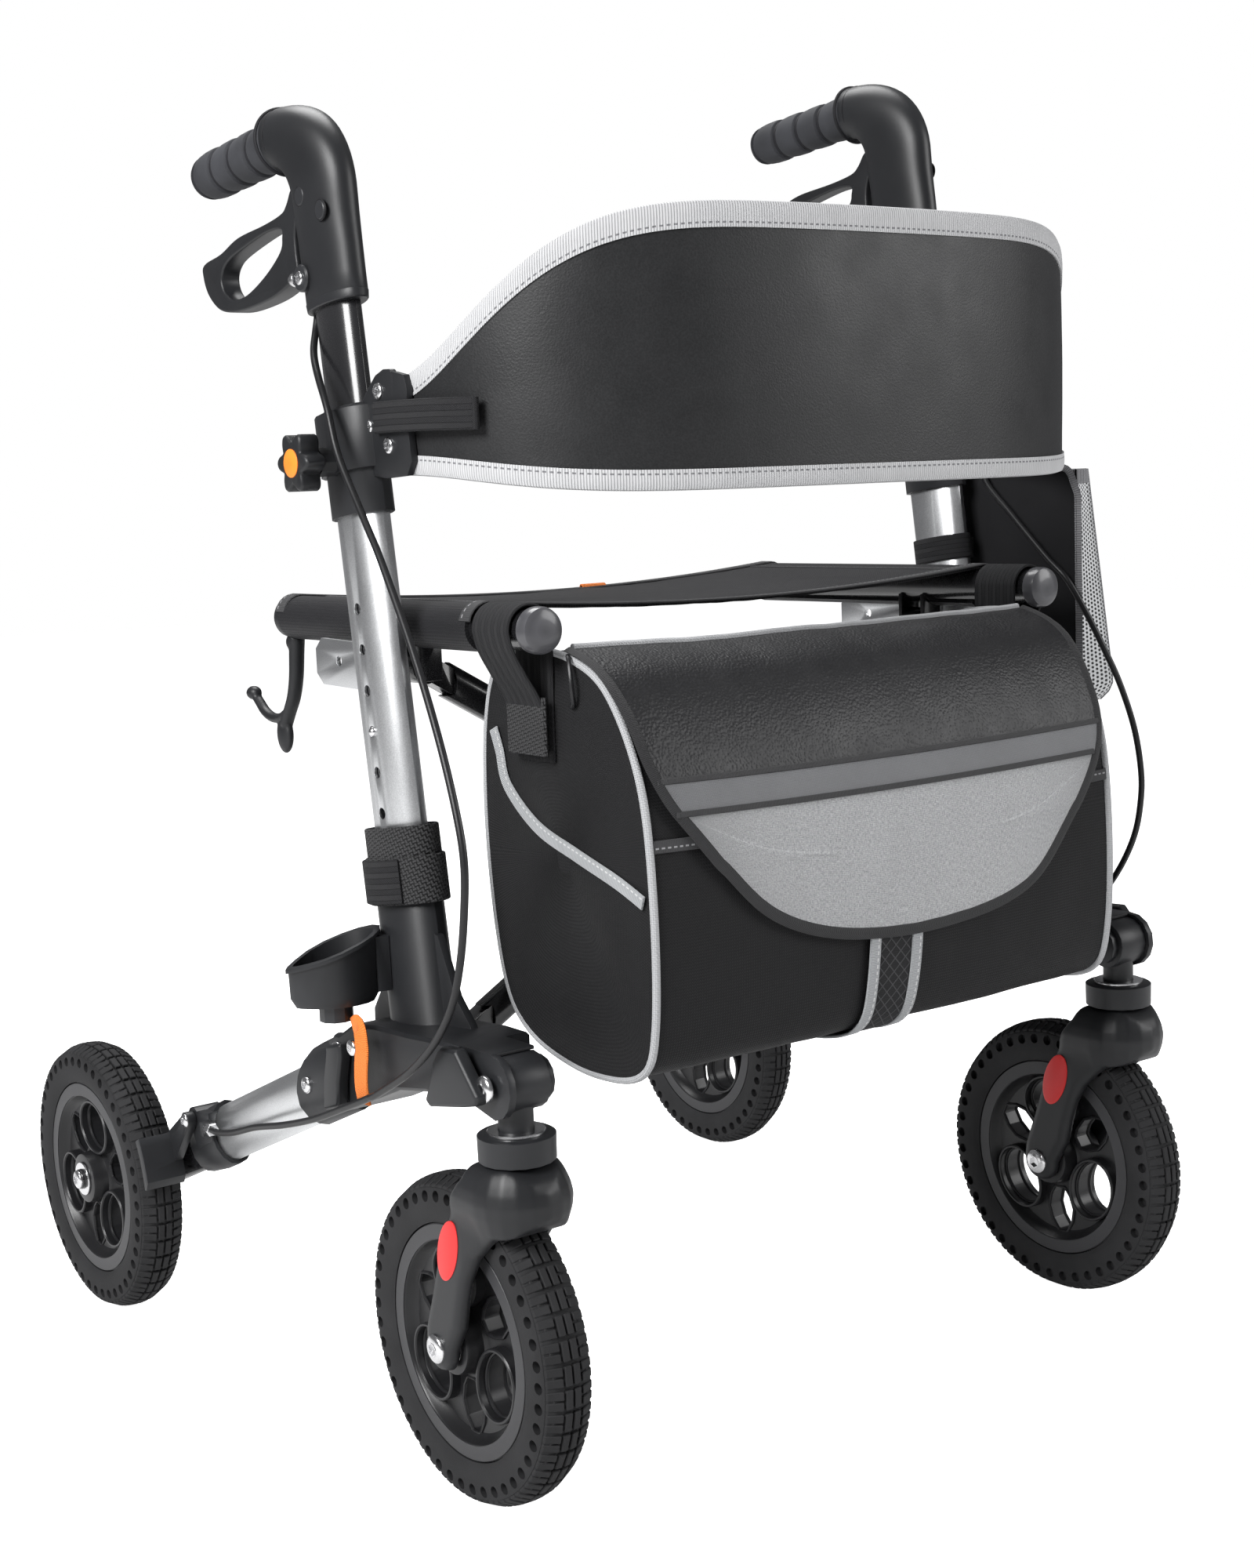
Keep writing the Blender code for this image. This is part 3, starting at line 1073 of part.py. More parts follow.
def make_front_latch(name, side):
    """The front fold latch on the housing's outer face."""
    outline = [(-0.2281, 0.2691), (-0.2297, 0.2758), (-0.2353, 0.2833), (-0.2395, 0.2862), (-0.2549, 0.2870),
               (-0.2762, 0.2642), (-0.2748, 0.2587), (-0.2595, 0.2549), (-0.2241, 0.2479), (-0.2195, 0.2513)]
    near = HOUSING_OUT + TOUCH
    latch = prism(name, outline, side, near, near + LATCH_THICKNESS, "black_plastic")
    soften(latch, 0.0015, 1, 60)
    shade(latch)
    return set_origin(latch, (side * HOUSING_OUT, *FRONT_LATCH_HINGE))


def make_rail(name, side):
    """A seat rail with round end caps and the lugs of its brace."""
    length = RAIL_REAR_Y - RAIL_FRONT_Y
    cap = RAIL_CAP_LENGTH
    cap_end = RAIL_CAP_RADIUS - 0.003
    profile = [(0, cap_end), (0.002, RAIL_CAP_RADIUS), (cap, RAIL_CAP_RADIUS), (cap, RAIL_RADIUS),
               (length - cap, RAIL_RADIUS), (length - cap, RAIL_CAP_RADIUS),
               (length - 0.002, RAIL_CAP_RADIUS), (length, cap_end)]
    rail = lathe(name, profile, (side * RAIL_OUT, RAIL_FRONT_Y, RAIL_Z), (0, 1, 0), "black_tube", ROUND)
    brace_y = BRACE_REAR_Y if side == RIGHT else BRACE_FRONT_Y
    half = BRACE_EYE_LENGTH / 2 + RUNNING
    low_x, high_x = sorted((side * (BRACE_PIVOT_OUT - LUG_HALF_WIDTH),
                            side * (BRACE_PIVOT_OUT + LUG_HALF_WIDTH)))
    for sign in (-1, 1):
        y0, y1 = sorted((brace_y + sign * half, brace_y + sign * (half + LUG_THICKNESS)))
        join(rail, box("lug", (low_x, y0, BRACE_TOP_Z - 0.0090), (high_x, y1, RAIL_Z - 0.0060)))
    reach = half + LUG_THICKNESS / 2
    pin = rod("pin", (side * BRACE_PIVOT_OUT, brace_y - reach, BRACE_TOP_Z),
              (side * BRACE_PIVOT_OUT, brace_y + reach, BRACE_TOP_Z), BRACE_PIN_RADIUS)
    join(rail, pin)
    shade(rail)
    return set_origin(rail, (side * RAIL_OUT, RAIL_FRONT_Y, RAIL_Z))


def make_brace(name, foot_side, y, with_bolt):
    """A cross brace from one side's foot pivot to the other side's rail."""
    foot = Vector((foot_side * BRACE_PIVOT_OUT, y, BRACE_FOOT_Z))
    top = Vector((-foot_side * BRACE_PIVOT_OUT, y, BRACE_TOP_Z))
    middle = (foot + top) / 2
    brace = rod(name, foot, top, BRACE_RADIUS, "black_tube", 14)
    for point in (foot, top):
        square = box("trim", (point.x - 0.02, y - 0.02, point.z - 0.02),
                     (point.x + 0.02, y + 0.02, point.z + 0.02))
        cut(brace, square)
        inward = (middle - point).normalized()
        reach = BRACE_EYE_LENGTH / 2
        eye = rod("eye", point + Vector((0, -reach, 0)), point + Vector((0, reach, 0)), BRACE_EYE_RADIUS,
                  count=ROUND)
        neck_half = 0.0075
        side_way = Vector((0, 1, 0))
        up_way = inward.cross(side_way)
        rings = []
        for along in (0.0, 0.035):
            at = point + inward * along
            rings.append([at + side_way * a * neck_half + up_way * b * neck_half
                          for a, b in ((-1, -1), (1, -1), (1, 1), (-1, 1))])
        join(brace, loft("neck", rings), eye)
        cut(brace, rod("hole", point + Vector((0, -0.02, 0)), point + Vector((0, 0.02, 0)),
                       BRACE_PIN_RADIUS + RUNNING))
    if with_bolt:
        head = BRACE_REAR_Y + BRACE_RADIUS + TOUCH
        bolt = lathe("bolt", [(0, BRACE_PIN_RADIUS), (head - y, BRACE_PIN_RADIUS), (head - y, 0.0080),
                              (head - y + 0.0030, 0.0080)], middle, (0, 1, 0))
        join(brace, bolt)
    else:
        cut(brace, rod("hole", middle + Vector((0, -0.02, 0)), middle + Vector((0, 0.02, 0)),
                       BRACE_PIN_RADIUS + RUNNING))
    shade(brace)
    return set_origin(brace, foot if with_bolt else middle)


def make_seat(name):
    """The seat cloth: a sagging sheet sewn into a sleeve round each rail."""
    sleeve_in = RAIL_RADIUS + TOUCH
    sleeve_out = sleeve_in + SLEEVE_WALL
    columns = 8
    top = []
    for i in range(columns + 1):
        x = -RAIL_OUT + 2 * RAIL_OUT * i / columns
        sag = SEAT_SAG * (1 - (x / RAIL_OUT) ** 2)
        top.append((x, RAIL_Z + sleeve_out - sag - 0.0004))
    outline = top + [(x, z - SEAT_THICKNESS) for x, z in reversed(top)]
    count = len(outline)
    verts = [(x, SEAT_FRONT_Y, z) for x, z in outline] + [(x, SEAT_REAR_Y, z) for x, z in outline]
    faces = [tuple(range(count)), tuple(range(2 * count - 1, count - 1, -1))]
    faces += [(i, (i + 1) % count, count + (i + 1) % count, count + i) for i in range(count)]
    seat = make_object(name, verts, faces, "seat_fabric")
    for side in SIDES.values():
        start = (side * RAIL_OUT, SEAT_FRONT_Y, RAIL_Z)
        end = (side * RAIL_OUT, SEAT_REAR_Y, RAIL_Z)
        join(seat, rod("sleeve", start, end, sleeve_out, count=ROUND))
    for side in SIDES.values():
        before = (side * RAIL_OUT, SEAT_FRONT_Y - 0.01, RAIL_Z)
        after = (side * RAIL_OUT, SEAT_REAR_Y + 0.01, RAIL_Z)
        cut(seat, rod("bore", before, after, sleeve_in, count=ROUND))
        brace_y = BRACE_REAR_Y if side == RIGHT else BRACE_FRONT_Y
        room = BRACE_EYE_LENGTH / 2 + LUG_THICKNESS + 0.004
        low_x, high_x = sorted((side * (BRACE_PIVOT_OUT - LUG_HALF_WIDTH - 0.001),
                                side * (BRACE_PIVOT_OUT + LUG_HALF_WIDTH + 0.001)))
        cut(seat, box("notch", (low_x, brace_y - room, RAIL_Z - 0.03),
                      (high_x, brace_y + room, RAIL_Z - 0.0045)))
    shade(seat)
    return set_origin(seat, (0, SEAT_FRONT_Y, RAIL_Z))


def make_hook(name, side):
    """The cane hook under the rail's rear end."""
    top = RAIL_Z - RAIL_CAP_RADIUS - TOUCH
    front = SEAT_REAR_Y + 0.0005
    outline = [(front, top), (0.0530, top), (0.0525, 0.4950), (0.0560, 0.4800), (0.0615, 0.4660),
               (0.0700, 0.4560), (0.0860, 0.4520), (0.0990, 0.4545), (0.1070, 0.4620), (0.1130, 0.4670),
               (0.1210, 0.4650), (0.1180, 0.4580), (0.1080, 0.4480), (0.0920, 0.4425), (0.0800, 0.4425),
               (0.0790, 0.4300), (0.0730, 0.4250), (0.0640, 0.4270), (0.0620, 0.4350), (0.0600, 0.4480),
               (0.0530, 0.4600), (0.0475, 0.4790), (front, 0.4930)]
    hook = prism(name, outline, side, RAIL_OUT - 0.0060, RAIL_OUT + 0.0060, "black_plastic")
    soften(hook, 0.0018, 1, 60)
    shade(hook)
    return set_origin(hook, (side * RAIL_OUT, 0.042, top))


def band_plan(t):
    """The band's plan curve, from one bracket (t = -1) round to the other (t = 1)."""
    angle = t * math.pi / 2
    power = 2.0 / BAND_SQUARENESS
    half = UPRIGHT_OUT - BAND_THICKNESS / 2 - TOUCH
    x = math.copysign(abs(math.sin(angle)) ** power, t) * half
    y = BAND_BACK_Y - BAND_DEPTH * abs(math.cos(angle)) ** power
    return x, y


def make_band(name):
    """The backrest band: a bowed strip, taller in the middle."""
    rings = []
    steps = 24
    half = BAND_THICKNESS / 2
    for i in range(steps + 1):
        t = -1 + 2 * i / steps
        t = math.copysign(abs(t) ** BAND_CROWDING, t)
        x, y = band_plan(t)
        ahead = band_plan(min(t + 0.002, 1.0))
        behind = band_plan(max(t - 0.002, -1.0))
        tangent = Vector((ahead[0] - behind[0], ahead[1] - behind[1], 0)).normalized()
        normal = Vector((-tangent.y, tangent.x, 0))
        reach = (BAND_BACK_Y - y) / BAND_DEPTH
        rise = min(1.0, max(0.0, reach * BAND_RISE_SHARE)) ** BAND_RISE_POWER
        rise = rise * rise * (3 - 2 * rise)
        low = BAND_END_FOOT_Z + (BAND_FOOT_Z - BAND_END_FOOT_Z) * rise
        high = BAND_END_TOP_Z + (BAND_TOP_Z - BAND_END_TOP_Z) * rise
        at = Vector((x, y, 0))
        edge = half * 0.4
        ring = []
        for offset, z in ((-edge, low), (edge, low), (half, low + 0.003), (half, high - 0.003),
                          (edge, high), (-edge, high), (-half, high - 0.003), (-half, low + 0.003)):
            ring.append(at + normal * offset + Vector((0, 0, z)))
        rings.append(ring)
    band = loft(name, rings, "band_leather")
    return set_origin(band, (-UPRIGHT_OUT, BAND_BACK_Y, BAND_FOOT_Z))


def make_bag(name):
    """The bag under the seat's front, with a loop round each rail."""
    outline = [(-0.1760, 0.4950), (-0.1600, 0.4600), (-0.1555, 0.4000), (-0.1600, 0.3400), (-0.1700, 0.2960),
               (-0.1860, 0.2750), (-0.2150, 0.2620), (-0.2600, 0.2560), (-0.3070, 0.2640), (-0.3190, 0.2950),
               (BAG_FRONT_Y, 0.3700),
               (-0.3120, 0.4350), (-0.2850, 0.4830), (-0.2500, 0.5010), (-0.2120, 0.5040)]
    middle = Vector((0, -0.2400, 0.3850))
    rings = []
    for x, scale in ((-1.0, 0.985), (-0.975, 1.0), (0.975, 1.0), (1.0, 0.985)):
        rings.append([Vector((x * BAG_HALF_WIDTH, middle.y + (y - middle.y) * scale,
                              middle.z + (z - middle.z) * scale)) for y, z in outline])
    bag = loft(name, rings, "bag_fabric")
    loop_in = RAIL_RADIUS + TOUCH
    loop_out = loop_in + STRAP_WALL
    loop_y = RAIL_FRONT_Y + RAIL_CAP_LENGTH + 0.006
    for side in SIDES.values():
        loop = rod("loop", (side * RAIL_OUT, loop_y, RAIL_Z), (side * RAIL_OUT, loop_y + STRAP_WIDTH, RAIL_Z),
                   loop_out, count=ROUND)
        low_x, high_x = sorted((side * (BAG_HALF_WIDTH - 0.004), side * (BAG_HALF_WIDTH + 0.004)))
        strap = box("strap", (low_x, loop_y + 0.001, 0.4350), (high_x, loop_y + STRAP_WIDTH - 0.001, RAIL_Z))
        join(loop, strap)
        cut(loop, rod("bore", (side * RAIL_OUT, loop_y - 0.01, RAIL_Z),
                      (side * RAIL_OUT, loop_y + STRAP_WIDTH + 0.01, RAIL_Z), loop_in, count=ROUND))
        join(bag, loop)
    shade(bag)
    return set_origin(bag, (0, middle.y, middle.z))


def cup_ring(start, direction, z, grow, fall=0.0):
    """The cane cup's pear-shaped section at a height, falling towards its tip."""
    across = Vector((-direction.y, direction.x, 0))
    half = CUP_HALF_WIDTH + grow
    ring = []
    for i in range(16):
        angle = 2 * math.pi * i / 16
        c = math.cos(angle)
        s = math.sin(angle)
        narrow = 1.0 if c < 0 else 1.0 - 0.55 * c * c
        along = CUP_LENGTH / 2 + c * (CUP_LENGTH / 2 + grow)
        ring.append(start + direction * along + across * (s * half * narrow)
                    + Vector((0, 0, z - fall * along)))
    return ring


def make_cup(name, side):
    """The cane cup on the socket's outer rear, with its mount and drain stub."""
    socket_a = TUBE_A + TOUCH + SOCKET_WALL
    socket_b = TUBE_B + TOUCH + SOCKET_WALL
    direction = Vector((-side * math.cos(CUP_DIRECTION), math.sin(CUP_DIRECTION), 0))
    start = Vector((side * CUP_START[0], CUP_START[1], 0))
    cup = loft(name, [cup_ring(start, direction, CUP_FLOOR_Z - CUP_WALL, -0.0035),
                      cup_ring(start, direction, CUP_FLOOR_Z + 0.004, 0.0),
                      cup_ring(start, direction, CUP_RIM_Z - 0.003, 0.0005, CUP_RIM_FALL),
                      cup_ring(start, direction, CUP_RIM_Z - 0.0025, 0.0022, CUP_RIM_FALL),
                      cup_ring(start, direction, CUP_RIM_Z, 0.0022, CUP_RIM_FALL)], "black_plastic")
    middle = start + direction * (CUP_LENGTH / 2)
    stub = rod("stub", middle + Vector((0, 0, CUP_FLOOR_Z - 0.0125)),
               middle + Vector((0, 0, CUP_FLOOR_Z - 0.001)), 0.0105)
    across = Vector((-direction.y, direction.x, 0))
    block_rings = []
    for along in (-0.016, 0.004):
        at = start + direction * along
        block_rings.append([at + across * a * 0.0115 + Vector((0, 0, z))
                            for a, z in ((-1, 0.3000), (1, 0.3000), (1, 0.3340), (-1, 0.3340))])
    block = loft("block", block_rings)
    cut(block, loft("socket", [upright_ring(side, 0.27, socket_a + TOUCH, socket_b + TOUCH),
                               upright_ring(side, 0.36, socket_a + TOUCH, socket_b + TOUCH)]))
    join(cup, stub, block)
    hollow = loft("hollow", [cup_ring(start, direction, CUP_FLOOR_Z, -0.0035 - CUP_WALL),
                             cup_ring(start, direction, CUP_FLOOR_Z + 0.004, -CUP_WALL),
                             cup_ring(start, direction, CUP_RIM_Z + 0.02, -CUP_WALL)])
    cut(cup, hollow)
    shade(cup)
    return set_origin(cup, middle + Vector((0, 0, CUP_FLOOR_Z)))


def pouch_far(z):
    """How far the pouch's front panel stands from its back panel at a height."""
    return POUCH_THICK + (POUCH_THIN - POUCH_THICK) * (z - POUCH_FOOT_Z) / (POUCH_TOP_Z - POUCH_FOOT_Z)


def make_pouch(name, side):
    """The side pouch on the left upright, with a loop round the tube."""
    near = UPRIGHT_OUT + COLLAR_B + POUCH_GAP
    far = near + POUCH_THICK
    outline = [(-0.1060, POUCH_TOP_Z), (-0.1020, 0.5850), (-0.1060, 0.4550), (-0.1140, 0.4400),
               (-0.1300, POUCH_FOOT_Z), (-0.2120, POUCH_FOOT_Z), (-0.2260, 0.4400), (-0.2320, 0.4550),
               (-0.2320, 0.5800), (-0.2240, POUCH_TOP_Z)]
    pouch = prism(name, outline, side, near, far, "bag_fabric")
    mouth = [(-0.1120, POUCH_TOP_Z + 0.02), (-0.1120, 0.4700), (-0.1200, 0.4500), (-0.2120, 0.4500),
             (-0.2230, 0.4700), (-0.2230, POUCH_TOP_Z + 0.02)]
    opening = prism("mouth", mouth, side, near + POUCH_WALL, far - POUCH_WALL)
    for item, wall in ((pouch, 0.0), (opening, POUCH_WALL)):
        for vert in item.data.vertices:
            if abs(vert.co.x) > near + 0.02:
                vert.co.x = side * (near + pouch_far(vert.co.z) - wall)
    soften(pouch, 0.0040, 1, 60)
    cut(pouch, opening)
    loop_a = TUBE_A + TOUCH
    loop_b = TUBE_B + TOUCH
    loop = loft("loop", [upright_ring(side, POUCH_LOOP_Z, loop_a + STRAP_WALL, loop_b + STRAP_WALL),
                         upright_ring(side, POUCH_LOOP_Z + 0.030, loop_a + STRAP_WALL, loop_b + STRAP_WALL)])
    low_x, high_x = sorted((side * (UPRIGHT_OUT + 0.006), side * (near + 0.001)))
    middle = upright_y(POUCH_LOOP_Z + 0.015)
    bridge = box("bridge", (low_x, middle - 0.012, POUCH_LOOP_Z + 0.003),
                 (high_x, middle + 0.012, POUCH_LOOP_Z + 0.027))
    join(loop, bridge)
    cut(loop, loft("bore", [upright_ring(side, POUCH_LOOP_Z - 0.02, loop_a, loop_b),
                            upright_ring(side, POUCH_LOOP_Z + 0.05, loop_a, loop_b)]))
    join(pouch, loop)
    shade(pouch)
    return set_origin(pouch, (side * near, -0.167, POUCH_FOOT_Z))


def smooth_route(points, step):
    """Points along a smooth curve through the route's own points."""
    dense = []
    for i in range(len(points) - 1):
        before = points[max(i - 1, 0)]
        start = points[i]
        end = points[i + 1]
        after = points[min(i + 2, len(points) - 1)]
        for k in range(12):
            t = k / 12
            a = start * (1 - t) ** 2 * (1 + 2 * t) + end * t * t * (3 - 2 * t)
            b = (end - before) * 0.5 * t * (1 - t) ** 2 - (after - start) * 0.5 * t * t * (1 - t)
            dense.append(a + b)
    dense.append(points[-1])
    total = sum((dense[i + 1] - dense[i]).length for i in range(len(dense) - 1))
    count = max(2, round(total / step))
    chosen = [dense[0]]
    walked = 0.0
    target = total / count
    for i in range(len(dense) - 1):
        walked += (dense[i + 1] - dense[i]).length
        if walked >= target * len(chosen) and len(chosen) < count:
            chosen.append(dense[i + 1])
    chosen.append(dense[-1])
    return chosen


def make_cable(name, side, route):
    """A brake cable's outer along its route."""
    points = smooth_route([Vector((side * out, y, z)) for out, y, z in route], CABLE_RADIUS * 6)
    points[0] += (points[1] - points[0]).normalized() * TOUCH
    curve = bpy.data.curves.new(name, "CURVE")
    curve.dimensions = "3D"
    spline = curve.splines.new("POLY")
    spline.points.add(len(points) - 1)
    for slot, point in zip(spline.points, points):
        slot.co = (*point, 1.0)
    curve.bevel_depth = CABLE_RADIUS
    curve.bevel_resolution = 2
    curve.use_fill_caps = True
    item = bpy.data.objects.new(name, curve)
    bpy.context.scene.collection.objects.link(item)
    curve.materials.append(make_material_for(name, "cable_black"))
    return item


def center_on_footprint():
    """Parent every piece to an empty that puts the origin in the middle of the footprint."""
    pieces = list(bpy.data.objects)
    root = bpy.data.objects.new("walker_origin", None)
    bpy.context.scene.collection.objects.link(root)
    root.location = (0, FOOTPRINT_SHIFT, 0)
    for item in pieces:
        item.parent = root


def build():
    clear_scene()
    for word, side in SIDES.items():
        make_upright("upright_tube_" + word, side)
        make_collar("tube_collar_" + word, side)
        make_bracket("backrest_bracket_" + word, side)
        make_knob("star_knob_" + word, side)
        make_post("height_tube_" + word, side)
        make_button("height_button_" + word, side)
        make_handle_shell("handle_shell_" + word, side)
        make_grip("grip_" + word, side)
        make_lever("brake_lever_" + word, side)
        make_housing("corner_housing_" + word, side)
        make_knuckle("front_stem_" + word, side)
        make_fork("caster_fork_" + word, side)
        make_tyre("front_tyre_" + word, side * STEM_OUT, FRONT_AXLE_Y)
        make_rim("front_rim_" + word, side * STEM_OUT, FRONT_AXLE_Y, 205)
        make_leg_fitting("leg_fitting_" + word, side)
        make_leg_tube("leg_tube_" + word, side)
        make_leg_inner("leg_inner_tube_" + word, side)
        make_brake_housing("brake_housing_" + word, side)
        make_shoe("brake_shoe_" + word, side)
        make_tyre("rear_tyre_" + word, side * REAR_WHEEL_OUT, REAR_AXLE_Y)
        make_rim("rear_rim_" + word, side * REAR_WHEEL_OUT, REAR_AXLE_Y, 100)
        make_rear_latch("rear_latch_" + word, side)
        make_front_latch("front_latch_" + word, side)
        make_rail("seat_rail_" + word, side)
        make_cable("upper_cable_" + word, side, UPPER_CABLES[side])
        make_cable("lower_cable_" + word, side, LOWER_CABLE)
    make_brace("front_brace", RIGHT, BRACE_FRONT_Y, True)
    make_brace("rear_brace", LEFT, BRACE_REAR_Y, False)
    make_seat("seat_cloth")
    make_band("backrest_band")
    make_bag("front_bag")
    make_hook("cane_hook", RIGHT)
    make_cup("cane_cup", RIGHT)
    make_pouch("side_pouch", LEFT)
    center_on_footprint()


build()
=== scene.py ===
import json
import math

import bmesh
import bpy
from mathutils import Matrix, Vector
from mathutils.noise import noise

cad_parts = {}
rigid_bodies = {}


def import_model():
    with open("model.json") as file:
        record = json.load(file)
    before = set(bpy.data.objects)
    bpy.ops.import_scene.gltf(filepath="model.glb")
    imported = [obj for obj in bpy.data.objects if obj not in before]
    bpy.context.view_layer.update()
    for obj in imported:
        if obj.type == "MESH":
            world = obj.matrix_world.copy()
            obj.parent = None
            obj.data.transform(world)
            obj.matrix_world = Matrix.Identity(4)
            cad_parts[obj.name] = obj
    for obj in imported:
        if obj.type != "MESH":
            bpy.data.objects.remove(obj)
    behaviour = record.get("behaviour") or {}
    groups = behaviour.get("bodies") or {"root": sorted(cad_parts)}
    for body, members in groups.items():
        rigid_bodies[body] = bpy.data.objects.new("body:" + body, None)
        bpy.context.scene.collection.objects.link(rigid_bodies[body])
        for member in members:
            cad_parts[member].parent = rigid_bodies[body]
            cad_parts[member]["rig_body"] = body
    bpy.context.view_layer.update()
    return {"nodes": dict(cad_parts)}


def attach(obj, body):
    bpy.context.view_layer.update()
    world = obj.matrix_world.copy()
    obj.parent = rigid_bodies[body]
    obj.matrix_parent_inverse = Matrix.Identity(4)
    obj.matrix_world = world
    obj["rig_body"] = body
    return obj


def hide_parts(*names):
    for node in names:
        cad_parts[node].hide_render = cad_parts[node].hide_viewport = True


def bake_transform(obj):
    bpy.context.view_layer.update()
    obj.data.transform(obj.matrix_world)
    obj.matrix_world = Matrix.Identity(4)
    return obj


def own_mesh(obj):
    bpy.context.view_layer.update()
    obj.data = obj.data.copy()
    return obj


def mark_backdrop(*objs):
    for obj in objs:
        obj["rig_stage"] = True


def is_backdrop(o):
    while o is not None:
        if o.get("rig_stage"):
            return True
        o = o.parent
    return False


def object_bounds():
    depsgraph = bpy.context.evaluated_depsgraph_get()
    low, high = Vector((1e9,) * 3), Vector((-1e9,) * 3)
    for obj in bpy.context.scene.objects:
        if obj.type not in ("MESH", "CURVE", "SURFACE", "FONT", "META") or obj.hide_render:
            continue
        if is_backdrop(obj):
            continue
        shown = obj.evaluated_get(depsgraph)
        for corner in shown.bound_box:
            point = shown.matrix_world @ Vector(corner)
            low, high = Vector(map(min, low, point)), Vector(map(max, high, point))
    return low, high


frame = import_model()
nodes = frame["nodes"]
sides = {"right": -1, "left": 1}
# World y of the part's own zero
shiftY = -0.00825


# Shader values, written as plain sums

def feed(tree, socket, value):
    if isinstance(value, Wire):
        tree.links.new(value.socket, socket)
    elif hasattr(socket, "default_value"):
        if socket.type == "RGBA" and not isinstance(value, (int, float)):
            value = (*value, 1.0)
        socket.default_value = value


class Wire:
    def __init__(self, tree, socket):
        self.tree = tree
        self.socket = socket

    def math(self, kind, *others, first=None, clamp=False):
        node = self.tree.nodes.new("ShaderNodeMath")
        node.operation = kind
        node.use_clamp = clamp
        values = (first, self) if first is not None else (self, *others)
        for socket, value in zip(node.inputs, values):
            feed(self.tree, socket, value)
        return Wire(self.tree, node.outputs[0])

    __add__ = __radd__ = lambda self, other: self.math("ADD", other)
    __mul__ = __rmul__ = lambda self, other: self.math("MULTIPLY", other)
    __sub__ = lambda self, other: self.math("SUBTRACT", other)
    __rsub__ = lambda self, other: self.math("SUBTRACT", first=other)
    __truediv__ = lambda self, other: self.math("DIVIDE", other)
    __gt__ = lambda self, other: self.math("GREATER_THAN", other)
    __lt__ = lambda self, other: self.math("LESS_THAN", other)

    def steps(self, low, high):
        return ((self - low) / (high - low)).math("MULTIPLY", 1.0, clamp=True)

    def odd(self):
        # One where the whole part is odd, otherwise none
        return self.math("FLOOR").math("MODULO", 2.0).math("ABSOLUTE")

    def arch(self):
        # A round rise that starts again at each whole number
        return (self.math("FRACT") * math.pi).math("SINE")


class Look:
    def __init__(self, name, color, roughness, metallic=0.0, **uniform):
        self.material = bpy.data.materials.new(name)
        self.material.use_nodes = True
        self.tree = self.material.node_tree
        self.shader = self.tree.nodes["Principled BSDF"]
        self.put(Base_Color=color, Roughness=roughness, Metallic=metallic, **uniform)

    def put(self, **values):
        for key, value in values.items():
            feed(self.tree, self.shader.inputs[key.replace("_", " ")], value)
        return self

    def node(self, kind, output=0, settings=None, **values):
        made = self.tree.nodes.new("ShaderNode" + kind)
        for key, value in (settings or {}).items():
            setattr(made, key, value)
        for key, value in values.items():
            feed(self.tree, made.inputs[key.replace("_", " ")], value)
        return Wire(self.tree, made.outputs[output])

    def space(self, output="Object", turn=0.0, scale=(1, 1, 1)):
        at = self.node("TexCoord", output)
        return self.node("Mapping", Vector=at, Rotation=(0, 0, turn), Scale=scale)

    def axes(self, vector):
        split = self.tree.nodes.new("ShaderNodeSeparateXYZ")
        feed(self.tree, split.inputs[0], vector)
        return [Wire(self.tree, out) for out in split.outputs]

    def noise(self, scale, detail=3.0, vector=None):
        return self.node("TexNoise", Vector=vector or self.space(), Scale=scale, Detail=detail)

    def mix(self, amount, a, b):
        made = self.tree.nodes.new("ShaderNodeMix")
        made.data_type = "RGBA"
        feed(self.tree, made.inputs[0], amount)
        feed(self.tree, made.inputs[6], a)
        feed(self.tree, made.inputs[7], b)
        return Wire(self.tree, made.outputs[2])

    def bump(self, height, distance):
        return self.put(Normal=self.node("Bump", Height=height, Distance=distance, Strength=1.0))


def shade(color, amount):
    return tuple(min(1.0, c * amount) for c in color)


def metalLook(name, color, roughness, speckle):
    look = Look(name, color, roughness, 1.0)
    grain = look.noise(1400, 2)
    cloud = look.noise(22, 4)
    look.put(Base_Color=look.mix(grain.steps(0.35, 0.7), shade(color, 0.86), shade(color, 1.06)),
             Roughness=roughness + (cloud - 0.5) * 0.12 + (grain - 0.5) * 0.10)
    return look.bump(grain, speckle)


def plasticLook(name, color, roughness, grain, coat=0.0):
    look = Look(name, color, roughness, Coat_Weight=coat, Coat_Roughness=0.12, Specular_IOR_Level=0.34)
    fine = look.noise(1900, 2)
    cloud = look.noise(16, 4)
    # Convex edges, found by pointiness, are painted lighter: a painted highlight along the edges
    edge = look.node("NewGeometry", 7).steps(0.52, 0.62)
    base = look.mix(cloud.steps(0.3, 0.7), shade(color, 0.85), shade(color, 1.15))
    look.put(Base_Color=look.mix(edge * 0.35, base, shade(color, 2.4)),
             Roughness=roughness + (cloud - 0.5) * 0.16 + (fine - 0.5) * 0.14)
    return look.bump(fine, grain)


def rubberLook(name, color):
    look = Look(name, color, 0.66, Specular_IOR_Level=0.26)
    fine = look.noise(700, 4)
    dust = look.noise(30, 5)
    look.put(Base_Color=look.mix(dust.steps(0.35, 0.75), shade(color, 0.85), shade(color, 1.45)),
             Roughness=0.62 + dust * 0.22)
    return look.bump(fine, 0.00010)


# Cloth looks use each piece's own map, in metres

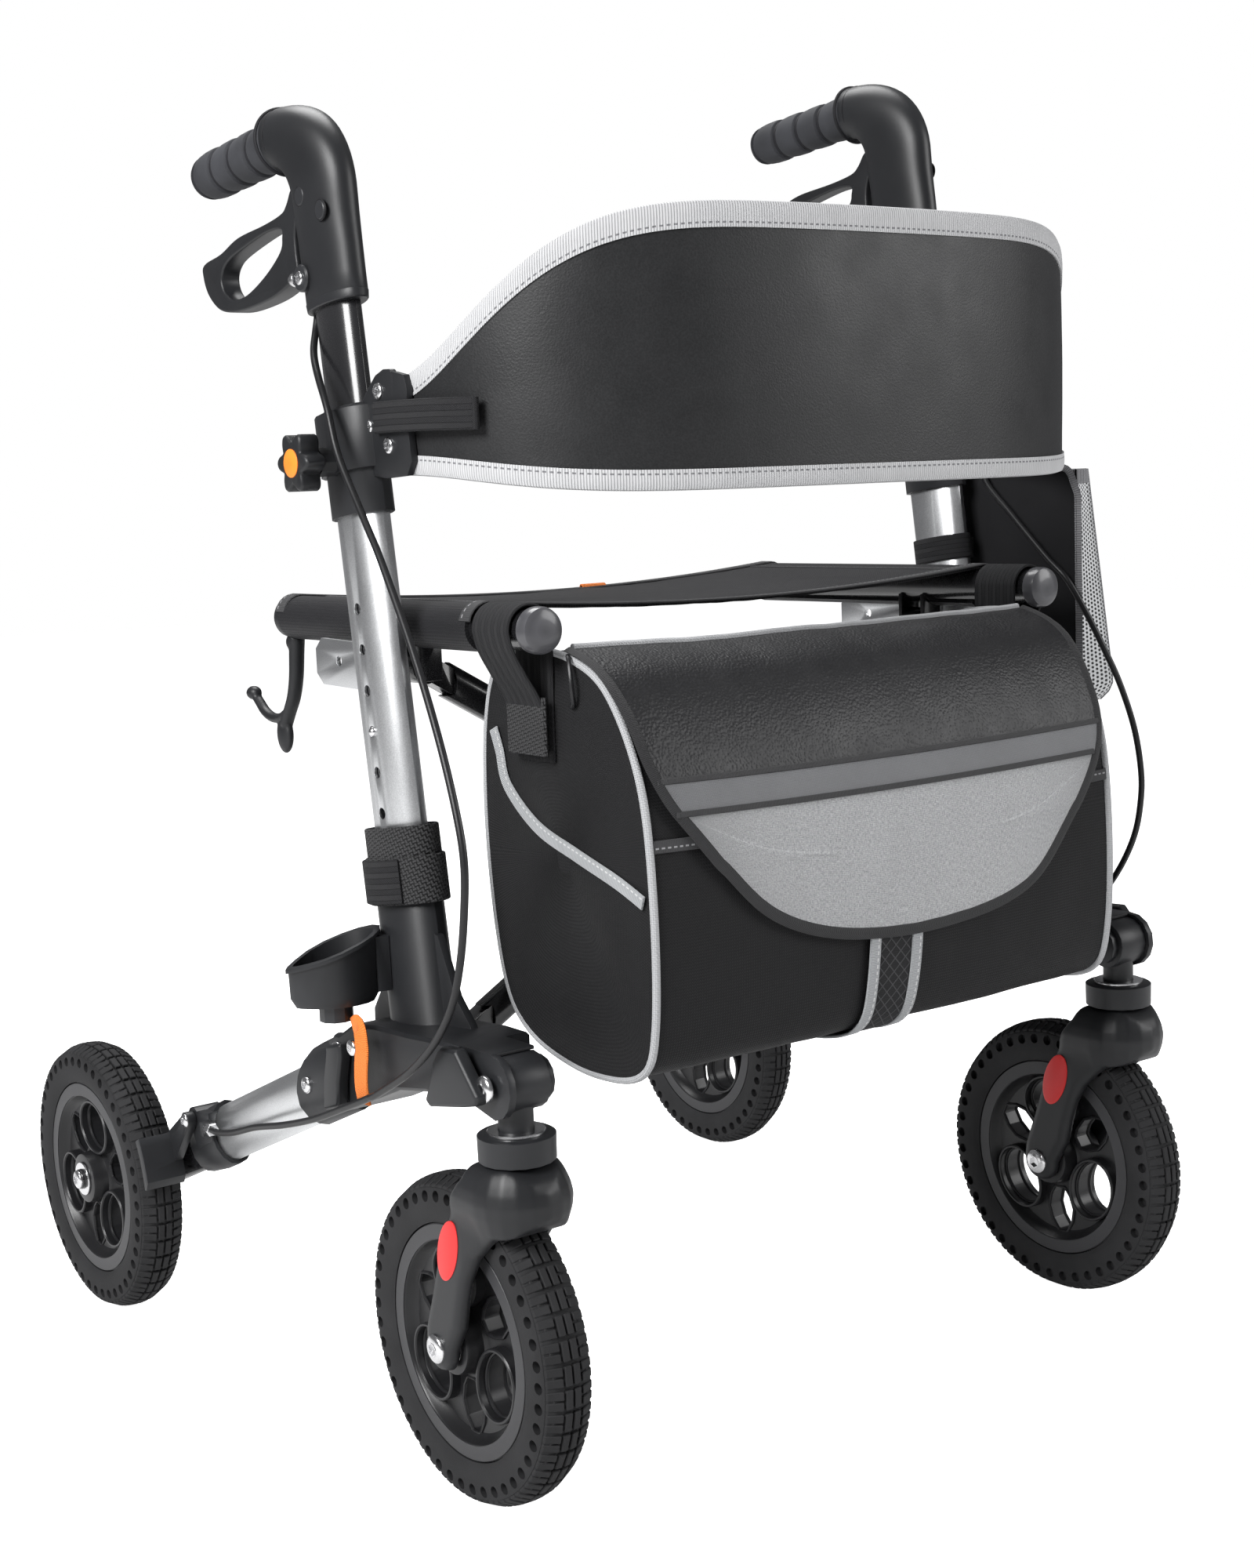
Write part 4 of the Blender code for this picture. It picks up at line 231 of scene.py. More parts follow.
def clothLook(name, dark, light, pitch, turn=0.0, depth=0.00025, roughness=0.85, streak=0.0):
    look = Look(name, dark, roughness, Sheen_Weight=0.03, Sheen_Roughness=0.4, Specular_IOR_Level=0.14)
    u, v, w = look.axes(look.space("UV", turn))
    across = (u * (math.pi / pitch)).math("SINE").math("ABSOLUTE")
    along = (v * (math.pi / pitch)).math("SINE").math("ABSOLUTE")
    over = ((u / pitch).math("FLOOR") + (v / pitch).math("FLOOR")).math("MODULO", 2.0).math("ABSOLUTE")
    height = over * across + (1.0 - over) * along
    cloud = look.noise(26, 5)
    shadeOf = look.mix(height * 0.75 + cloud * 0.25, dark, light)
    if streak:
        fibre = look.noise(1.0, 4, look.space("UV", turn, (420, 1900, 1)))
        other = look.noise(1.0, 4, look.space("UV", turn, (1700, 380, 1)))
        amount = (fibre * 0.5 + other * 0.5).steps(0.40, 0.60) * streak
        shadeOf = look.mix(amount, shadeOf, shade(dark, 0.45))
    look.put(Base_Color=shadeOf, Roughness=roughness - height * 0.10)
    return look.bump(height + cloud * 0.4, depth)


def webbingLook(name, dark, light, rib=0.0016, column=0.0045):
    look = Look(name, dark, 0.75, Sheen_Weight=0.02, Sheen_Roughness=0.4, Specular_IOR_Level=0.22)
    u, v, w = look.axes(look.space("UV"))
    way = (v / column).odd() * 2.0 - 1.0
    height = ((u + v * way) / rib).arch()
    groove = (v / column).arch().steps(0.0, 0.35)
    look.put(Base_Color=look.mix(height * groove, dark, light))
    return look.bump(height * groove, 0.0004)


def ribbonLook(name, dark, light, rib=0.0013, stitch=None):
    # A ribbed tape with a row of stitches along its middle
    look = Look(name, light, 0.75, Sheen_Weight=0.04, Sheen_Roughness=0.4)
    u, v, w = look.axes(look.space("UV"))
    height = (u / rib).arch()
    grime = look.noise(60, 4)
    color = look.mix(height * 0.7 + grime * 0.3, dark, light)
    if stitch:
        dash = ((u / 0.0042).math("FRACT") > 0.45) * ((v - stitch[0]).math("ABSOLUTE") < 0.0005)
        color = look.mix(dash, color, stitch[1])
        height = height - dash * 0.8
    look.put(Base_Color=color)
    return look.bump(height, 0.0003)


def diamondLook(name, dark, light, pitch=0.0085):
    # Raised crossing lines over a fine ground
    look = Look(name, dark, 0.75, Sheen_Weight=0.02, Sheen_Roughness=0.4, Specular_IOR_Level=0.22)
    u, v, w = look.axes(look.space("UV"))
    lines = []
    for way in (1.0, -1.0):
        lines.append((((u + v * way) / pitch).math("FRACT") - 0.5).math("ABSOLUTE").steps(0.10, 0.04))
    line = lines[0].math("MAXIMUM", lines[1])
    rib = (u / 0.0009).arch()
    look.put(Base_Color=look.mix(line * 0.85 + rib * 0.15, dark, light))
    return look.bump(line + rib * 0.2, 0.0006)


def leatherLook(name, color, scale=620, relief=1.0):
    look = Look(name, color, 0.45, Specular_IOR_Level=0.30)
    cell = look.node("TexVoronoi", 0, {"feature": "SMOOTH_F1"}, Vector=look.space(), Scale=scale)
    cloud = look.noise(34, 5)
    crease = look.noise(9, 6)
    grime = cell.steps(0.1, 0.7) * 0.6 + cloud * 0.4
    look.put(Base_Color=look.mix(grime, shade(color, 0.7), shade(color, 1.5)),
             Roughness=0.34 + cloud * 0.22)
    return look.bump(cell * -0.6 + crease * 1.2 + cloud * 0.5, 0.0006 * relief)


def netLook(name, color, hole, pitch, reach=0.30):
    # An open net: a grid of round holes over a dark cloth
    look = Look(name, color, 0.45, 0.35)
    u, v, w = look.axes(look.space("UV"))
    row = (v / pitch).odd() * 0.5
    x = (u / pitch + row).math("FRACT") - 0.5
    y = (v / pitch).math("FRACT") - 0.5
    gap = (x * x + y * y).math("SQRT").steps(reach + 0.06, reach - 0.06)
    sheen = look.noise(40, 3)
    look.put(Base_Color=look.mix(gap, look.mix(sheen, shade(color, 0.8), color), hole),
             Roughness=0.4 + gap * 0.45, Metallic=0.4 - gap * 0.4)
    return look.bump(1.0 - gap, 0.0006)


looks = {
    "silver": metalLook("brushedSilver", (0.74, 0.75, 0.76), 0.36, 0.00003),
    "steel": metalLook("boltSteel", (0.78, 0.78, 0.79), 0.22, 0.00001),
    "blackTube": plasticLook("blackCoat", (0.011, 0.011, 0.012), 0.26, 0.00002, 0.5),
    "gloss": plasticLook("glossBlack", (0.010, 0.010, 0.011), 0.15, 0.00001, 0.7),
    "plastic": plasticLook("mouldedBlack", (0.013, 0.0135, 0.015), 0.42, 0.00004),
    "shell": plasticLook("handleBlack", (0.014, 0.0145, 0.016), 0.40, 0.00003),
    "rim": plasticLook("rimBlack", (0.011, 0.011, 0.012), 0.34, 0.00003),
    "rimRing": plasticLook("rimRingGrey", (0.024, 0.024, 0.026), 0.42, 0.00004),
    "dark": plasticLook("deepBlack", (0.005, 0.005, 0.006), 0.60, 0.00003),
    "orange": plasticLook("orangePlastic", (0.90, 0.17, 0.02), 0.40, 0.00002),
    "red": plasticLook("redPlastic", (0.62, 0.02, 0.02), 0.35, 0.00002),
    "cable": plasticLook("cableSleeve", (0.010, 0.010, 0.011), 0.38, 0.00003),
    "tyre": rubberLook("tyreRubber", (0.016, 0.016, 0.017)),
    "grip": rubberLook("gripRubber", (0.030, 0.031, 0.035)),
    "gripDark": rubberLook("gripRubberDark", (0.010, 0.010, 0.012)),
    "bag": clothLook("bagTwill", (0.004, 0.004, 0.0045), (0.016, 0.016, 0.017), 0.0013, math.pi / 4, 0.0002, 0.7),
    "seat": clothLook("seatWeave", (0.006, 0.006, 0.007), (0.022, 0.022, 0.024), 0.0014, math.pi / 4, 0.0002, 0.6),
    "heather": clothLook("heatherGrey", (0.36, 0.365, 0.375), (0.56, 0.565, 0.575), 0.0012, 0.0, 0.0003, 0.9, 0.60),
    "greyBand": clothLook("greyBand", (0.12, 0.122, 0.128), (0.21, 0.213, 0.22), 0.0009, 0.0, 0.0002, 0.6),
    "piping": clothLook("lightPiping", (0.27, 0.275, 0.285), (0.46, 0.465, 0.475), 0.0013, 0.0, 0.0002, 0.8),
    "edge": ribbonLook("darkBinding", (0.005, 0.005, 0.006), (0.016, 0.016, 0.0175), 0.0010),
    "webbing": webbingLook("blackWebbing", (0.004, 0.004, 0.005), (0.026, 0.026, 0.028), 0.0011, 0.0034),
    "hooks": clothLook("hookAndLoop", (0.004, 0.004, 0.004), (0.060, 0.060, 0.062), 0.0022, 0.3, 0.0009, 0.95),
    "leather": leatherLook("grainedLeather", (0.011, 0.011, 0.012)),
    "band": leatherLook("bandLeather", (0.014, 0.0142, 0.015), 900, 0.25),
    "net": netLook("silverNet", (0.62, 0.63, 0.64), (0.02, 0.02, 0.02), 0.0030),
    "tape": ribbonLook("paleBandTape", (0.26, 0.262, 0.27), (0.56, 0.562, 0.57), 0.0017, (0.0026, (0.16, 0.16, 0.17))),
    "paleTape": ribbonLook("paleTape", (0.22, 0.23, 0.24), (0.42, 0.43, 0.44), 0.0010, (0.0018, (0.60, 0.60, 0.60))),
    "ribbedGrey": ribbonLook("ribbedGrey", (0.06, 0.06, 0.065), (0.26, 0.26, 0.27), 0.0016),
    "edgeStitch": ribbonLook("stitchedHem", (0.012, 0.012, 0.013), (0.045, 0.045, 0.048), 0.0008,
                             (0.0024, (0.30, 0.30, 0.31))),
    "edgeStitchDark": ribbonLook("stripeEdge", (0.010, 0.010, 0.011), (0.035, 0.035, 0.037), 0.0008),
    "orangeTape": ribbonLook("orangeTape", (0.60, 0.12, 0.01), (0.90, 0.24, 0.03), 0.0010),
    "diamond": diamondLook("diamondWeave", (0.008, 0.008, 0.009), (0.055, 0.055, 0.058)),
    "pouchCloth": clothLook("pouchCloth", (0.010, 0.010, 0.011), (0.032, 0.032, 0.034), 0.0012),
    "cap": plasticLook("railCapGrey", (0.055, 0.055, 0.060), 0.32, 0.00002, 0.3),
}
print("looks", len(looks))


# Mesh helpers

def wakeOnly(obj):
    bpy.ops.object.select_all(action="DESELECT")
    obj.select_set(True)
    bpy.context.view_layer.objects.active = obj


def bake(obj, kind, **settings):
    # Run one modifier and keep its mesh
    step = obj.modifiers.new(kind.lower(), kind)
    for key, value in settings.items():
        setattr(step, key, value)
    graph = bpy.context.evaluated_depsgraph_get()
    mesh = bpy.data.meshes.new_from_object(obj.evaluated_get(graph), preserve_all_data_layers=True,
                                           depsgraph=graph)
    obj.modifiers.clear()
    old = obj.data
    obj.data = mesh
    bpy.data.meshes.remove(old)
    return obj


def carve(obj, *tools, operation="DIFFERENCE"):
    for tool in tools:
        bake(obj, "BOOLEAN", operation=operation, solver="EXACT", object=tool)
        bpy.data.objects.remove(tool, do_unlink=True)
    return obj


def smooth(obj, angle=35):
    wakeOnly(obj)
    bpy.ops.object.shade_smooth_by_angle(angle=math.radians(angle))
    return obj


def bevel(obj, width, segments=2, angle=32):
    return bake(obj, "BEVEL", width=width, segments=segments, limit_method="ANGLE",
                angle_limit=math.radians(angle), use_clamp_overlap=True, harden_normals=False)


def finish(obj, body, look, replaced=(), angle=35, moved=True):
    # Put a finished piece at the origin, with its body and its look
    if moved:
        wakeOnly(obj)
        bpy.ops.object.transform_apply(location=True, rotation=True, scale=True)
        obj.data.transform(Matrix.Translation((0, shiftY, 0)))
    smooth(obj, angle)
    if look:
        obj.data.materials.clear()
        obj.data.materials.append(looks[look].material)
    if body:
        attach(obj, body)
    if replaced:
        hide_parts(*replaced)
    return obj


def fromPoints(name, verts, faces, maps=None):
    mesh = bpy.data.meshes.new(name)
    mesh.from_pydata([tuple(v) for v in verts], [], faces)
    obj = bpy.data.objects.new(name, mesh)
    bpy.context.scene.collection.objects.link(obj)
    if maps:
        layer = mesh.uv_layers.new(name="weave")
        for face, corners in zip(mesh.polygons, maps):
            for loop, corner in zip(face.loop_indices, corners):
                layer.data[loop].uv = corner
    shell = bmesh.new()
    shell.from_mesh(mesh)
    bmesh.ops.recalc_face_normals(shell, faces=shell.faces)
    shell.to_mesh(mesh)
    shell.free()
    return obj


def loft(name, rings, closed=False, caps=True, strip=False):
    # Skin rings of points, with a map in metres: along the rings and around them
    count = len(rings[0])
    verts = [p for ring in rings for p in ring]
    spans = len(rings) if closed else len(rings) - 1
    around = count - 1 if strip else count
    faces = []
    maps = []
    along = 0.0
    middle = rings[len(rings) // 2]
    turnAt = [0.0]
    for j in range(count):
        turnAt.append(turnAt[-1] + (Vector(middle[(j + 1) % count]) - Vector(middle[j])).length)
    for i in range(spans):
        a = i * count
        b = ((i + 1) % len(rings)) * count
        step = sum((Vector(rings[(i + 1) % len(rings)][j]) - Vector(rings[i][j])).length
                   for j in range(0, count, 4)) / len(range(0, count, 4))
        for j in range(around):
            k = (j + 1) % count
            faces.append((a + j, a + k, b + k, b + j))
            maps.append(((along, turnAt[j]), (along, turnAt[j + 1]),
                         (along + step, turnAt[j + 1]), (along + step, turnAt[j])))
        along += step
    if not closed and caps and not strip:
        for start, order in ((0, range(count - 1, -1, -1)), ((len(rings) - 1) * count, range(count))):
            faces.append(tuple(start + j for j in order))
            maps.append([(verts[start + j][1], verts[start + j][2]) for j in order])
    return fromPoints(name, verts, faces, maps)


def ovalRing(center, u, v, a, b, count, squareness=2.0):
    power = 2.0 / squareness
    ring = []
    for i in range(count):
        angle = 2 * math.pi * i / count
        c, s = math.cos(angle), math.sin(angle)
        ring.append(Vector(center) + Vector(u) * math.copysign(abs(c) ** power, c) * a
                    + Vector(v) * math.copysign(abs(s) ** power, s) * b)
    return ring


def turned(name, profile, start, axis, count=40, closed=False):
    # A body of revolution: pairs of distance along the axis and radius
    axis = Vector(axis).normalized()
    helper = Vector((0, 0, 1)) if abs(axis.z) < 0.9 else Vector((1, 0, 0))
    u = axis.cross(helper).normalized()
    v = axis.cross(u)
    rings = [ovalRing(Vector(start) + axis * d, u, v, r, r, count) for d, r in profile]
    return loft(name, rings, closed)


def fillet(points, radius, steps=4):
    # Round each corner of a closed outline
    points = [Vector(p) for p in points]
    made = []
    for i, corner in enumerate(points):
        toward = points[i - 1] - corner
        onward = points[(i + 1) % len(points)] - corner
        bend = toward.angle(onward, math.pi)
        if bend > 3.05:
            made.append(corner)
            continue
        reach = min(radius / math.tan(bend / 2), toward.length * 0.48, onward.length * 0.48)
        a = corner + toward.normalized() * reach
        b = corner + onward.normalized() * reach
        for k in range(steps + 1):
            t = k / steps
            made.append(a * (1 - t) ** 2 + corner * (2 * t * (1 - t)) + b * t * t)
    return made


def flow(points, steps=5, closed=False):
    # A smooth curve through the points
    points = [Vector(p) for p in points]
    count = len(points)
    spans = count if closed else count - 1
    made = []
    for i in range(spans):
        pick = (lambda k: points[k % count]) if closed else (lambda k: points[min(max(k, 0), count - 1)])
        before, start, end, after = pick(i - 1), pick(i), pick(i + 1), pick(i + 2)
        for k in range(steps):
            t = k / steps
            made.append(start * (1 - t) ** 2 * (1 + 2 * t) + end * t * t * (3 - 2 * t)
                        + (end - before) * (0.5 * t * (1 - t) ** 2) - (after - start) * (0.5 * t * t * (1 - t)))
    if not closed:
        made.append(points[-1])
    return made


def prism(name, outline, near, far):
    # Extrude an outline of (y, z) points across the walker
    count = len(outline)
    verts = [(near, p[0], p[1]) for p in outline] + [(far, p[0], p[1]) for p in outline]
    faces = [tuple(range(count)), tuple(range(2 * count - 1, count - 1, -1))]
    faces += [(i, (i + 1) % count, count + (i + 1) % count, count + i) for i in range(count)]
    return fromPoints(name, verts, faces)


def block(name, low, high):
    size = Vector(high) - Vector(low)
    middle = (Vector(high) + Vector(low)) / 2
    bpy.ops.mesh.primitive_cube_add(size=1, location=middle)
    obj = bpy.context.object
    obj.name = name
    obj.scale = [abs(s) for s in size]
    bpy.ops.object.transform_apply(location=True, rotation=True, scale=True)
    return obj


def pin(name, start, end, radius, count=32):
    # A round bar between two points
    start, end = Vector(start), Vector(end)
    way = end - start
    bpy.ops.mesh.primitive_cylinder_add(vertices=count, radius=radius, depth=way.length,
                                        location=(start + end) / 2, rotation=way.to_track_quat("Z", "Y").to_euler())
    obj = bpy.context.object
    obj.name = name
    bpy.ops.object.transform_apply(location=True, rotation=True, scale=True)
    return obj


def merge(name, parts):
    bpy.ops.object.select_all(action="DESELECT")
    for part in parts:
        part.select_set(True)
    bpy.context.view_layer.objects.active = parts[0]
    if len(parts) > 1:
        bpy.ops.object.join()
    parts[0].name = name
    return parts[0]


def wire(points, radius, count=10, closed=False, name="wire"):
    # A round cord along a path
    points = [Vector(p) for p in points]
    rings = []
    up = Vector((0, 0, 1))
    side = None
    for i, p in enumerate(points):
        before = points[i - 1] if i or closed else p
        after = points[(i + 1) % len(points)] if i + 1 < len(points) or closed else p
        way = (after - before).normalized()
        if side is None:
            side = way.cross(up if abs(way.z) < 0.9 else Vector((1, 0, 0))).normalized()
        side = (side - way * side.dot(way)).normalized()
        rings.append(ovalRing(p, side, way.cross(side), radius, radius, count))
    return loft(name, rings, closed)


def ribbon(name, points, normals, width, thickness, closed=False, rows=4, edge=0.35):
    # A flat strap along a path, facing along the normals
    points = [Vector(p) for p in points]
    rings = []
    for i, p in enumerate(points):
        before = points[i - 1] if i or closed else p
        after = points[(i + 1) % len(points)] if i + 1 < len(points) or closed else p
        way = (after - before).normalized()
        normal = Vector(normals[i])
        normal = (normal - way * normal.dot(way)).normalized()
        across = way.cross(normal)
        half = (width[i] if isinstance(width, (list, tuple)) else width) / 2
        inner = half - thickness * edge
        ring = []
        for k in range(rows + 1):
            t = -1 + 2 * k / rows
            ring.append(p + across * inner * t + normal * (thickness / 2))
        ring.append(p + across * half)
        for k in range(rows + 1):
            t = 1 - 2 * k / rows
            ring.append(p + across * inner * t - normal * (thickness / 2))
        ring.append(p - across * half)
        rings.append(ring)
    return loft(name, rings, closed)


def onSide(side, points):
    # Points given for the left side, put on the side asked for
    return [(side * x, y, z) for x, y, z in points]


def awayFrom(center, points):
    return [(p - center).normalized() for p in points]


def runs(path):
    # Which way a path runs at each of its points
    last = len(path) - 1
    return [path[min(i + 1, last)] - path[max(i - 1, 0)] for i in range(len(path))]


def twin(obj, name, shift):
    made = bpy.data.objects.new(name, obj.data.copy())
    bpy.context.scene.collection.objects.link(made)
    made.data.transform(Matrix.Translation(shift))
    return made


def carry(node, name, look, slotName, width):
    # A CAD node's own mesh as a new piece, with its edges eased
    obj = bpy.data.objects.new(name, nodes[node].data.copy())
    bpy.context.scene.collection.objects.link(obj)
    shell = bmesh.new()
    shell.from_mesh(obj.data)
    bmesh.ops.remove_doubles(shell, verts=shell.verts, dist=2e-6)
    bmesh.ops.dissolve_limit(shell, angle_limit=math.radians(0.6), verts=shell.verts, edges=shell.edges)
    bmesh.ops.recalc_face_normals(shell, faces=shell.faces)
    shell.to_mesh(obj.data)
    shell.free()
    if width:
        bevel(obj, width)
    return finish(obj, nodes[node]["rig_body"], look, (node,), angle=40, moved=False)


# Frame tubes, fittings and latches keep the part's own shapes

lean = math.radians(7.6)
uprightAxis = Vector((0, math.sin(lean), math.cos(lean)))
uprightAcross = Vector((0, math.cos(lean), -math.sin(lean)))
uprightOut = 0.2435
railOut, railZ = 0.209, 0.519
outward = Vector((1, 0, 0))
upward = Vector((0, 0, 1))
raised = {"right": Vector((0, 0, 0)), "left": uprightAxis * 0.05}
caster = {"out": 0.257, "stemY": -0.2715, "pivotZ": 0.2665, "axleY": -0.219, "axleZ": 0.1}


def uprightAt(side, z):
    return Vector((side * uprightOut, -0.154 + (z - 0.28) * math.tan(lean), z))


# The crown's girth at each height, against the part's own
crownGirth = [(0.15, 0.88), (0.18, 0.9), (0.187, 0.98), (0.194, 1.055), (0.201, 1.08), (0.208, 1.03), (0.2145, 0.93),
              (0.219, 0.83), (0.223, 0.72)]
crownSpec = {"bladesEnd": 0.18, "bladeTips": 0.14, "ahead": 0.02, "ease": 0.016, "voxel": 0.0012, "rounds": 12}


def domeCrown(fork, side):
    # The part's crown is straight-sided: this rounds it over the top and in again under its widest place
    axis = Vector((side * caster["out"], caster["stemY"] + shiftY))
    for v in fork.data.vertices:
        z = min(max(v.co.z, crownGirth[0][0]), crownGirth[-1][0])
        for (z0, g0), (z1, g1) in zip(crownGirth, crownGirth[1:]):
            if z0 <= z <= z1:
                girth = g0 + (g1 - g0) * (z - z0) / (z1 - z0)
        ahead = min(1.0, max(0.0, (axis.y + crownSpec["ahead"] - v.co.y) / crownSpec["ease"]))
        high = min(1.0, max(0.0, (v.co.z - crownSpec["bladesEnd"]) / crownSpec["ease"]))
        share = max(ahead if v.co.z > crownSpec["bladeTips"] else 0.0, high)
        girth = 1 + (girth - 1) * share
        v.co.x = axis.x + (v.co.x - axis.x) * girth
        v.co.y = axis.y + (v.co.y - axis.y) * girth


def pieceName(node):
    first, *rest = node.split("_")
    return first + "".join(word.capitalize() for word in rest)


# Each pair's look, slot and the width of its eased edges
carried = {"upright_tube": ("silver", "silver_tube", 0.0003),
           "tube_collar": ("plastic", "black_plastic", 0.0007),
           "backrest_bracket": ("plastic", "black_plastic", 0.0006),
           "height_tube": ("blackTube", "black_tube", 0.0003),
           "height_button": ("steel", "steel", 0.0004),
           "corner_housing": ("plastic", "black_plastic", 0.0008),
           "front_stem": ("plastic", "black_plastic", 0.0008),
           "caster_fork": ("plastic", "black_plastic", 0),
           "leg_fitting": ("plastic", "black_plastic", 0.0008),
           "leg_tube": ("silver", "silver_tube", 0.0003),
           "leg_inner_tube": ("gloss", "black_tube", 0.0004),
           "brake_housing": ("plastic", "black_plastic", 0.0007),
           "brake_shoe": ("plastic", "black_plastic", 0.0008),
           "rear_latch": ("plastic", "black_plastic", 0.0008),
           "front_latch": ("plastic", "black_plastic", 0.0008),
           "seat_rail": ("blackTube", "black_tube", 0.0004)}
for word, side in sides.items():
    for node, settings in carried.items():
        name = "buttonShaft" if node == "height_button" else pieceName(node)
        made = carry(node + "_" + word, name + "_" + word, *settings)
        if node == "caster_fork":
            bake(made, "REMESH", mode="VOXEL", voxel_size=crownSpec["voxel"], use_smooth_shade=True)
            domeCrown(made, side)
            bake(made, "SMOOTH", factor=0.5, iterations=crownSpec["rounds"])
            smooth(made, 60)
for node in ("front_brace", "rear_brace"):
    carry(node, pieceName(node), "blackTube", "black_tube", 0.0005)


# The cane hook: a slim stem with an arm that curls up to a ball, and an oval tab under it

hookSpec = {"stem": ((0.0462, 0.506), (0.048, 0.494), (0.0505, 0.478), (0.0555, 0.464), (0.063, 0.453), (0.069, 0.444)),
            "arm": ((0.062, 0.454), (0.074, 0.4485), (0.087, 0.4475), (0.0985, 0.451), (0.1065, 0.457), (0.113, 0.462)),
            "stemRadius": (0.0058, 0.0048), "armRadius": (0.0046, 0.0036), "flat": 0.82,
            "ball": ((0.115, 0.4635), (0.0052, 0.0068, 0.005)),
            "tab": ((0.0715, 0.437), (0.0045, 0.009, 0.0135)),
            "root": ((0.049, 0.502), (0.0066, 0.006, 0.007)),
            "voxel": 0.0009, "rounds": 8}


def caneHook():
    parts = []
    for name in ("stem", "arm"):
        thick, thin = hookSpec[name + "Radius"]
        path = flow([(-railOut, y, z) for y, z in hookSpec[name]], 5)
        rings = []
        for i, (at, run) in enumerate(zip(path, runs(path))):
            radius = thick + (thin - thick) * i / (len(path) - 1)
            rings.append(ovalRing(at, outward, run.normalized().cross(outward), radius, radius * hookSpec["flat"], 20))
        parts.append(loft(name, rings))
    for name in ("ball", "tab", "root"):
        at, size = hookSpec[name]
        bpy.ops.mesh.primitive_uv_sphere_add(segments=32, ring_count=20, radius=1, location=(-railOut, *at))
        ball = bpy.context.object
        ball.scale = size
        bpy.ops.object.transform_apply(location=True, rotation=True, scale=True)
        parts.append(ball)
    hook = merge("caneHook", parts)
    bake(hook, "REMESH", mode="VOXEL", voxel_size=hookSpec["voxel"], use_smooth_shade=True)
    bake(hook, "SMOOTH", factor=0.5, iterations=hookSpec["rounds"])
    finish(hook, "right_seat_rail", "plastic", ("cane_hook",), 60)


caneHook()
carry("cane_cup", "caneCup", "plastic", "black_plastic", 0.0006)

# The brake cables: an upper length from each handle down to the leg, and a lower length along the leg
cable = {"radius": 0.00225, "sides": 14}
legRoute = [(0.2905, -0.164, 0.242), (0.2905, -0.154, 0.2377), (0.2905, -0.125, 0.226), (0.29, -0.09, 0.2125),
            (0.288, -0.045, 0.1985), (0.2855, 0.0, 0.1865), (0.2825, 0.04, 0.1735), (0.2802, 0.07, 0.1662),
            (0.28, 0.083, 0.166)]
cableRoutes = {
    "right": [(0.2435, -0.0702, 0.72), (0.244, -0.0706, 0.71), (0.2475, -0.0735, 0.7), (0.254, -0.082, 0.69),
              (0.26, -0.093, 0.681), (0.2655, -0.107, 0.669), (0.269, -0.1213, 0.6515), (0.2715, -0.1358, 0.6234),
              (0.274, -0.1624, 0.5914), (0.278, -0.19, 0.562), (0.284, -0.229, 0.514), (0.29, -0.262, 0.467),
              (0.294, -0.283, 0.428), (0.2955, -0.2911, 0.4009), (0.2955, -0.2886, 0.3725), (0.2945, -0.2803, 0.3427),
              (0.293, -0.2666, 0.3157), (0.292, -0.2453, 0.2914), (0.291, -0.213, 0.2674), (0.2905, -0.174, 0.2463),
              (0.2905, -0.164, 0.242)],
    "left": [(0.2435, -0.0636, 0.7696), (0.244, -0.064, 0.759), (0.2475, -0.067, 0.748), (0.2545, -0.0745, 0.737),
             (0.26, -0.085, 0.721), (0.264, -0.096, 0.702), (0.2665, -0.107, 0.68), (0.268, -0.124, 0.648),
             (0.264, -0.14, 0.617), (0.257, -0.15, 0.593), (0.2555, -0.1765, 0.5682), (0.2545, -0.2108, 0.5373),
             (0.256, -0.2276, 0.5222), (0.263, -0.2392, 0.4985), (0.272, -0.249, 0.4704), (0.282, -0.2544, 0.4448),
             (0.2895, -0.2602, 0.4137), (0.294, -0.2622, 0.3824), (0.2955, -0.2601, 0.3594), (0.2955, -0.2545, 0.3361),
             (0.2945, -0.2425, 0.3119), (0.293, -0.226, 0.29), (0.2915, -0.201, 0.2665), (0.2905, -0.174, 0.2463),
             (0.2905, -0.164, 0.242)]}


def brakeCable(name, word, side, route, steps):
    path = flow(onSide(side, route), steps)
    made = wire(path, cable["radius"], cable["sides"], name=name + "Cable_" + word)
    return finish(made, None, "cable", (name + "_cable_" + word,))


for word, side in sides.items():
    upper = brakeCable("upper", word, side, cableRoutes[word], 8)
    high = uprightAt(side, 0.70) + raised[word] + Vector((0, shiftY, 0))
    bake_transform(upper)
    lower = brakeCable("lower", word, side, legRoute, 12)
    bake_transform(lower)
print("frame pieces")


# Bolts, washers and plugs

def dome(name, at, way, radius, height, socket=0.45):
    # A domed bolt head with a hexagon socket
    steps = 6
    profile = [(0, radius)]
    for k in range(steps + 1):
        angle = math.pi / 2 * k / steps
        profile.append((height * (0.3 + 0.7 * math.sin(angle)), max(radius * math.cos(angle), radius * socket * 1.08)))
    head = turned(name, profile, at, way, 28)
    axis = Vector(way).normalized()
    top = Vector(at) + axis * height
    if socket:
        carve(head, pin("socket", top - axis * height * 0.6, top + axis * height, radius * socket, 6))
    return head


def washer(name, at, way, inner, outer, thick, count=36):
    ease = min(thick, outer - inner) * 0.25
    return turned(name, [(0, inner), (0, outer - ease), (ease, outer), (thick - ease, outer),
                         (thick, outer - ease), (thick, inner)], at, way, count, closed=True)


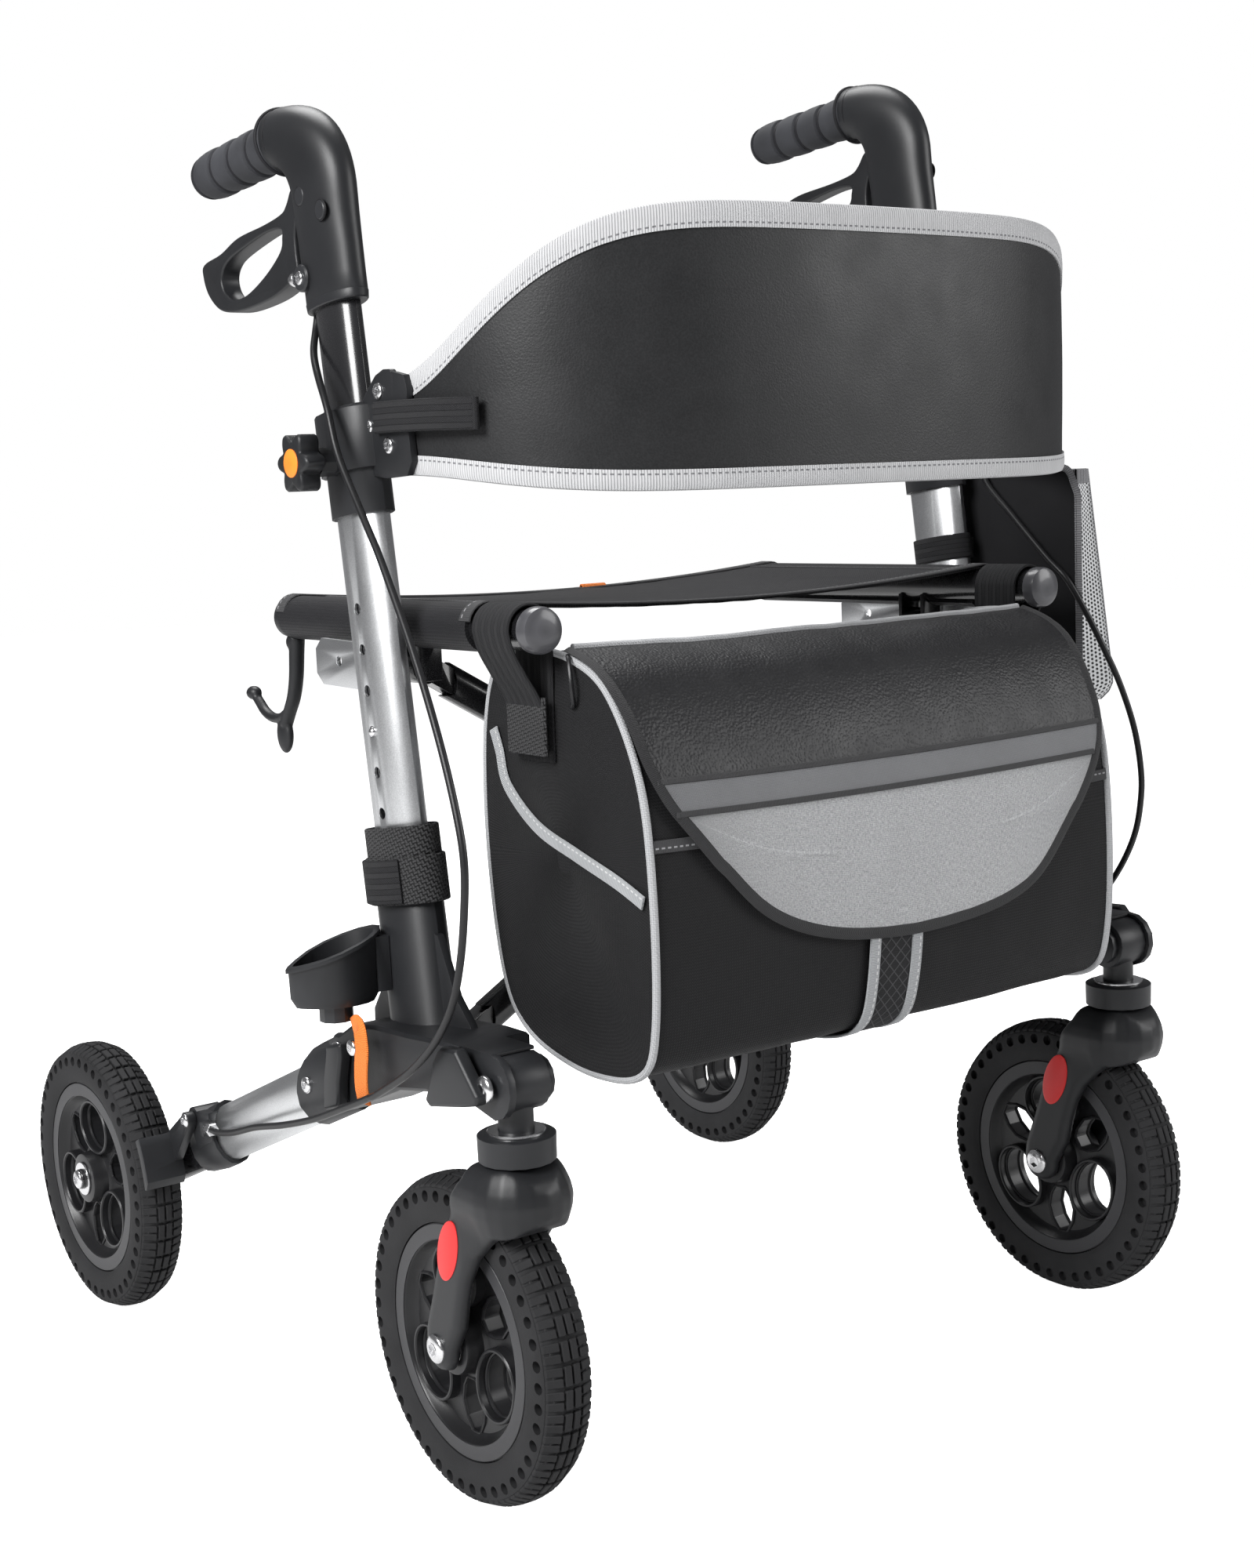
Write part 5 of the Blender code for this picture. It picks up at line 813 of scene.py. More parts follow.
webSides = (0.2436, 0.2481)
webOutline = [(-0.116, 0.645), (-0.123, 0.6525), (-0.134, 0.6625), (-0.143, 0.6695), (-0.152, 0.6725), (-0.16, 0.6722),
              (-0.164, 0.668), (-0.161, 0.64), (-0.116, 0.638)]
for word, side in sides.items():
    web = prism("bracketWeb_" + word, webOutline, *(side * x for x in webSides))
    bevel(web, 0.0008, 2, 40)
    finish(web, word + "_frame", "plastic")

# Each bolt: its name, place, way out or in, radius and height
bolts = {"_frame": (("bracketBoltA_", (0.2478, -0.146, 0.66), 1, 0.005, 0.0024),
                    ("bracketBoltB_", (0.2478, -0.155, 0.628), 1, 0.005, 0.0024),
                    ("bracketBoltC_", (0.2478, -0.133, 0.64), 1, 0.0045, 0.0022),
                    ("frontPivotBolt_", (0.2762, caster["stemY"], caster["pivotZ"]), 1, 0.008, 0.0042),
                    ("frontPivotInner_", (0.2372, caster["stemY"], caster["pivotZ"]), -1, 0.0075, 0.0036),
                    ("legPivotBolt_", (0.2764, -0.102, 0.256), 1, 0.0065, 0.0028)),
         "rear_leg_": (("legFittingBolt_", (0.2762, -0.058, 0.2254), 1, 0.0055, 0.0028),
                       ("axleBolt_", (0.316, 0.239, 0.1), 1, 0.007, 0.003)),
         "fork_": (("forkBolt_", (0.2858, caster["axleY"], caster["axleZ"]), 1, 0.0088, 0.0036),
                   ("forkBoltInner_", (0.2282, caster["axleY"], caster["axleZ"]), -1, 0.0088, 0.0036)),
         "shoe_": (("shoeBolt_", (0.2838, 0.114, 0.166), 1, 0.005, 0.0028),)}
shellScrew = (0.2591, -0.0785, 0.7317)
buttonSpec = {"z": 0.457, "out": 0.01, "radius": 0.0032, "height": 0.0042}
for word, side in sides.items():
    out = (side, 0, 0)
    for body, rows in bolts.items():
        body = word + body if body == "_frame" else body + word
        for name, (x, y, z), way, radius, height in rows:
            bolt = dome(name + word, (side * x, y, z), (side * way, 0, 0), radius, height)
            finish(bolt, body, "steel")
    x, y, z = shellScrew
    screw = dome("shellScrew_" + word, Vector((side * x, y, z)) + raised[word], out, 0.0042, 0.002)
    finish(screw, "handle_" + word, "steel")
    at = uprightAt(side, buttonSpec["z"]) + Vector((side * buttonSpec["out"], 0, 0)) + raised[word]
    button = dome("buttonDome_" + word, at, out, buttonSpec["radius"], buttonSpec["height"], socket=0)
    finish(button, "button_" + word, "steel")
    ring = washer("stemWasher_" + word, (side * caster["out"], caster["stemY"], 0.2374), upward, 0.0107, 0.017, 0.0022)
    finish(ring, "stem_" + word, "steel")
    ring = washer("axleWasher_" + word, (side * 0.3121, 0.239, 0.1), out, 0.0076, 0.0125, 0.0016)
    finish(ring, "rear_leg_" + word, "steel")
    nut = [(0, 0.0044), (0.0008, 0.005), (0.0072, 0.005), (0.008, 0.0044)]
    nut = turned("cableNut_" + word, nut, (side * 0.28, 0.0782, 0.166), (0, 1, 0), 6)
    finish(nut, "rear_leg_" + word, "steel")

# The plugs, the screw's boss and the cable's nut on each handle, and the red ovals and cap of each fork
forkOval = {"at": (-0.2375, 0.165), "turn": (0.342, 0.94), "half": (0.02, 0.01)}
for word, side in sides.items():
    out = (side, 0, 0)
    handle = "handle_" + word
    for tag, x, y, z in (("Front", 0.2562, -0.1047, 0.7692), ("Rear", 0.2566, -0.0813, 0.78)):
        at = Vector((side * x, y, z)) + raised[word]
        plug = turned("shellPlug" + tag + "_" + word, [(0, 0.0056), (0.0012, 0.0056), (0.0017, 0.005), (0.0017, 0.0)],
                      at, out, 28)
        finish(plug, handle, "plastic")
        # A near-black ring round each plug: painted shade standing in for a recess round the plug
        ring = washer("plugRing" + tag + "_" + word, at, out, 0.0056, 0.0066, 0.0012, 32)
        finish(ring, handle, "dark")
    at = Vector((side * 0.2528, *shellScrew[1:])) + raised[word]
    boss = turned("screwBoss_" + word, [(0, 0.0086), (0.0052, 0.0084), (0.0064, 0.0074), (0.0064, 0.0)], at, out, 36)
    finish(boss, handle, "shell")
    nut = [(0, 0.0046), (0.003, 0.0046), (0.0034, 0.0038), (0.0062, 0.0036), (0.0086, 0.0024), (0.0094, 0.0)]
    nut = turned("cableNut_" + word, nut, at + Vector((side * 0.0044, 0.0058, 0)), (0, 1, 0), 28)
    finish(nut, handle, "steel")
    (y, z), (s, c), (long, short) = forkOval["at"], forkOval["turn"], forkOval["half"]
    for tag, sign in (("Out", 1), ("In", -1)):
        rings = [ovalRing((side * (caster["out"] + sign * x), y, z), (0, -s, c), (0, c, s), long * g, short * g, 48)
                 for x, g in ((0.0265, 1.0), (0.0294, 1.0), (0.0299, 0.88))]
        finish(loft("forkInset" + tag + "_" + word, rings), "fork_" + word, "red")
    cap = turned("dustCap_" + word, [(0.0, 0.0215), (0.0006, 0.0226), (0.015, 0.0228), (0.0158, 0.0215)],
                 (side * caster["out"], caster["stemY"], 0.2218), upward, 56)
    finish(cap, "stem_" + word, "plastic")

# Star knobs, lofted finer than the part's, with an orange cap
knobSpec = {"z": 0.62, "out": 0.031, "radius": 0.019, "dip": 0.0062, "lobes": 6, "sharp": 1.7,
            "neckOut": 0.0286, "capOut": 0.0448}
for word, side in sides.items():
    center = uprightAt(side, knobSpec["z"])
    rings = []
    for x, shrink in ((0.3, 2.4), (0.6, 0.9), (1.8, 0.0), (12.2, 0.0), (13.4, 0.9), (14.0, 2.4)):
        ring = []
        for i in range(96):
            angle = 2 * math.pi * i / 96
            lobe = 1 - abs(math.cos(knobSpec["lobes"] / 2 * angle)) ** knobSpec["sharp"]
            radius = knobSpec["radius"] - knobSpec["dip"] * lobe - shrink / 1000
            place = (side * (knobSpec["out"] + x / 1000), radius * math.cos(angle), radius * math.sin(angle))
            ring.append(center + Vector(place))
        rings.append(ring)
    knob = loft("starKnob_" + word, rings)
    neck = turned("neck", [(0, 0.0073), (0.004, 0.0073)], center + Vector((side * knobSpec["neckOut"], 0, 0)),
                  (side, 0, 0))
    knob = merge("starKnob_" + word, [knob, neck])
    finish(knob, "knob_" + word, "plastic", ("star_knob_" + word,))
    disc = turned("knobDisc_" + word, [(0, 0.0085), (0.0006, 0.0085), (0.0011, 0.0078), (0.0013, 0.0)],
                  center + Vector((side * knobSpec["capOut"], 0, 0)), (side, 0, 0))
    finish(disc, "knob_" + word, "orange")
print("bolts and knobs")


# Wheels: one tyre and one rim of each kind, then placed

wheelSpec = {"pitches": 44, "petal": (0.0172, 0.0212), "petalOut": 0.04, "petals": 3,
             "holeAt": 0.088, "hole": 0.0035, "deep": 0.0045, "wallAt": 0.0169,
             "gap": 0.17, "halfGap": 0.28, "bar": (0.0066, 0.0154), "barTops": (0.0994, 0.095), "barFoot": 0.0926,
             "rib": (0.0007, 0.0052), "ribTops": (0.1, 0.0996), "ribFoot": 0.096,
             "bridge": (0.0098, 0.0122), "bridgeTop": 0.0966, "bridgeFoot": 0.093, "lip": (0.0066, 0.0012),
             "tyreHalf": ((0.01445, 0.0718), (0.0155, 0.0738), (0.0163, 0.0765), (0.0168, 0.08), (0.017, 0.0838),
                          (0.0169, 0.088), (0.0165, 0.0912), (0.0158, 0.093), (0.0153, 0.0932), (0.0146, 0.0945),
                          (0.012, 0.096), (0.007, 0.0972), (0.002, 0.0975)),
             "rimHalf": ((0.0194, 0.0046), (0.0194, 0.0165), (0.019, 0.0181), (0.0175, 0.0186), (0.012, 0.0192),
                         (0.0086, 0.0205), (0.0068, 0.0235), (0.006, 0.04), (0.0068, 0.056), (0.0096, 0.0592),
                         (0.013, 0.0606), (0.014, 0.0614), (0.014, 0.064), (0.0137, 0.07), (0.0132, 0.0714)),
             "leaf": ((0.024, 49), (0.031, 43), (0.041, 43), (0.05, 49), (0.0575, 56)),
             "petalWall": ((0.012, 0.0004), (0.013, 0.001), (0.013, 0.0022), (0.0122, 0.0029))}


def bothWays(half):
    # A profile of (x, radius) on one side, carried on over the other
    return [*half, *((-x, r) for x, r in reversed(half))]


def treadBlock(x0, x1, r0, r1, a0, a1, foot):
    # A tread block between two widths and two angles, with its top radius at each side
    verts = []
    for x, top in ((x0, r0), (x1, r1)):
        for a in (a0, a1):
            for r in (foot, top):
                verts.append((x, r * math.sin(a), r * math.cos(a)))
    faces = [(0, 1, 3, 2), (4, 6, 7, 5), (0, 4, 5, 1), (2, 3, 7, 6), (0, 2, 6, 4), (1, 5, 7, 3)]
    return fromPoints("block", verts, faces)


def sideways(sign, widths, tops):
    # The widths and tops of a block on one side of the tread, in order across it
    pairs = sorted((sign * x, top) for x, top in zip(wheelSpec[widths], wheelSpec[tops]))
    return (*(x for x, top in pairs), *(top for x, top in pairs))


def makeTyre():
    tyre = turned("tyreBody", bothWays(wheelSpec["tyreHalf"]), (0, 0, 0), outward, 132, closed=True)
    count = wheelSpec["pitches"]
    pits = []
    for sign in (-1, 1):
        for k in range(count):
            a = 2 * math.pi * k / count
            at = Vector((sign * (wheelSpec["wallAt"] - wheelSpec["deep"]), wheelSpec["holeAt"] * math.cos(a),
                         wheelSpec["holeAt"] * math.sin(a)))
            pits.append(pin("pit", at, at + Vector((sign * 0.006, 0, 0)), wheelSpec["hole"], 14))
    carve(tyre, merge("pits", pits))
    pitch = 2 * math.pi / count
    gap = pitch * wheelSpec["gap"]
    narrow = gap * wheelSpec["halfGap"]
    parts = []
    for sign in (-1, 1):
        parts.append(treadBlock(*sideways(sign, "rib", "ribTops"), gap / 2, pitch - gap / 2, wheelSpec["ribFoot"]))
    for sign in (-1, 1):
        # Two bars a pitch at each side, joined by a narrow bridge
        bar = sideways(sign, "bar", "barTops")
        parts.append(treadBlock(*bar, gap / 2, pitch * 0.5 - narrow, wheelSpec["barFoot"]))
        parts.append(treadBlock(*bar, pitch * 0.5 + narrow, pitch - gap / 2, wheelSpec["barFoot"]))
        low, high = sorted(sign * x for x in wheelSpec["bridge"])
        top = wheelSpec["bridgeTop"]
        parts.append(treadBlock(low, high, top, top, pitch * 0.4, pitch * 0.6, wheelSpec["bridgeFoot"]))
    lug = merge("lug", parts)
    bevel(lug, 0.0005, 1, 40)
    wakeOnly(lug)
    bpy.ops.object.mode_set(mode="EDIT")
    bpy.ops.mesh.select_all(action="SELECT")
    turnAll = 2 * math.pi * (count - 1) / count
    bpy.ops.mesh.spin(steps=count - 1, dupli=True, angle=turnAll, center=(0, 0, 0), axis=(1, 0, 0))
    bpy.ops.object.mode_set(mode="OBJECT")
    return merge("tyre", [tyre, lug])


def petalRing(middle, grow=0.0):
    # An oval round a petal's middle, wider across than along its spoke
    along = Vector((math.cos(math.radians(middle)), math.sin(math.radians(middle))))
    across = Vector((-along.y, along.x))
    high, wide = (half + grow for half in wheelSpec["petal"])
    return [tuple(along * (wheelSpec["petalOut"] + high * math.cos(2 * math.pi * i / 56))
                  + across * wide * math.sin(2 * math.pi * i / 56)) for i in range(56)]


def rimOpenings(turn):
    # The outlines of the petals and of the leaf openings beside them
    shapes = []
    for k in range(wheelSpec["petals"]):
        middle = turn + 120 * k
        shapes.append([Vector((*p, 0)) for p in petalRing(middle)])
        leaf = [*wheelSpec["leaf"], *((r, 120 - angle) for r, angle in reversed(wheelSpec["leaf"]))]
        leaf = [(r, math.radians(middle + angle)) for r, angle in leaf]
        shapes.append(fillet([Vector((r * math.cos(a), r * math.sin(a), 0)) for r, a in leaf], 0.003, 5))
    return shapes


def makeRim(turn):
    rim = turned("rimBody", bothWays(wheelSpec["rimHalf"]), (0, 0, 0), outward, 96, closed=True)
    tools = []
    lips = []
    lipAt, lipRadius = wheelSpec["lip"]
    for shape in rimOpenings(turn):
        tools.append(prism("opening", [(p.x, p.y) for p in shape], -0.03, 0.03))
        for x in (-lipAt, lipAt):
            lips.append(wire([Vector((x, p.x, p.y)) for p in shape], lipRadius, 8, closed=True, name="lip"))
    carve(rim, merge("openings", tools))
    # A raised wall stands round each petal
    wall = [(-x, grow) for x, grow in wheelSpec["petalWall"]] + [*reversed(wheelSpec["petalWall"])]
    for k in range(wheelSpec["petals"]):
        lips.append(loft("petalWall", [[Vector((x, *p)) for p in petalRing(turn + 120 * k, grow)]
                                       for x, grow in wall + wall[:1]], caps=False))
    return merge("rim", [rim] + lips)


tyre = makeTyre()
rims = {"front": makeRim(205), "rear": makeRim(100)}
wheels = {"front": (caster["out"], caster["axleY"]), "rear": (0.2925, 0.239)}
for word, side in sides.items():
    for kind, (out, y) in wheels.items():
        at = (side * out, y, caster["axleZ"])
        body = kind + "_wheel_" + word
        finish(twin(tyre, kind + "Tyre_" + word, at), body, "tyre", (kind + "_tyre_" + word,), 30)
        finish(twin(rims[kind], kind + "Rim_" + word, at), body, "rim", (kind + "_rim_" + word,), 30)
        for tag, sign in (("Out", side), ("In", -side)):
            ring = washer(kind + "RimRing" + tag + "_" + word, Vector(at) + Vector((sign * 0.0134, 0, 0)), (sign, 0, 0),
                          0.0618, 0.0708, 0.001, 96)
            finish(ring, body, "rimRing")
            bearing = washer(kind + "Bearing" + tag + "_" + word, Vector(at) + Vector((sign * 0.019, 0, 0)),
                             (sign, 0, 0), 0.0052, 0.0118, 0.0007, 48)
            finish(bearing, body, "steel")
for spare in (tyre, *rims.values()):
    bpy.data.objects.remove(spare, do_unlink=True)
print("wheels")


# Handles: shells, grips and levers

shellSpec = {"neck": ((0.716, 0.029, 0.013), (0.7166, 0.0293, 0.0133), (0.73, 0.0293, 0.0133), (0.745, 0.0295, 0.0134),
                      (0.755, 0.0293, 0.0138), (0.765, 0.0292, 0.0142), (0.774, 0.0296, 0.0144)),
             "bendZ": 0.783, "bend": 0.041, "endLean": 4.4, "steps": 16, "square": 2.15,
             "foot": ((0.7135, 0.0283, 0.0127), (0.7142, 0.029, 0.0133), (0.7185, 0.0296, 0.0136),
                      (0.7192, 0.0292, 0.0132)),
             "slot": ((-0.0078, -0.076, 0.7575), (0.0078, -0.0135, 0.8)),
             "slit": ((0.018, -0.098, 0.813), (0.023, -0.068, 0.8148))}
gripSpec = {"length": 0.11, "flange": 0.005, "tip": 0.0045, "start": 0.0056, "swells": 4,
            "mouth": ((0.0003, 0.011), (0.0003, 0.0192), (0.001, 0.02), (0.004, 0.0198), (0.005, 0.0188),
                      (0.0056, 0.016)),
            "end": ((0.1062, 0.0142), (0.1085, 0.0134), (0.1096, 0.0118), (0.11, 0.0095), (0.1102, 0.0)),
            "collar": ((0.001, 0.015), (0.001, 0.0206), (0.0018, 0.0213), (0.003, 0.0213), (0.0038, 0.0204),
                       (0.004, 0.015)),
            "step": ((0, 0.0136), (0.0004, 0.0139), (0.0026, 0.0139), (0.003, 0.0136))}


def headStations():
    # The shell's middle, lean and half sizes, up its neck and round its bend
    stations = [(uprightAt(0, z), lean, a, b) for z, a, b in shellSpec["neck"]]
    start = uprightAt(0, shellSpec["bendZ"])
    last = math.pi / 2 + math.radians(shellSpec["endLean"])
    for i in range(shellSpec["steps"] + 1):
        t = i / shellSpec["steps"]
        phi = lean + (last - lean) * t
        y = start.y + shellSpec["bend"] * (math.cos(lean) - math.cos(phi))
        z = start.z + shellSpec["bend"] * (math.sin(phi) - math.sin(lean))
        ease = t * t * (3 - 2 * t)
        stations.append((Vector((0, y, z)), phi, 0.030 - 0.0105 * ease, 0.0145 + 0.0050 * ease))
    return stations


def makeHandle(word, side):
    body = "handle_" + word
    lift = raised[word] + Vector((side * uprightOut, 0, 0))
    stations = headStations()
    rings = []
    for center, phi, a, b in stations:
        across = Vector((0, math.cos(phi), -math.sin(phi)))
        rings.append(ovalRing(center + lift, across, outward, a, b, 48, shellSpec["square"]))
    end, phi, a, b = stations[-1]
    start = end + lift
    way = Vector((0, math.sin(phi), math.cos(phi)))
    across = Vector((0, math.cos(phi), -math.sin(phi)))
    rings.append(ovalRing(start + way * 0.0006, across, outward, a * 0.985, b * 0.985, 48))
    shell = loft("handleShell_" + word, rings)
    low, high = (Vector(p) + lift for p in shellSpec["slot"])
    carve(shell, block("slot", low, high))
    low, high = (Vector((side * x, y, z)) + lift for x, y, z in shellSpec["slit"])
    carve(shell, block("slit", low, high))
    bevel(shell, 0.0005, 2, 50)
    finish(shell, body, "shell", ("handle_shell_" + word,), 40)
    foot = [ovalRing(uprightAt(side, z) + raised[word], uprightAcross, outward, a, b, 48, shellSpec["square"])
            for z, a, b in shellSpec["foot"]]
    finish(loft("shellFoot_" + word, foot), body, "plastic")
    seam = ovalRing(start - way * 0.0052, across, outward, a * 1.003, b * 1.003, 48)
    finish(wire(seam, 0.0004, 6, closed=True, name="shellSeam_" + word), body, "dark")
    profile = [*gripSpec["mouth"]]
    length = (gripSpec["length"] - gripSpec["flange"] - gripSpec["tip"]) / gripSpec["swells"]
    for i in range(gripSpec["swells"]):
        base = gripSpec["start"] + i * length
        profile += [(base + 0.0002, 0.0142), (base + 0.0012, 0.0153), (base + 0.0045, 0.01565),
                    (base + length * 0.55, 0.0155), (base + length * 0.80, 0.0149), (base + length - 0.0036, 0.0142),
                    (base + length - 0.0026, 0.013), (base + length - 0.0002, 0.013)]
    grip = turned("grip_" + word, [*profile, *gripSpec["end"]], start, way, 56)
    finish(grip, body, "grip", ("grip_" + word,), 30)
    steps = []
    for i in range(1, gripSpec["swells"]):
        at = start + way * (gripSpec["start"] + i * length - 0.0030)
        steps.append(turned("step", gripSpec["step"], at, way, 56))
    finish(merge("gripSteps_" + word, steps), body, "gripDark")
    flange = turned("gripFlange_" + word, gripSpec["collar"], start, way, 64)
    finish(flange, body, "gripDark", angle=40)


leverSpec = {"half": 0.007, "ease": 0.0022,
             "outline": ((-0.069, 0.778), (-0.062, 0.77), (-0.059, 0.76), (-0.059, 0.75), (-0.0598, 0.736),
                         (-0.0484, 0.7307), (-0.0232, 0.7241), (0.0133, 0.7203), (0.0374, 0.721), (0.0521, 0.7249),
                         (0.0643, 0.7344), (0.07, 0.746), (0.068, 0.7545), (0.0434, 0.759), (0.0179, 0.7665),
                         (-0.0187, 0.7705), (-0.042, 0.7745), (-0.05, 0.7795), (-0.0565, 0.7875), (-0.064, 0.7898),
                         (-0.0708, 0.785)),
             "window": ((-0.0412, 0.765), (-0.042, 0.76), (-0.0385, 0.752), (-0.018, 0.74), (0.009, 0.73),
                        (0.029, 0.7285), (0.04, 0.734), (0.0438, 0.7425), (0.039, 0.75), (0.026, 0.7555),
                        (-0.006, 0.7625), (-0.026, 0.7655))}


def makeLever(word, side):
    lift = raised[word]
    near, far = side * (uprightOut - leverSpec["half"]), side * (uprightOut + leverSpec["half"])
    shape, window = ([(p.x + lift.y, p.y + lift.z) for p in flow([(*p, 0) for p in leverSpec[kind]], 5, closed=True)]
                     for kind in ("outline", "window"))
    lever = prism("brakeLever_" + word, shape, near, far)
    carve(lever, prism("window", window, near * 0.9, far * 1.1))
    bevel(lever, leverSpec["ease"], 3, 50)
    finish(lever, "lever_" + word, "shell", ("brake_lever_" + word,), 45)


for word, side in sides.items():
    makeHandle(word, side)
    makeLever(word, side)
print("handles")


# Backrest band with a folded binding on both edges

bandSpec = {"half": 0.2407, "back": -0.15, "depth": 0.17, "square": 2.8, "thick": 0.005,
            "foot": 0.596, "endFoot": 0.611, "top": 0.755, "endTop": 0.666,
            "puff": 0.0009, "wrinkle": 0.0004, "fill": 0.8, "steps": 140, "rows": 12}


def bandPlan(t):
    angle = t * math.pi / 2
    power = 2.0 / bandSpec["square"]
    return Vector((math.copysign(abs(math.sin(angle)) ** power, t) * bandSpec["half"],
                   bandSpec["back"] - bandSpec["depth"] * abs(math.cos(angle)) ** power, 0))


def bandStation(i, steps):
    t = -1 + 2 * i / steps
    t = math.copysign(abs(t) ** 1.25, t)
    at = bandPlan(t)
    way = (bandPlan(min(t + 0.002, 1.0)) - bandPlan(max(t - 0.002, -1.0))).normalized()
    inward = Vector((-way.y, way.x, 0))
    reach = (bandSpec["back"] - at.y) / bandSpec["depth"]
    rise = min(1.0, max(0.0, reach * 1.03)) ** 1.15
    rise = rise * rise * (3 - 2 * rise)
    low = bandSpec["endFoot"] + (bandSpec["foot"] - bandSpec["endFoot"]) * rise
    high = bandSpec["endTop"] + (bandSpec["top"] - bandSpec["endTop"]) * rise
    return at, inward, low, high


def onBand(obj, look, replaced=()):
    # Part of the band, carried by the right frame, with a mesh of its own
    finish(obj, "right_frame", look, replaced)
    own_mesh(obj)
    return obj


rows = bandSpec["rows"]
half = bandSpec["thick"] / 2
fold = half + 0.0007
rings = []
tapes = {"Top": [], "Foot": []}
for i in range(bandSpec["steps"] + 1):
    at, inward, low, high = bandStation(i, bandSpec["steps"])
    ring = []
    for k in range(rows + 1):
        z = low + 0.001 + (high - low - 0.002) * k / rows
        puff = bandSpec["puff"] * math.sin(math.pi * k / rows)
        puff = puff + bandSpec["wrinkle"] * noise(Vector((at.x * 22, at.y * 22, z * 30)))
        ring.append(at - inward * (half - 0.0006 + puff) + Vector((0, 0, z)))
    for k in range(rows + 1):
        z = high - 0.001 - (high - low - 0.002) * k / rows
        ring.append(at + inward * (half - 0.0006) + Vector((0, 0, z)))
    rings.append(ring)
    for tag, edge, sign, deep in (("Top", high, 1, 0.0142), ("Foot", low, -1, 0.0110)):
        outline = [(-fold, -deep), (-fold - 0.0003, -0.006), (-fold, -0.002), (-fold * 0.7, 0.0002),
                   (0, 0.0009), (fold * 0.7, 0.0002), (fold, -0.002), (fold, -deep)]
        tapes[tag].append([at + inward * a + Vector((0, 0, edge + sign * b)) for a, b in outline])
band = onBand(loft("backrestBand", rings), "band", ("backrest_band",))
for tag, tape in tapes.items():
    onBand(loft("bandBinding" + tag, tape), "tape")

# The webbing loops that hang from the bracket plates
loopPath = ((0.2499, -0.145, 0.6445), (0.2502, -0.168, 0.6445), (0.2496, -0.184, 0.6442), (0.2478, -0.199, 0.644),
            (0.2448, -0.213, 0.6436), (0.2408, -0.226, 0.6432), (0.2376, -0.2345, 0.643))
for word, side in sides.items():
    path = flow(onSide(side, loopPath), 6)
    normals = []
    for run in runs(path):
        normal = upward.cross(run.normalized()) * side
        normals.append(normal if normal.x * side >= 0 else -normal)
    outer = [p + normal * (0.0012 + 0.0008 * math.sin(math.pi * i / len(path)))
             for i, (p, normal) in enumerate(zip(path, normals))]
    inner = [p - normal * 0.0010 for p, normal in zip(path, normals)]
    ends = [outer[-1] + Vector((0, 0, z)) - normals[-1] * 0.0011 for z in (-0.0090, 0.0090)]
    parts = [ribbon("loop", outer, normals, 0.0185, 0.0016), ribbon("loop", inner, normals, 0.0180, 0.0016),
             wire(ends, 0.0021, 12)]
    finish(merge("bracketStrap_" + word, parts), word + "_frame", "webbing")
print("band")


# Seat cloth: a sagging sheet that turns round each rail

seatSpec = {"rear": -0.19, "depth": 0.234, "width": 0.522, "wrap": 0.0136, "sag": 0.01, "thick": 0.0022, "rows": 72,
            "lugs": ((-1, -0.1065), (1, -0.1325)), "lugAt": 0.205, "lugRoom": (0.0105, 0.0165)}


def seatLine(count=60):
    # Half of the sheet's middle line in (x, z), from under a rail up and over to the centre
    line = []
    for k in range(15):
        angle = math.radians(-128 + 218 * k / 14)
        line.append((railOut + seatSpec["wrap"] * math.cos(angle), railZ + seatSpec["wrap"] * math.sin(angle)))
    for k in range(1, count + 1):
        x = railOut * (1 - k / count)
        line.append((x, railZ + seatSpec["wrap"] - seatSpec["sag"] * (1 - (x / railOut) ** 2)))
    return line


def onSeat(obj, look, replaced=(), angle=35):
    finish(obj, "right_seat_rail", look, replaced, angle)
    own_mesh(obj)
    return obj


half = seatLine()
line = [(-x, z) for x, z in half] + [(x, z) for x, z in reversed(half[:-1])]
rings = []
for k in range(seatSpec["rows"] + 1):
    y = seatSpec["rear"] + seatSpec["depth"] * k / seatSpec["rows"]
    hem = 0.0005 * (1 if abs(y + 0.073) > 0.109 else 0)
    ring = []
    for x, z in line:
        slack = max(0.0, 1 - (x / 0.19) ** 2)
        ripple = 0.0011 * slack * noise(Vector((x * 16, y * 9, 3)))
        ripple += 0.0005 * slack * noise(Vector((x * 60, y * 30, 1)))
        ring.append(Vector((x, y, z + ripple + hem * slack)))
    rings.append(ring)
seat = loft("seatCloth", rings, strip=True)
bake(seat, "SOLIDIFY", thickness=seatSpec["thick"], offset=0.0)


def inLugRoom(at):
    # The cloth is cut out where a rail's lug comes up to it
    wide, deep = seatSpec["lugRoom"]
    return at.z < railZ - 0.004 and any(abs(at.x - s * seatSpec["lugAt"]) < wide and abs(at.y - y) < deep
                                        for s, y in seatSpec["lugs"])


shell = bmesh.new()
shell.from_mesh(seat.data)
bmesh.ops.delete(shell, geom=[f for f in shell.faces if inLugRoom(f.calc_center_median())], context="FACES")
shell.to_mesh(seat.data)
shell.free()
onSeat(seat, "seat", ("seat_cloth",), 40)
for tag, y in (("Front", -0.1885), ("Rear", 0.0425)):
    path = [Vector((x, y, z + 0.0014)) for x, z in line[9:-9]]
    ways = [Vector((-run.z, 0, run.x)).normalized() for run in runs(path)]
    path = [p + w * 0.0004 for p, w in zip(path, ways)]
    onSeat(ribbon("seatHem" + tag, path, ways, 0.012, 0.0014), "edgeStitch")
for word, side in sides.items():
    seam = [Vector((side * (railOut - 0.020), -0.188 + 0.2305 * k / 60, railZ + 0.0130)) for k in range(61)]
    onSeat(ribbon("seatSeam_" + word, seam, [upward] * 61, 0.004, 0.001), "edgeStitch")
tab = [(0.039, 0.04, 0.5225), (0.039, 0.0415, 0.5262), (0.039, 0.044, 0.5268), (0.039, 0.0452, 0.524)]
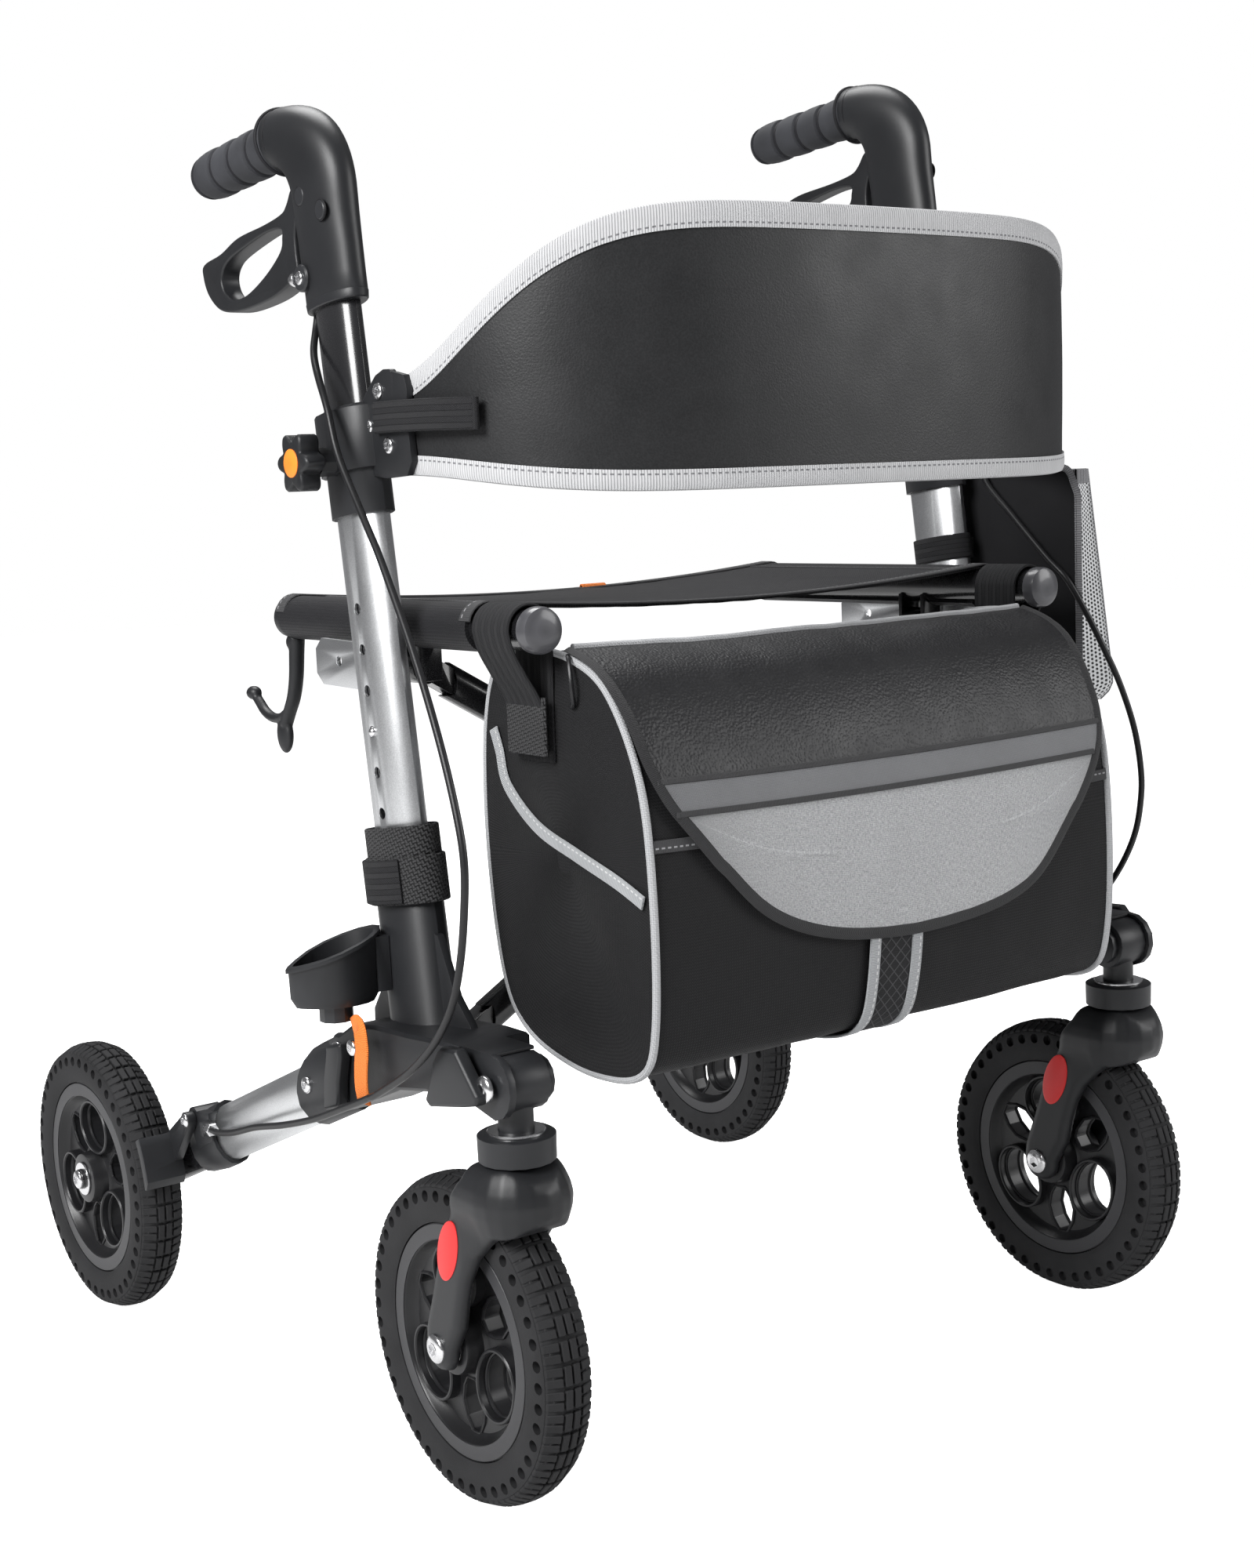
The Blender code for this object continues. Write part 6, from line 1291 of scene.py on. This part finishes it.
tabWay = [(0, -1, 0.3), (0, -0.5, 1), (0, 0.5, 1), (0, 1, 0.3)]
onSeat(ribbon("seatPullTab", flow(tab, 4), flow(tabWay, 4), 0.022, 0.0012), "orangeTape")
railCap = ((0, 0.0137), (0.0015, 0.0139), (0.006, 0.0138), (0.0082, 0.013), (0.0096, 0.0105), (0.0102, 0.006),
           (0.0103, 0.0))
railEnd = ((0, 0.0137), (0.0015, 0.014), (0.006, 0.0138), (0.008, 0.0125), (0.0086, 0.0))
for word, side in sides.items():
    for name, profile, y, way, look in (("railCap_", railCap, -0.2425, -1, "cap"),
                                        ("railEnd_", railEnd, 0.0455, 1, "plastic")):
        cap = turned(name + word, profile, (side * railOut, y, railZ), (0, way, 0), 48)
        finish(cap, word + "_seat_rail", look)
print("seat")


# Bag: a lofted body that sags and bulges, with its flap, straps and piping on the same surface

bagSpec = {"half": 0.1925, "sag": 0.003, "bulge": 0.003, "fold": 0.0011, "around": 120, "columns": 80,
           "middle": (-0.24, 0.385), "flapThick": 0.0018, "piping": 0.0024, "flapHalf": 0.1895}
bagOutline = [(-0.176, 0.495), (-0.16, 0.46), (-0.1555, 0.4), (-0.16, 0.34), (-0.17, 0.296), (-0.186, 0.275),
              (-0.215, 0.262), (-0.26, 0.256), (-0.304, 0.264), (-0.3185, 0.295), (-0.3205, 0.37), (-0.312, 0.435),
              (-0.285, 0.483), (-0.25, 0.501), (-0.212, 0.504)]
dense = [Vector((p.x, p.y)) for p in flow([(*p, 0) for p in bagOutline], 12, closed=True)]
lengths = [0.0]
for a, b in zip(dense, dense[1:] + dense[:1]):
    lengths.append(lengths[-1] + (b - a).length)
girth = lengths[-1]


def bagAt(s):
    # A point of the outline and its outward direction, at a distance along it
    s = s % girth
    low, high = 0, len(dense)
    while high - low > 1:
        middle = (low + high) // 2
        if lengths[middle] <= s:
            low = middle
        else:
            high = middle
    t = (s - lengths[low]) / (lengths[low + 1] - lengths[low])
    a, b = dense[low], dense[(low + 1) % len(dense)]
    run = (dense[(low + 2) % len(dense)] - dense[low - 1]).normalized()
    return a.lerp(b, t), Vector((-run.y, run.x))


def bagPoint(x, s, lift=0.0):
    p, n = bagAt(s)
    inside = max(0.0, 1 - (x / bagSpec["half"]) ** 2)
    front = max(0.0, -n.x)
    fold = noise(Vector((x * 13, p.x * 11, p.y * 9))) + 0.5 * noise(Vector((x * 40, p.x * 22, p.y * 18)))
    swell = bagSpec["bulge"] * inside ** 0.5 * front + bagSpec["fold"] * fold * min(1.0, inside * 4)
    drop = bagSpec["sag"] * inside * (1 if p.y > 0.38 else 0.3)
    at = p + n * (swell + lift)
    return Vector((x, at.x, at.y - drop))


def bagWay(x, s):
    a = bagPoint(x, s + 0.001) - bagPoint(x, s - 0.001)
    b = bagPoint(x + 0.001, s) - bagPoint(x - 0.001, s)
    way = a.cross(b)
    return way.normalized() * (1 if way.dot(Vector((0, *bagAt(s)[1]))) > 0 else -1)


def topS(y):
    # Where the top of the outline passes a depth
    return min((abs(p.x - y), along) for p, along in zip(dense, lengths) if p.y > 0.49)[1]


def frontS(z):
    # Where the front of the outline passes a height
    for i in range(len(dense) - 1, 0, -1):
        a, b = dense[i - 1], dense[i]
        if a.x < -0.24 and a.y <= z <= b.y:
            return lengths[i - 1] + (lengths[i] - lengths[i - 1]) * (z - a.y) / (b.y - a.y)
    return topS(-0.250)


def onBag(obj, look, replaced=(), angle=35):
    finish(obj, "right_seat_rail", look, replaced, angle)
    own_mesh(obj)
    return obj


def bagTape(name, places, lift, width, thick, look, **shape):
    # A tape on the bag's surface, through places of (x, distance along the outline)
    points = [bagPoint(x, s, lift) for x, s in places]
    onBag(ribbon(name, points, [bagWay(x, s) for x, s in places], width, thick, **shape), look)


rings = []
for i in range(bagSpec["columns"] + 1):
    x = -bagSpec["half"] + 2 * bagSpec["half"] * i / bagSpec["columns"]
    near = max(0.0, abs(x) - bagSpec["half"] + 0.006) / 0.006
    rings.append([bagPoint(x, girth * j / bagSpec["around"], -0.0016 * near * near) for j in range(bagSpec["around"])])
midY, midZ = Vector(bagSpec["middle"])


def bagEnd(ring, sign):
    # The domed end of the bag, ring by ring toward its middle
    made = []
    for g in (0.97, 0.9, 0.78, 0.62, 0.44, 0.25, 0.08):
        swell = sign * 0.0016 * (1 - g ** 3)
        made.append([Vector((p.x + swell + 0.0007 * noise(Vector((p.y * 25 * g, p.z * 25 * g, sign))),
                             midY + (p.y - midY) * g, midZ + (p.z - midZ) * g)) for p in ring])
    return made


rings = bagEnd(rings[0], -1)[::-1] + rings + bagEnd(rings[-1], 1)
onBag(loft("bagBody", rings), "bag", ("front_bag",), 60)

flapEdge = [(-0.19, 0.49), (-0.1875, 0.465), (-0.185, 0.442), (-0.176, 0.421), (-0.16, 0.402), (-0.14, 0.379),
            (-0.115, 0.355), (-0.087, 0.34), (-0.05, 0.33), (0.0, 0.325), (0.05, 0.3265), (0.087, 0.3325),
            (0.115, 0.344), (0.14, 0.368), (0.16, 0.39), (0.176, 0.412), (0.185, 0.435), (0.1875, 0.46), (0.19, 0.49)]
edgePath = flow([(*p, 0) for p in flapEdge], 8)
startS = topS(-0.247)


def flapFoot(x):
    # The flap's lower edge at a place across the bag
    for a, b in zip(edgePath, edgePath[1:]):
        if a.x <= x <= b.x and b.x > a.x:
            return a.y + (b.y - a.y) * (x - a.x) / (b.x - a.x)
    return 0.46


def flapPanel(name, look, sHigh, sLow, lift, columns, rows, reach):
    # A panel of the flap between two distances along the outline, cut to the flap's edge
    rings = []
    for i in range(columns + 1):
        x = -reach + 2 * reach * i / columns
        end = frontS(flapFoot(x))
        a, b = max(sHigh, end) if sHigh < startS else sHigh, max(sLow, end)
        if a - b < 0.0004:
            b = a - 0.0004
        rings.append([bagPoint(x, a + (b - a) * k / rows, lift) for k in range(rows + 1)])
    panel = loft(name, rings, strip=True)
    bake(panel, "SOLIDIFY", thickness=bagSpec["flapThick"], offset=0.0)
    onBag(panel, look, angle=60)


bandHigh, bandLow = frontS(0.4325), frontS(0.4145)
flapPanel("flapUpper", "leather", startS, bandHigh - 0.001, 0.0042, 110, 34, 0.1865)
flapPanel("flapLower", "heather", bandLow + 0.001, frontS(0.318), 0.0042, 150, 26, 0.181)
flapPanel("flapStripe", "greyBand", bandHigh, bandLow, 0.0048, 110, 6, 0.1835)
for tag, s, reach in (("Top", bandHigh, 0.1835), ("Foot", bandLow, 0.174)):
    bagTape("stripeEdge" + tag, [(-reach + 2 * reach * i / 80, s) for i in range(81)], 0.0058, 0.0036, 0.0012,
            "edgeStitchDark")
rim = [(p.x, frontS(p.y)) for p in edgePath if p.y < 0.487]
left, right = rim[0], rim[-1]
rim = [(left[0] - 0.0004, startS + (left[1] - startS) * k / 10) for k in range(10)] + rim
rim += [(right[0] + 0.0004, right[1] + (startS - right[1]) * k / 10) for k in range(1, 11)]


def onFlap(x):
    return max(-bagSpec["flapHalf"], min(bagSpec["flapHalf"], x))


rimPoints = flow([bagPoint(onFlap(x), s, 0.0046) for x, s in rim][::2], 3)
ways = [bagWay(onFlap(p.x), frontS(p.z + 0.001) if p.z < 0.494 else startS) for p in rimPoints]
onBag(ribbon("flapBinding", rimPoints, ways, 0.0082, 0.0036, rows=6, edge=0.9), "edge")

# Piping on the top edge and round both ends
points = [bagPoint(-0.186 + 0.372 * i / 90, startS + 0.002, 0.0052) for i in range(91)]
onBag(wire(points, bagSpec["piping"], 10, name="pipingTop"), "piping")
endStripe = ((-0.172, 0.456), (-0.1775, 0.443), (-0.1848, 0.4219), (-0.2148, 0.3996), (-0.2545, 0.3868),
             (-0.2925, 0.3758), (-0.317, 0.3668))
for word, side in sides.items():
    points = [bagPoint(side * 0.1908, girth * j / 150, 0.0002) for j in range(150)]
    onBag(wire(points, bagSpec["piping"], 10, closed=True, name="pipingEnd_" + word), "piping")
    path = flow([(side * 0.1949, y, z) for y, z in endStripe], 8)
    onBag(ribbon("endStripe_" + word, path, [Vector((side, 0, 0))] * len(path), 0.0088, 0.0014), "paleTape")
    bagTape("pocketHem_" + word, [(side * (0.150 + 0.0395 * i / 20), frontS(0.398)) for i in range(21)], 0.001, 0.0075,
            0.0014, "edgeStitch")

# The strap down the front: a patterned middle with two pale tapes
strapRows = [frontS(0.333) - 0.0035 * k for k in range(34)]
for tag, offset, width, look, lift in (("Middle", 0.0, 0.026, "diamond", 0.0022),
                                       ("Near", -0.0175, 0.009, "paleTape", 0.003),
                                       ("Far", 0.0175, 0.009, "paleTape", 0.003)):
    places = [(-0.0085 + offset - 0.0050 * k / len(strapRows), s) for k, s in enumerate(strapRows)]
    bagTape("frontStrap" + tag, places, lift, width, 0.0016, look, rows=6)

# Hangers: a wide strap from each end of the bag, over its rail and back down
hangerSpec = {"y": -0.218, "round": 0.0148, "width": 0.038,
              "up": ((0.195, 0.44), (0.1948, 0.47), (0.194, 0.505), (0.1942, 0.519)),
              "down": ((0.2205, 0.506), (0.2125, 0.492), (0.204, 0.478), (0.2005, 0.462), (0.2, 0.444)),
              "cord": ((0.19, -0.246, 0.503), (0.196, -0.256, 0.501), (0.1985, -0.261, 0.488), (0.196, -0.259, 0.476),
                       (0.193, -0.252, 0.474))}
for word, side in sides.items():
    path = [*hangerSpec["up"]]
    for k in range(1, 12):
        angle = math.radians(180 - 188 * k / 11)
        path.append((railOut + hangerSpec["round"] * math.cos(angle), railZ + hangerSpec["round"] * math.sin(angle)))
    path += hangerSpec["down"]
    hanger = flow([(side * x, hangerSpec["y"], z) for x, z in path], 4)
    ways = [Vector((-run.z, 0, run.x)).normalized() * side for run in runs(hanger)]
    onBag(ribbon("bagHanger_" + word, hanger, ways, hangerSpec["width"], 0.0018, rows=8), "webbing")
    patch = [Vector((side * 0.2022, -0.2195, 0.4790 - 0.0344 * k / 8)) for k in range(9)]
    onBag(ribbon("hangerPatch_" + word, patch, [Vector((side, 0, 0))] * 9, 0.04, 0.0026, rows=6), "hooks")
    cord = flow(onSide(side, hangerSpec["cord"]), 6)
    onBag(wire(cord, 0.0014, 8, name="zipCord_" + word), "cable")
print("bag")


# Side pouch: a cloth back, net walls and a taped mouth

pouchSpec = {"near": 0.2625, "thick": 0.047, "thin": 0.0195, "foot": 0.432, "top": 0.598, "corner": 0.01, "rows": 28,
             "front": -0.23, "rear": -0.105, "backThick": 0.003,
             "back": ((-0.1055, 0.5985), (-0.1015, 0.585), (-0.1055, 0.455), (-0.114, 0.44), (-0.13, 0.432),
                      (-0.212, 0.432), (-0.226, 0.44), (-0.232, 0.455), (-0.232, 0.58), (-0.224, 0.5985)),
             "loopZ": 0.543}


def onPouch(obj, look, replaced=(), angle=35):
    return finish(obj, "left_frame", look, replaced, angle)


def pouchFar(z):
    share = (z - pouchSpec["foot"]) / (pouchSpec["top"] - pouchSpec["foot"])
    return pouchSpec["near"] + pouchSpec["thick"] + (pouchSpec["thin"] - pouchSpec["thick"]) * share


near, corner = pouchSpec["near"], pouchSpec["corner"]
panel = fillet([Vector((*p, 0)) for p in pouchSpec["back"]], corner, 5)
back = prism("pouchBack", [(p.x, p.y) for p in panel], near, near + pouchSpec["backThick"])
bevel(back, 0.0008, 2, 50)
onPouch(back, "pouchCloth", ("side_pouch",))
onPouch(ribbon("pouchBinding", [Vector((near + 0.0015, p.x, p.y)) for p in panel], [Vector((-1, 0, 0))] * len(panel),
               0.007, 0.0052, closed=True, rows=3, edge=0.8), "ribbedGrey")
rings = []
for k in range(pouchSpec["rows"] + 1):
    z = pouchSpec["foot"] + 0.0010 + (pouchSpec["top"] - pouchSpec["foot"] - 0.0010) * k / pouchSpec["rows"]
    tuck = 0.010 * max(0.0, 1 - (z - pouchSpec["foot"]) / 0.016) ** 2
    far = pouchFar(z) - tuck * 0.6
    front, rear = pouchSpec["front"] + tuck, pouchSpec["rear"] - tuck
    ring = [Vector((near + 0.002 + (far - corner - near - 0.002) * a / 6, front, z)) for a in range(7)]
    for a in range(1, 7):
        angle = math.radians(90 * a / 6)
        ring.append(Vector((far - corner + corner * math.sin(angle), front + corner - corner * math.cos(angle), z)))
    for a in range(1, 13):
        y = front + corner + (rear - front - 0.020) * a / 12
        bow = 0.0016 * math.sin(math.pi * a / 12) * noise(Vector((y * 20, z * 14, 5)))
        ring.append(Vector((far + bow, y, z)))
    for a in range(1, 7):
        angle = math.radians(90 * a / 6)
        ring.append(Vector((far - corner + corner * math.cos(angle), rear - corner + corner * math.sin(angle), z)))
    for a in range(1, 7):
        ring.append(Vector((far - corner - (far - 0.012 - near) * a / 6, rear, z)))
    rings.append(ring)
wall = loft("pouchNet", rings, strip=True)
bake(wall, "SOLIDIFY", thickness=0.0014, offset=0.0)
onPouch(wall, "net", angle=60)
onPouch(loft("pouchFloor", [[Vector((p.x, p.y, z)) for p in rings[0]] for z in (0.4320, 0.4345)]), "pouchCloth")
mouth = [p + Vector((0, 0, -0.0050)) for p in rings[-1]]
ways = [Vector((-run.y, run.x, 0)).normalized() * -1 for run in runs(mouth)]
onPouch(ribbon("pouchMouthTape", mouth, ways, 0.011, 0.003), "ribbedGrey")
for tag, index, turn in (("Front", 9, -1), ("Rear", 27, 1)):
    post = [ring[index] for ring in rings]
    onPouch(ribbon("pouchEdge" + tag, post, [Vector((1, turn, 0)).normalized()] * len(post), 0.005, 0.0026, rows=3),
            "ribbedGrey")
center = uprightAt(1, pouchSpec["loopZ"])
loopRing = ovalRing(center, uprightAcross, outward, 0.0252, 0.0137, 56)
onPouch(ribbon("pouchLoop", loopRing, awayFrom(center, loopRing), 0.018, 0.0016, closed=True), "webbing")
onPouch(block("pouchTie", (0.2560, -0.132, 0.5360), (0.2630, -0.108, 0.5515)), "pouchCloth")
print("pouch")


# Straps on the right upright's socket, and the orange tether at the leg's hinge

for tag, z, a, b, width in (("Upper", 0.389, 0.0296, 0.0184, 0.02), ("Lower", 0.3665, 0.0322, 0.02, 0.029)):
    center = uprightAt(-1, z)
    points = ovalRing(center, uprightAcross, outward, a, b, 64)
    strap = ribbon("socketStrap" + tag, points, awayFrom(center, points), width, 0.002, closed=True, rows=6)
    finish(strap, "right_frame", "hooks")
tail = []
for a in range(20, 131, 6):
    a = math.radians(a)
    tail.append(center + uprightAcross * (0.0342 * math.cos(a)) + Vector((-0.0220 * math.sin(a), 0, 0)))
tail = ribbon("socketStrapEnd", tail, awayFrom(center, tail), 0.027, 0.0018, rows=6)
finish(tail, "right_frame", "webbing")
tetherPath = ((0.2852, -0.14, 0.279), (0.2862, -0.148, 0.2815), (0.2866, -0.151, 0.27), (0.2868, -0.149, 0.256),
              (0.2866, -0.148, 0.244), (0.2852, -0.148, 0.234))
for word, side in sides.items():
    out = Vector((side, 0, 0))
    path = flow(onSide(side, tetherPath), 6)
    tether = ribbon("tether_" + word, path, [out] * len(path), 0.015, 0.0016)
    finish(tether, word + "_frame", "orangeTape")
    bolt = dome("tetherBolt_" + word, (side * 0.2872, -0.1402, 0.2676), out, 0.0050, 0.0024)
    finish(bolt, word + "_frame", "steel")
print("straps")


# Stage, light and camera

cameraSpec = {"at": (-0.91321, -1.28485, 0.60135), "yaw": 36.511, "pitch": 7.908, "roll": -2.220, "lens": 49.88,
              "sensor": 36, "near": 0.05}
lampSpec = {"keyLight": ((-2.3, -0.7, 1.9), (0, 0, 0.45), 1.3, 104),
            "fillLight": ((2.0, -2.2, 1.5), (0, 0, 0.4), 1.8, 48),
            "topLight": ((0.3, 1.0, 2.9), (0, 0, 0.4), 1.8, 66)}
stageSpec = {"floor": (0.80, 0.80, 0.80), "floorSeen": (0.95, 0.95, 0.95), "radius": 9, "drop": -0.0004,
             "world": (0.16, 0.16, 0.165, 1), "worldSeen": (1, 1, 1, 1)}


def floorLook():
    # The camera sees the floor brightened to white, and keeps the object's shadow on it
    color = stageSpec["floor"]
    look = Look("studioFloor", color, 0.9)
    look.put(Base_Color=look.mix(look.noise(3, 3), shade(color, 0.985), color))
    seen = look.node("LightPath", "Is Camera Ray")
    look.put(Emission_Color=look.mix(seen, (0, 0, 0), stageSpec["floorSeen"]), Emission_Strength=1.0)
    return look


def softLight(name, at, toward, size, power):
    lamp = bpy.data.lights.new(name, "AREA")
    lamp.shape = "DISK"
    lamp.size = size
    lamp.energy = power
    obj = bpy.data.objects.new(name, lamp)
    obj.location = at
    obj.rotation_euler = (Vector(toward) - Vector(at)).to_track_quat("-Z", "Y").to_euler()
    bpy.context.scene.collection.objects.link(obj)
    return obj


camera = bpy.data.objects.new("photoCamera", bpy.data.cameras.new("photoCamera"))
bpy.context.scene.collection.objects.link(camera)
yaw, pitch, roll = (math.radians(cameraSpec[k]) for k in ("yaw", "pitch", "roll"))
ahead = Vector((math.sin(yaw) * math.cos(pitch), math.cos(yaw) * math.cos(pitch), -math.sin(pitch)))
level = Vector((math.cos(yaw), -math.sin(yaw), 0))
above = level.cross(ahead)
acrossView = level * math.cos(roll) + above * math.sin(roll)
upView = above * math.cos(roll) - level * math.sin(roll)
basis = Matrix((acrossView, upView, -ahead)).transposed().to_4x4()
camera.matrix_world = Matrix.Translation(cameraSpec["at"]) @ basis
camera.data.lens = cameraSpec["lens"]
camera.data.sensor_width = cameraSpec["sensor"]
camera.data.clip_start = cameraSpec["near"]
bpy.context.scene.camera = camera

bpy.ops.mesh.primitive_circle_add(vertices=64, radius=stageSpec["radius"], fill_type="NGON",
                                  location=(0, 0, stageSpec["drop"]))
floor = bpy.context.object
floor.name = "studioFloor"
floor.data.materials.append(floorLook().material)
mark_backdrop(floor, *(softLight(name, *settings) for name, settings in lampSpec.items()))

world = bpy.data.worlds.new("studio")
bpy.context.scene.world = world
world.use_nodes = True
tree = world.node_tree
background = tree.nodes["Background"]
path = tree.nodes.new("ShaderNodeLightPath")
choose = tree.nodes.new("ShaderNodeMix")
choose.data_type = "RGBA"
tree.links.new(path.outputs["Is Camera Ray"], choose.inputs[0])
choose.inputs[6].default_value = stageSpec["world"]
choose.inputs[7].default_value = stageSpec["worldSeen"]
tree.links.new(choose.outputs[2], background.inputs["Color"])
background.inputs["Strength"].default_value = 1.0
bpy.context.scene.view_settings.view_transform = "Standard"

low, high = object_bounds()
print("size", [round(v, 4) for v in low], [round(v, 4) for v in high])
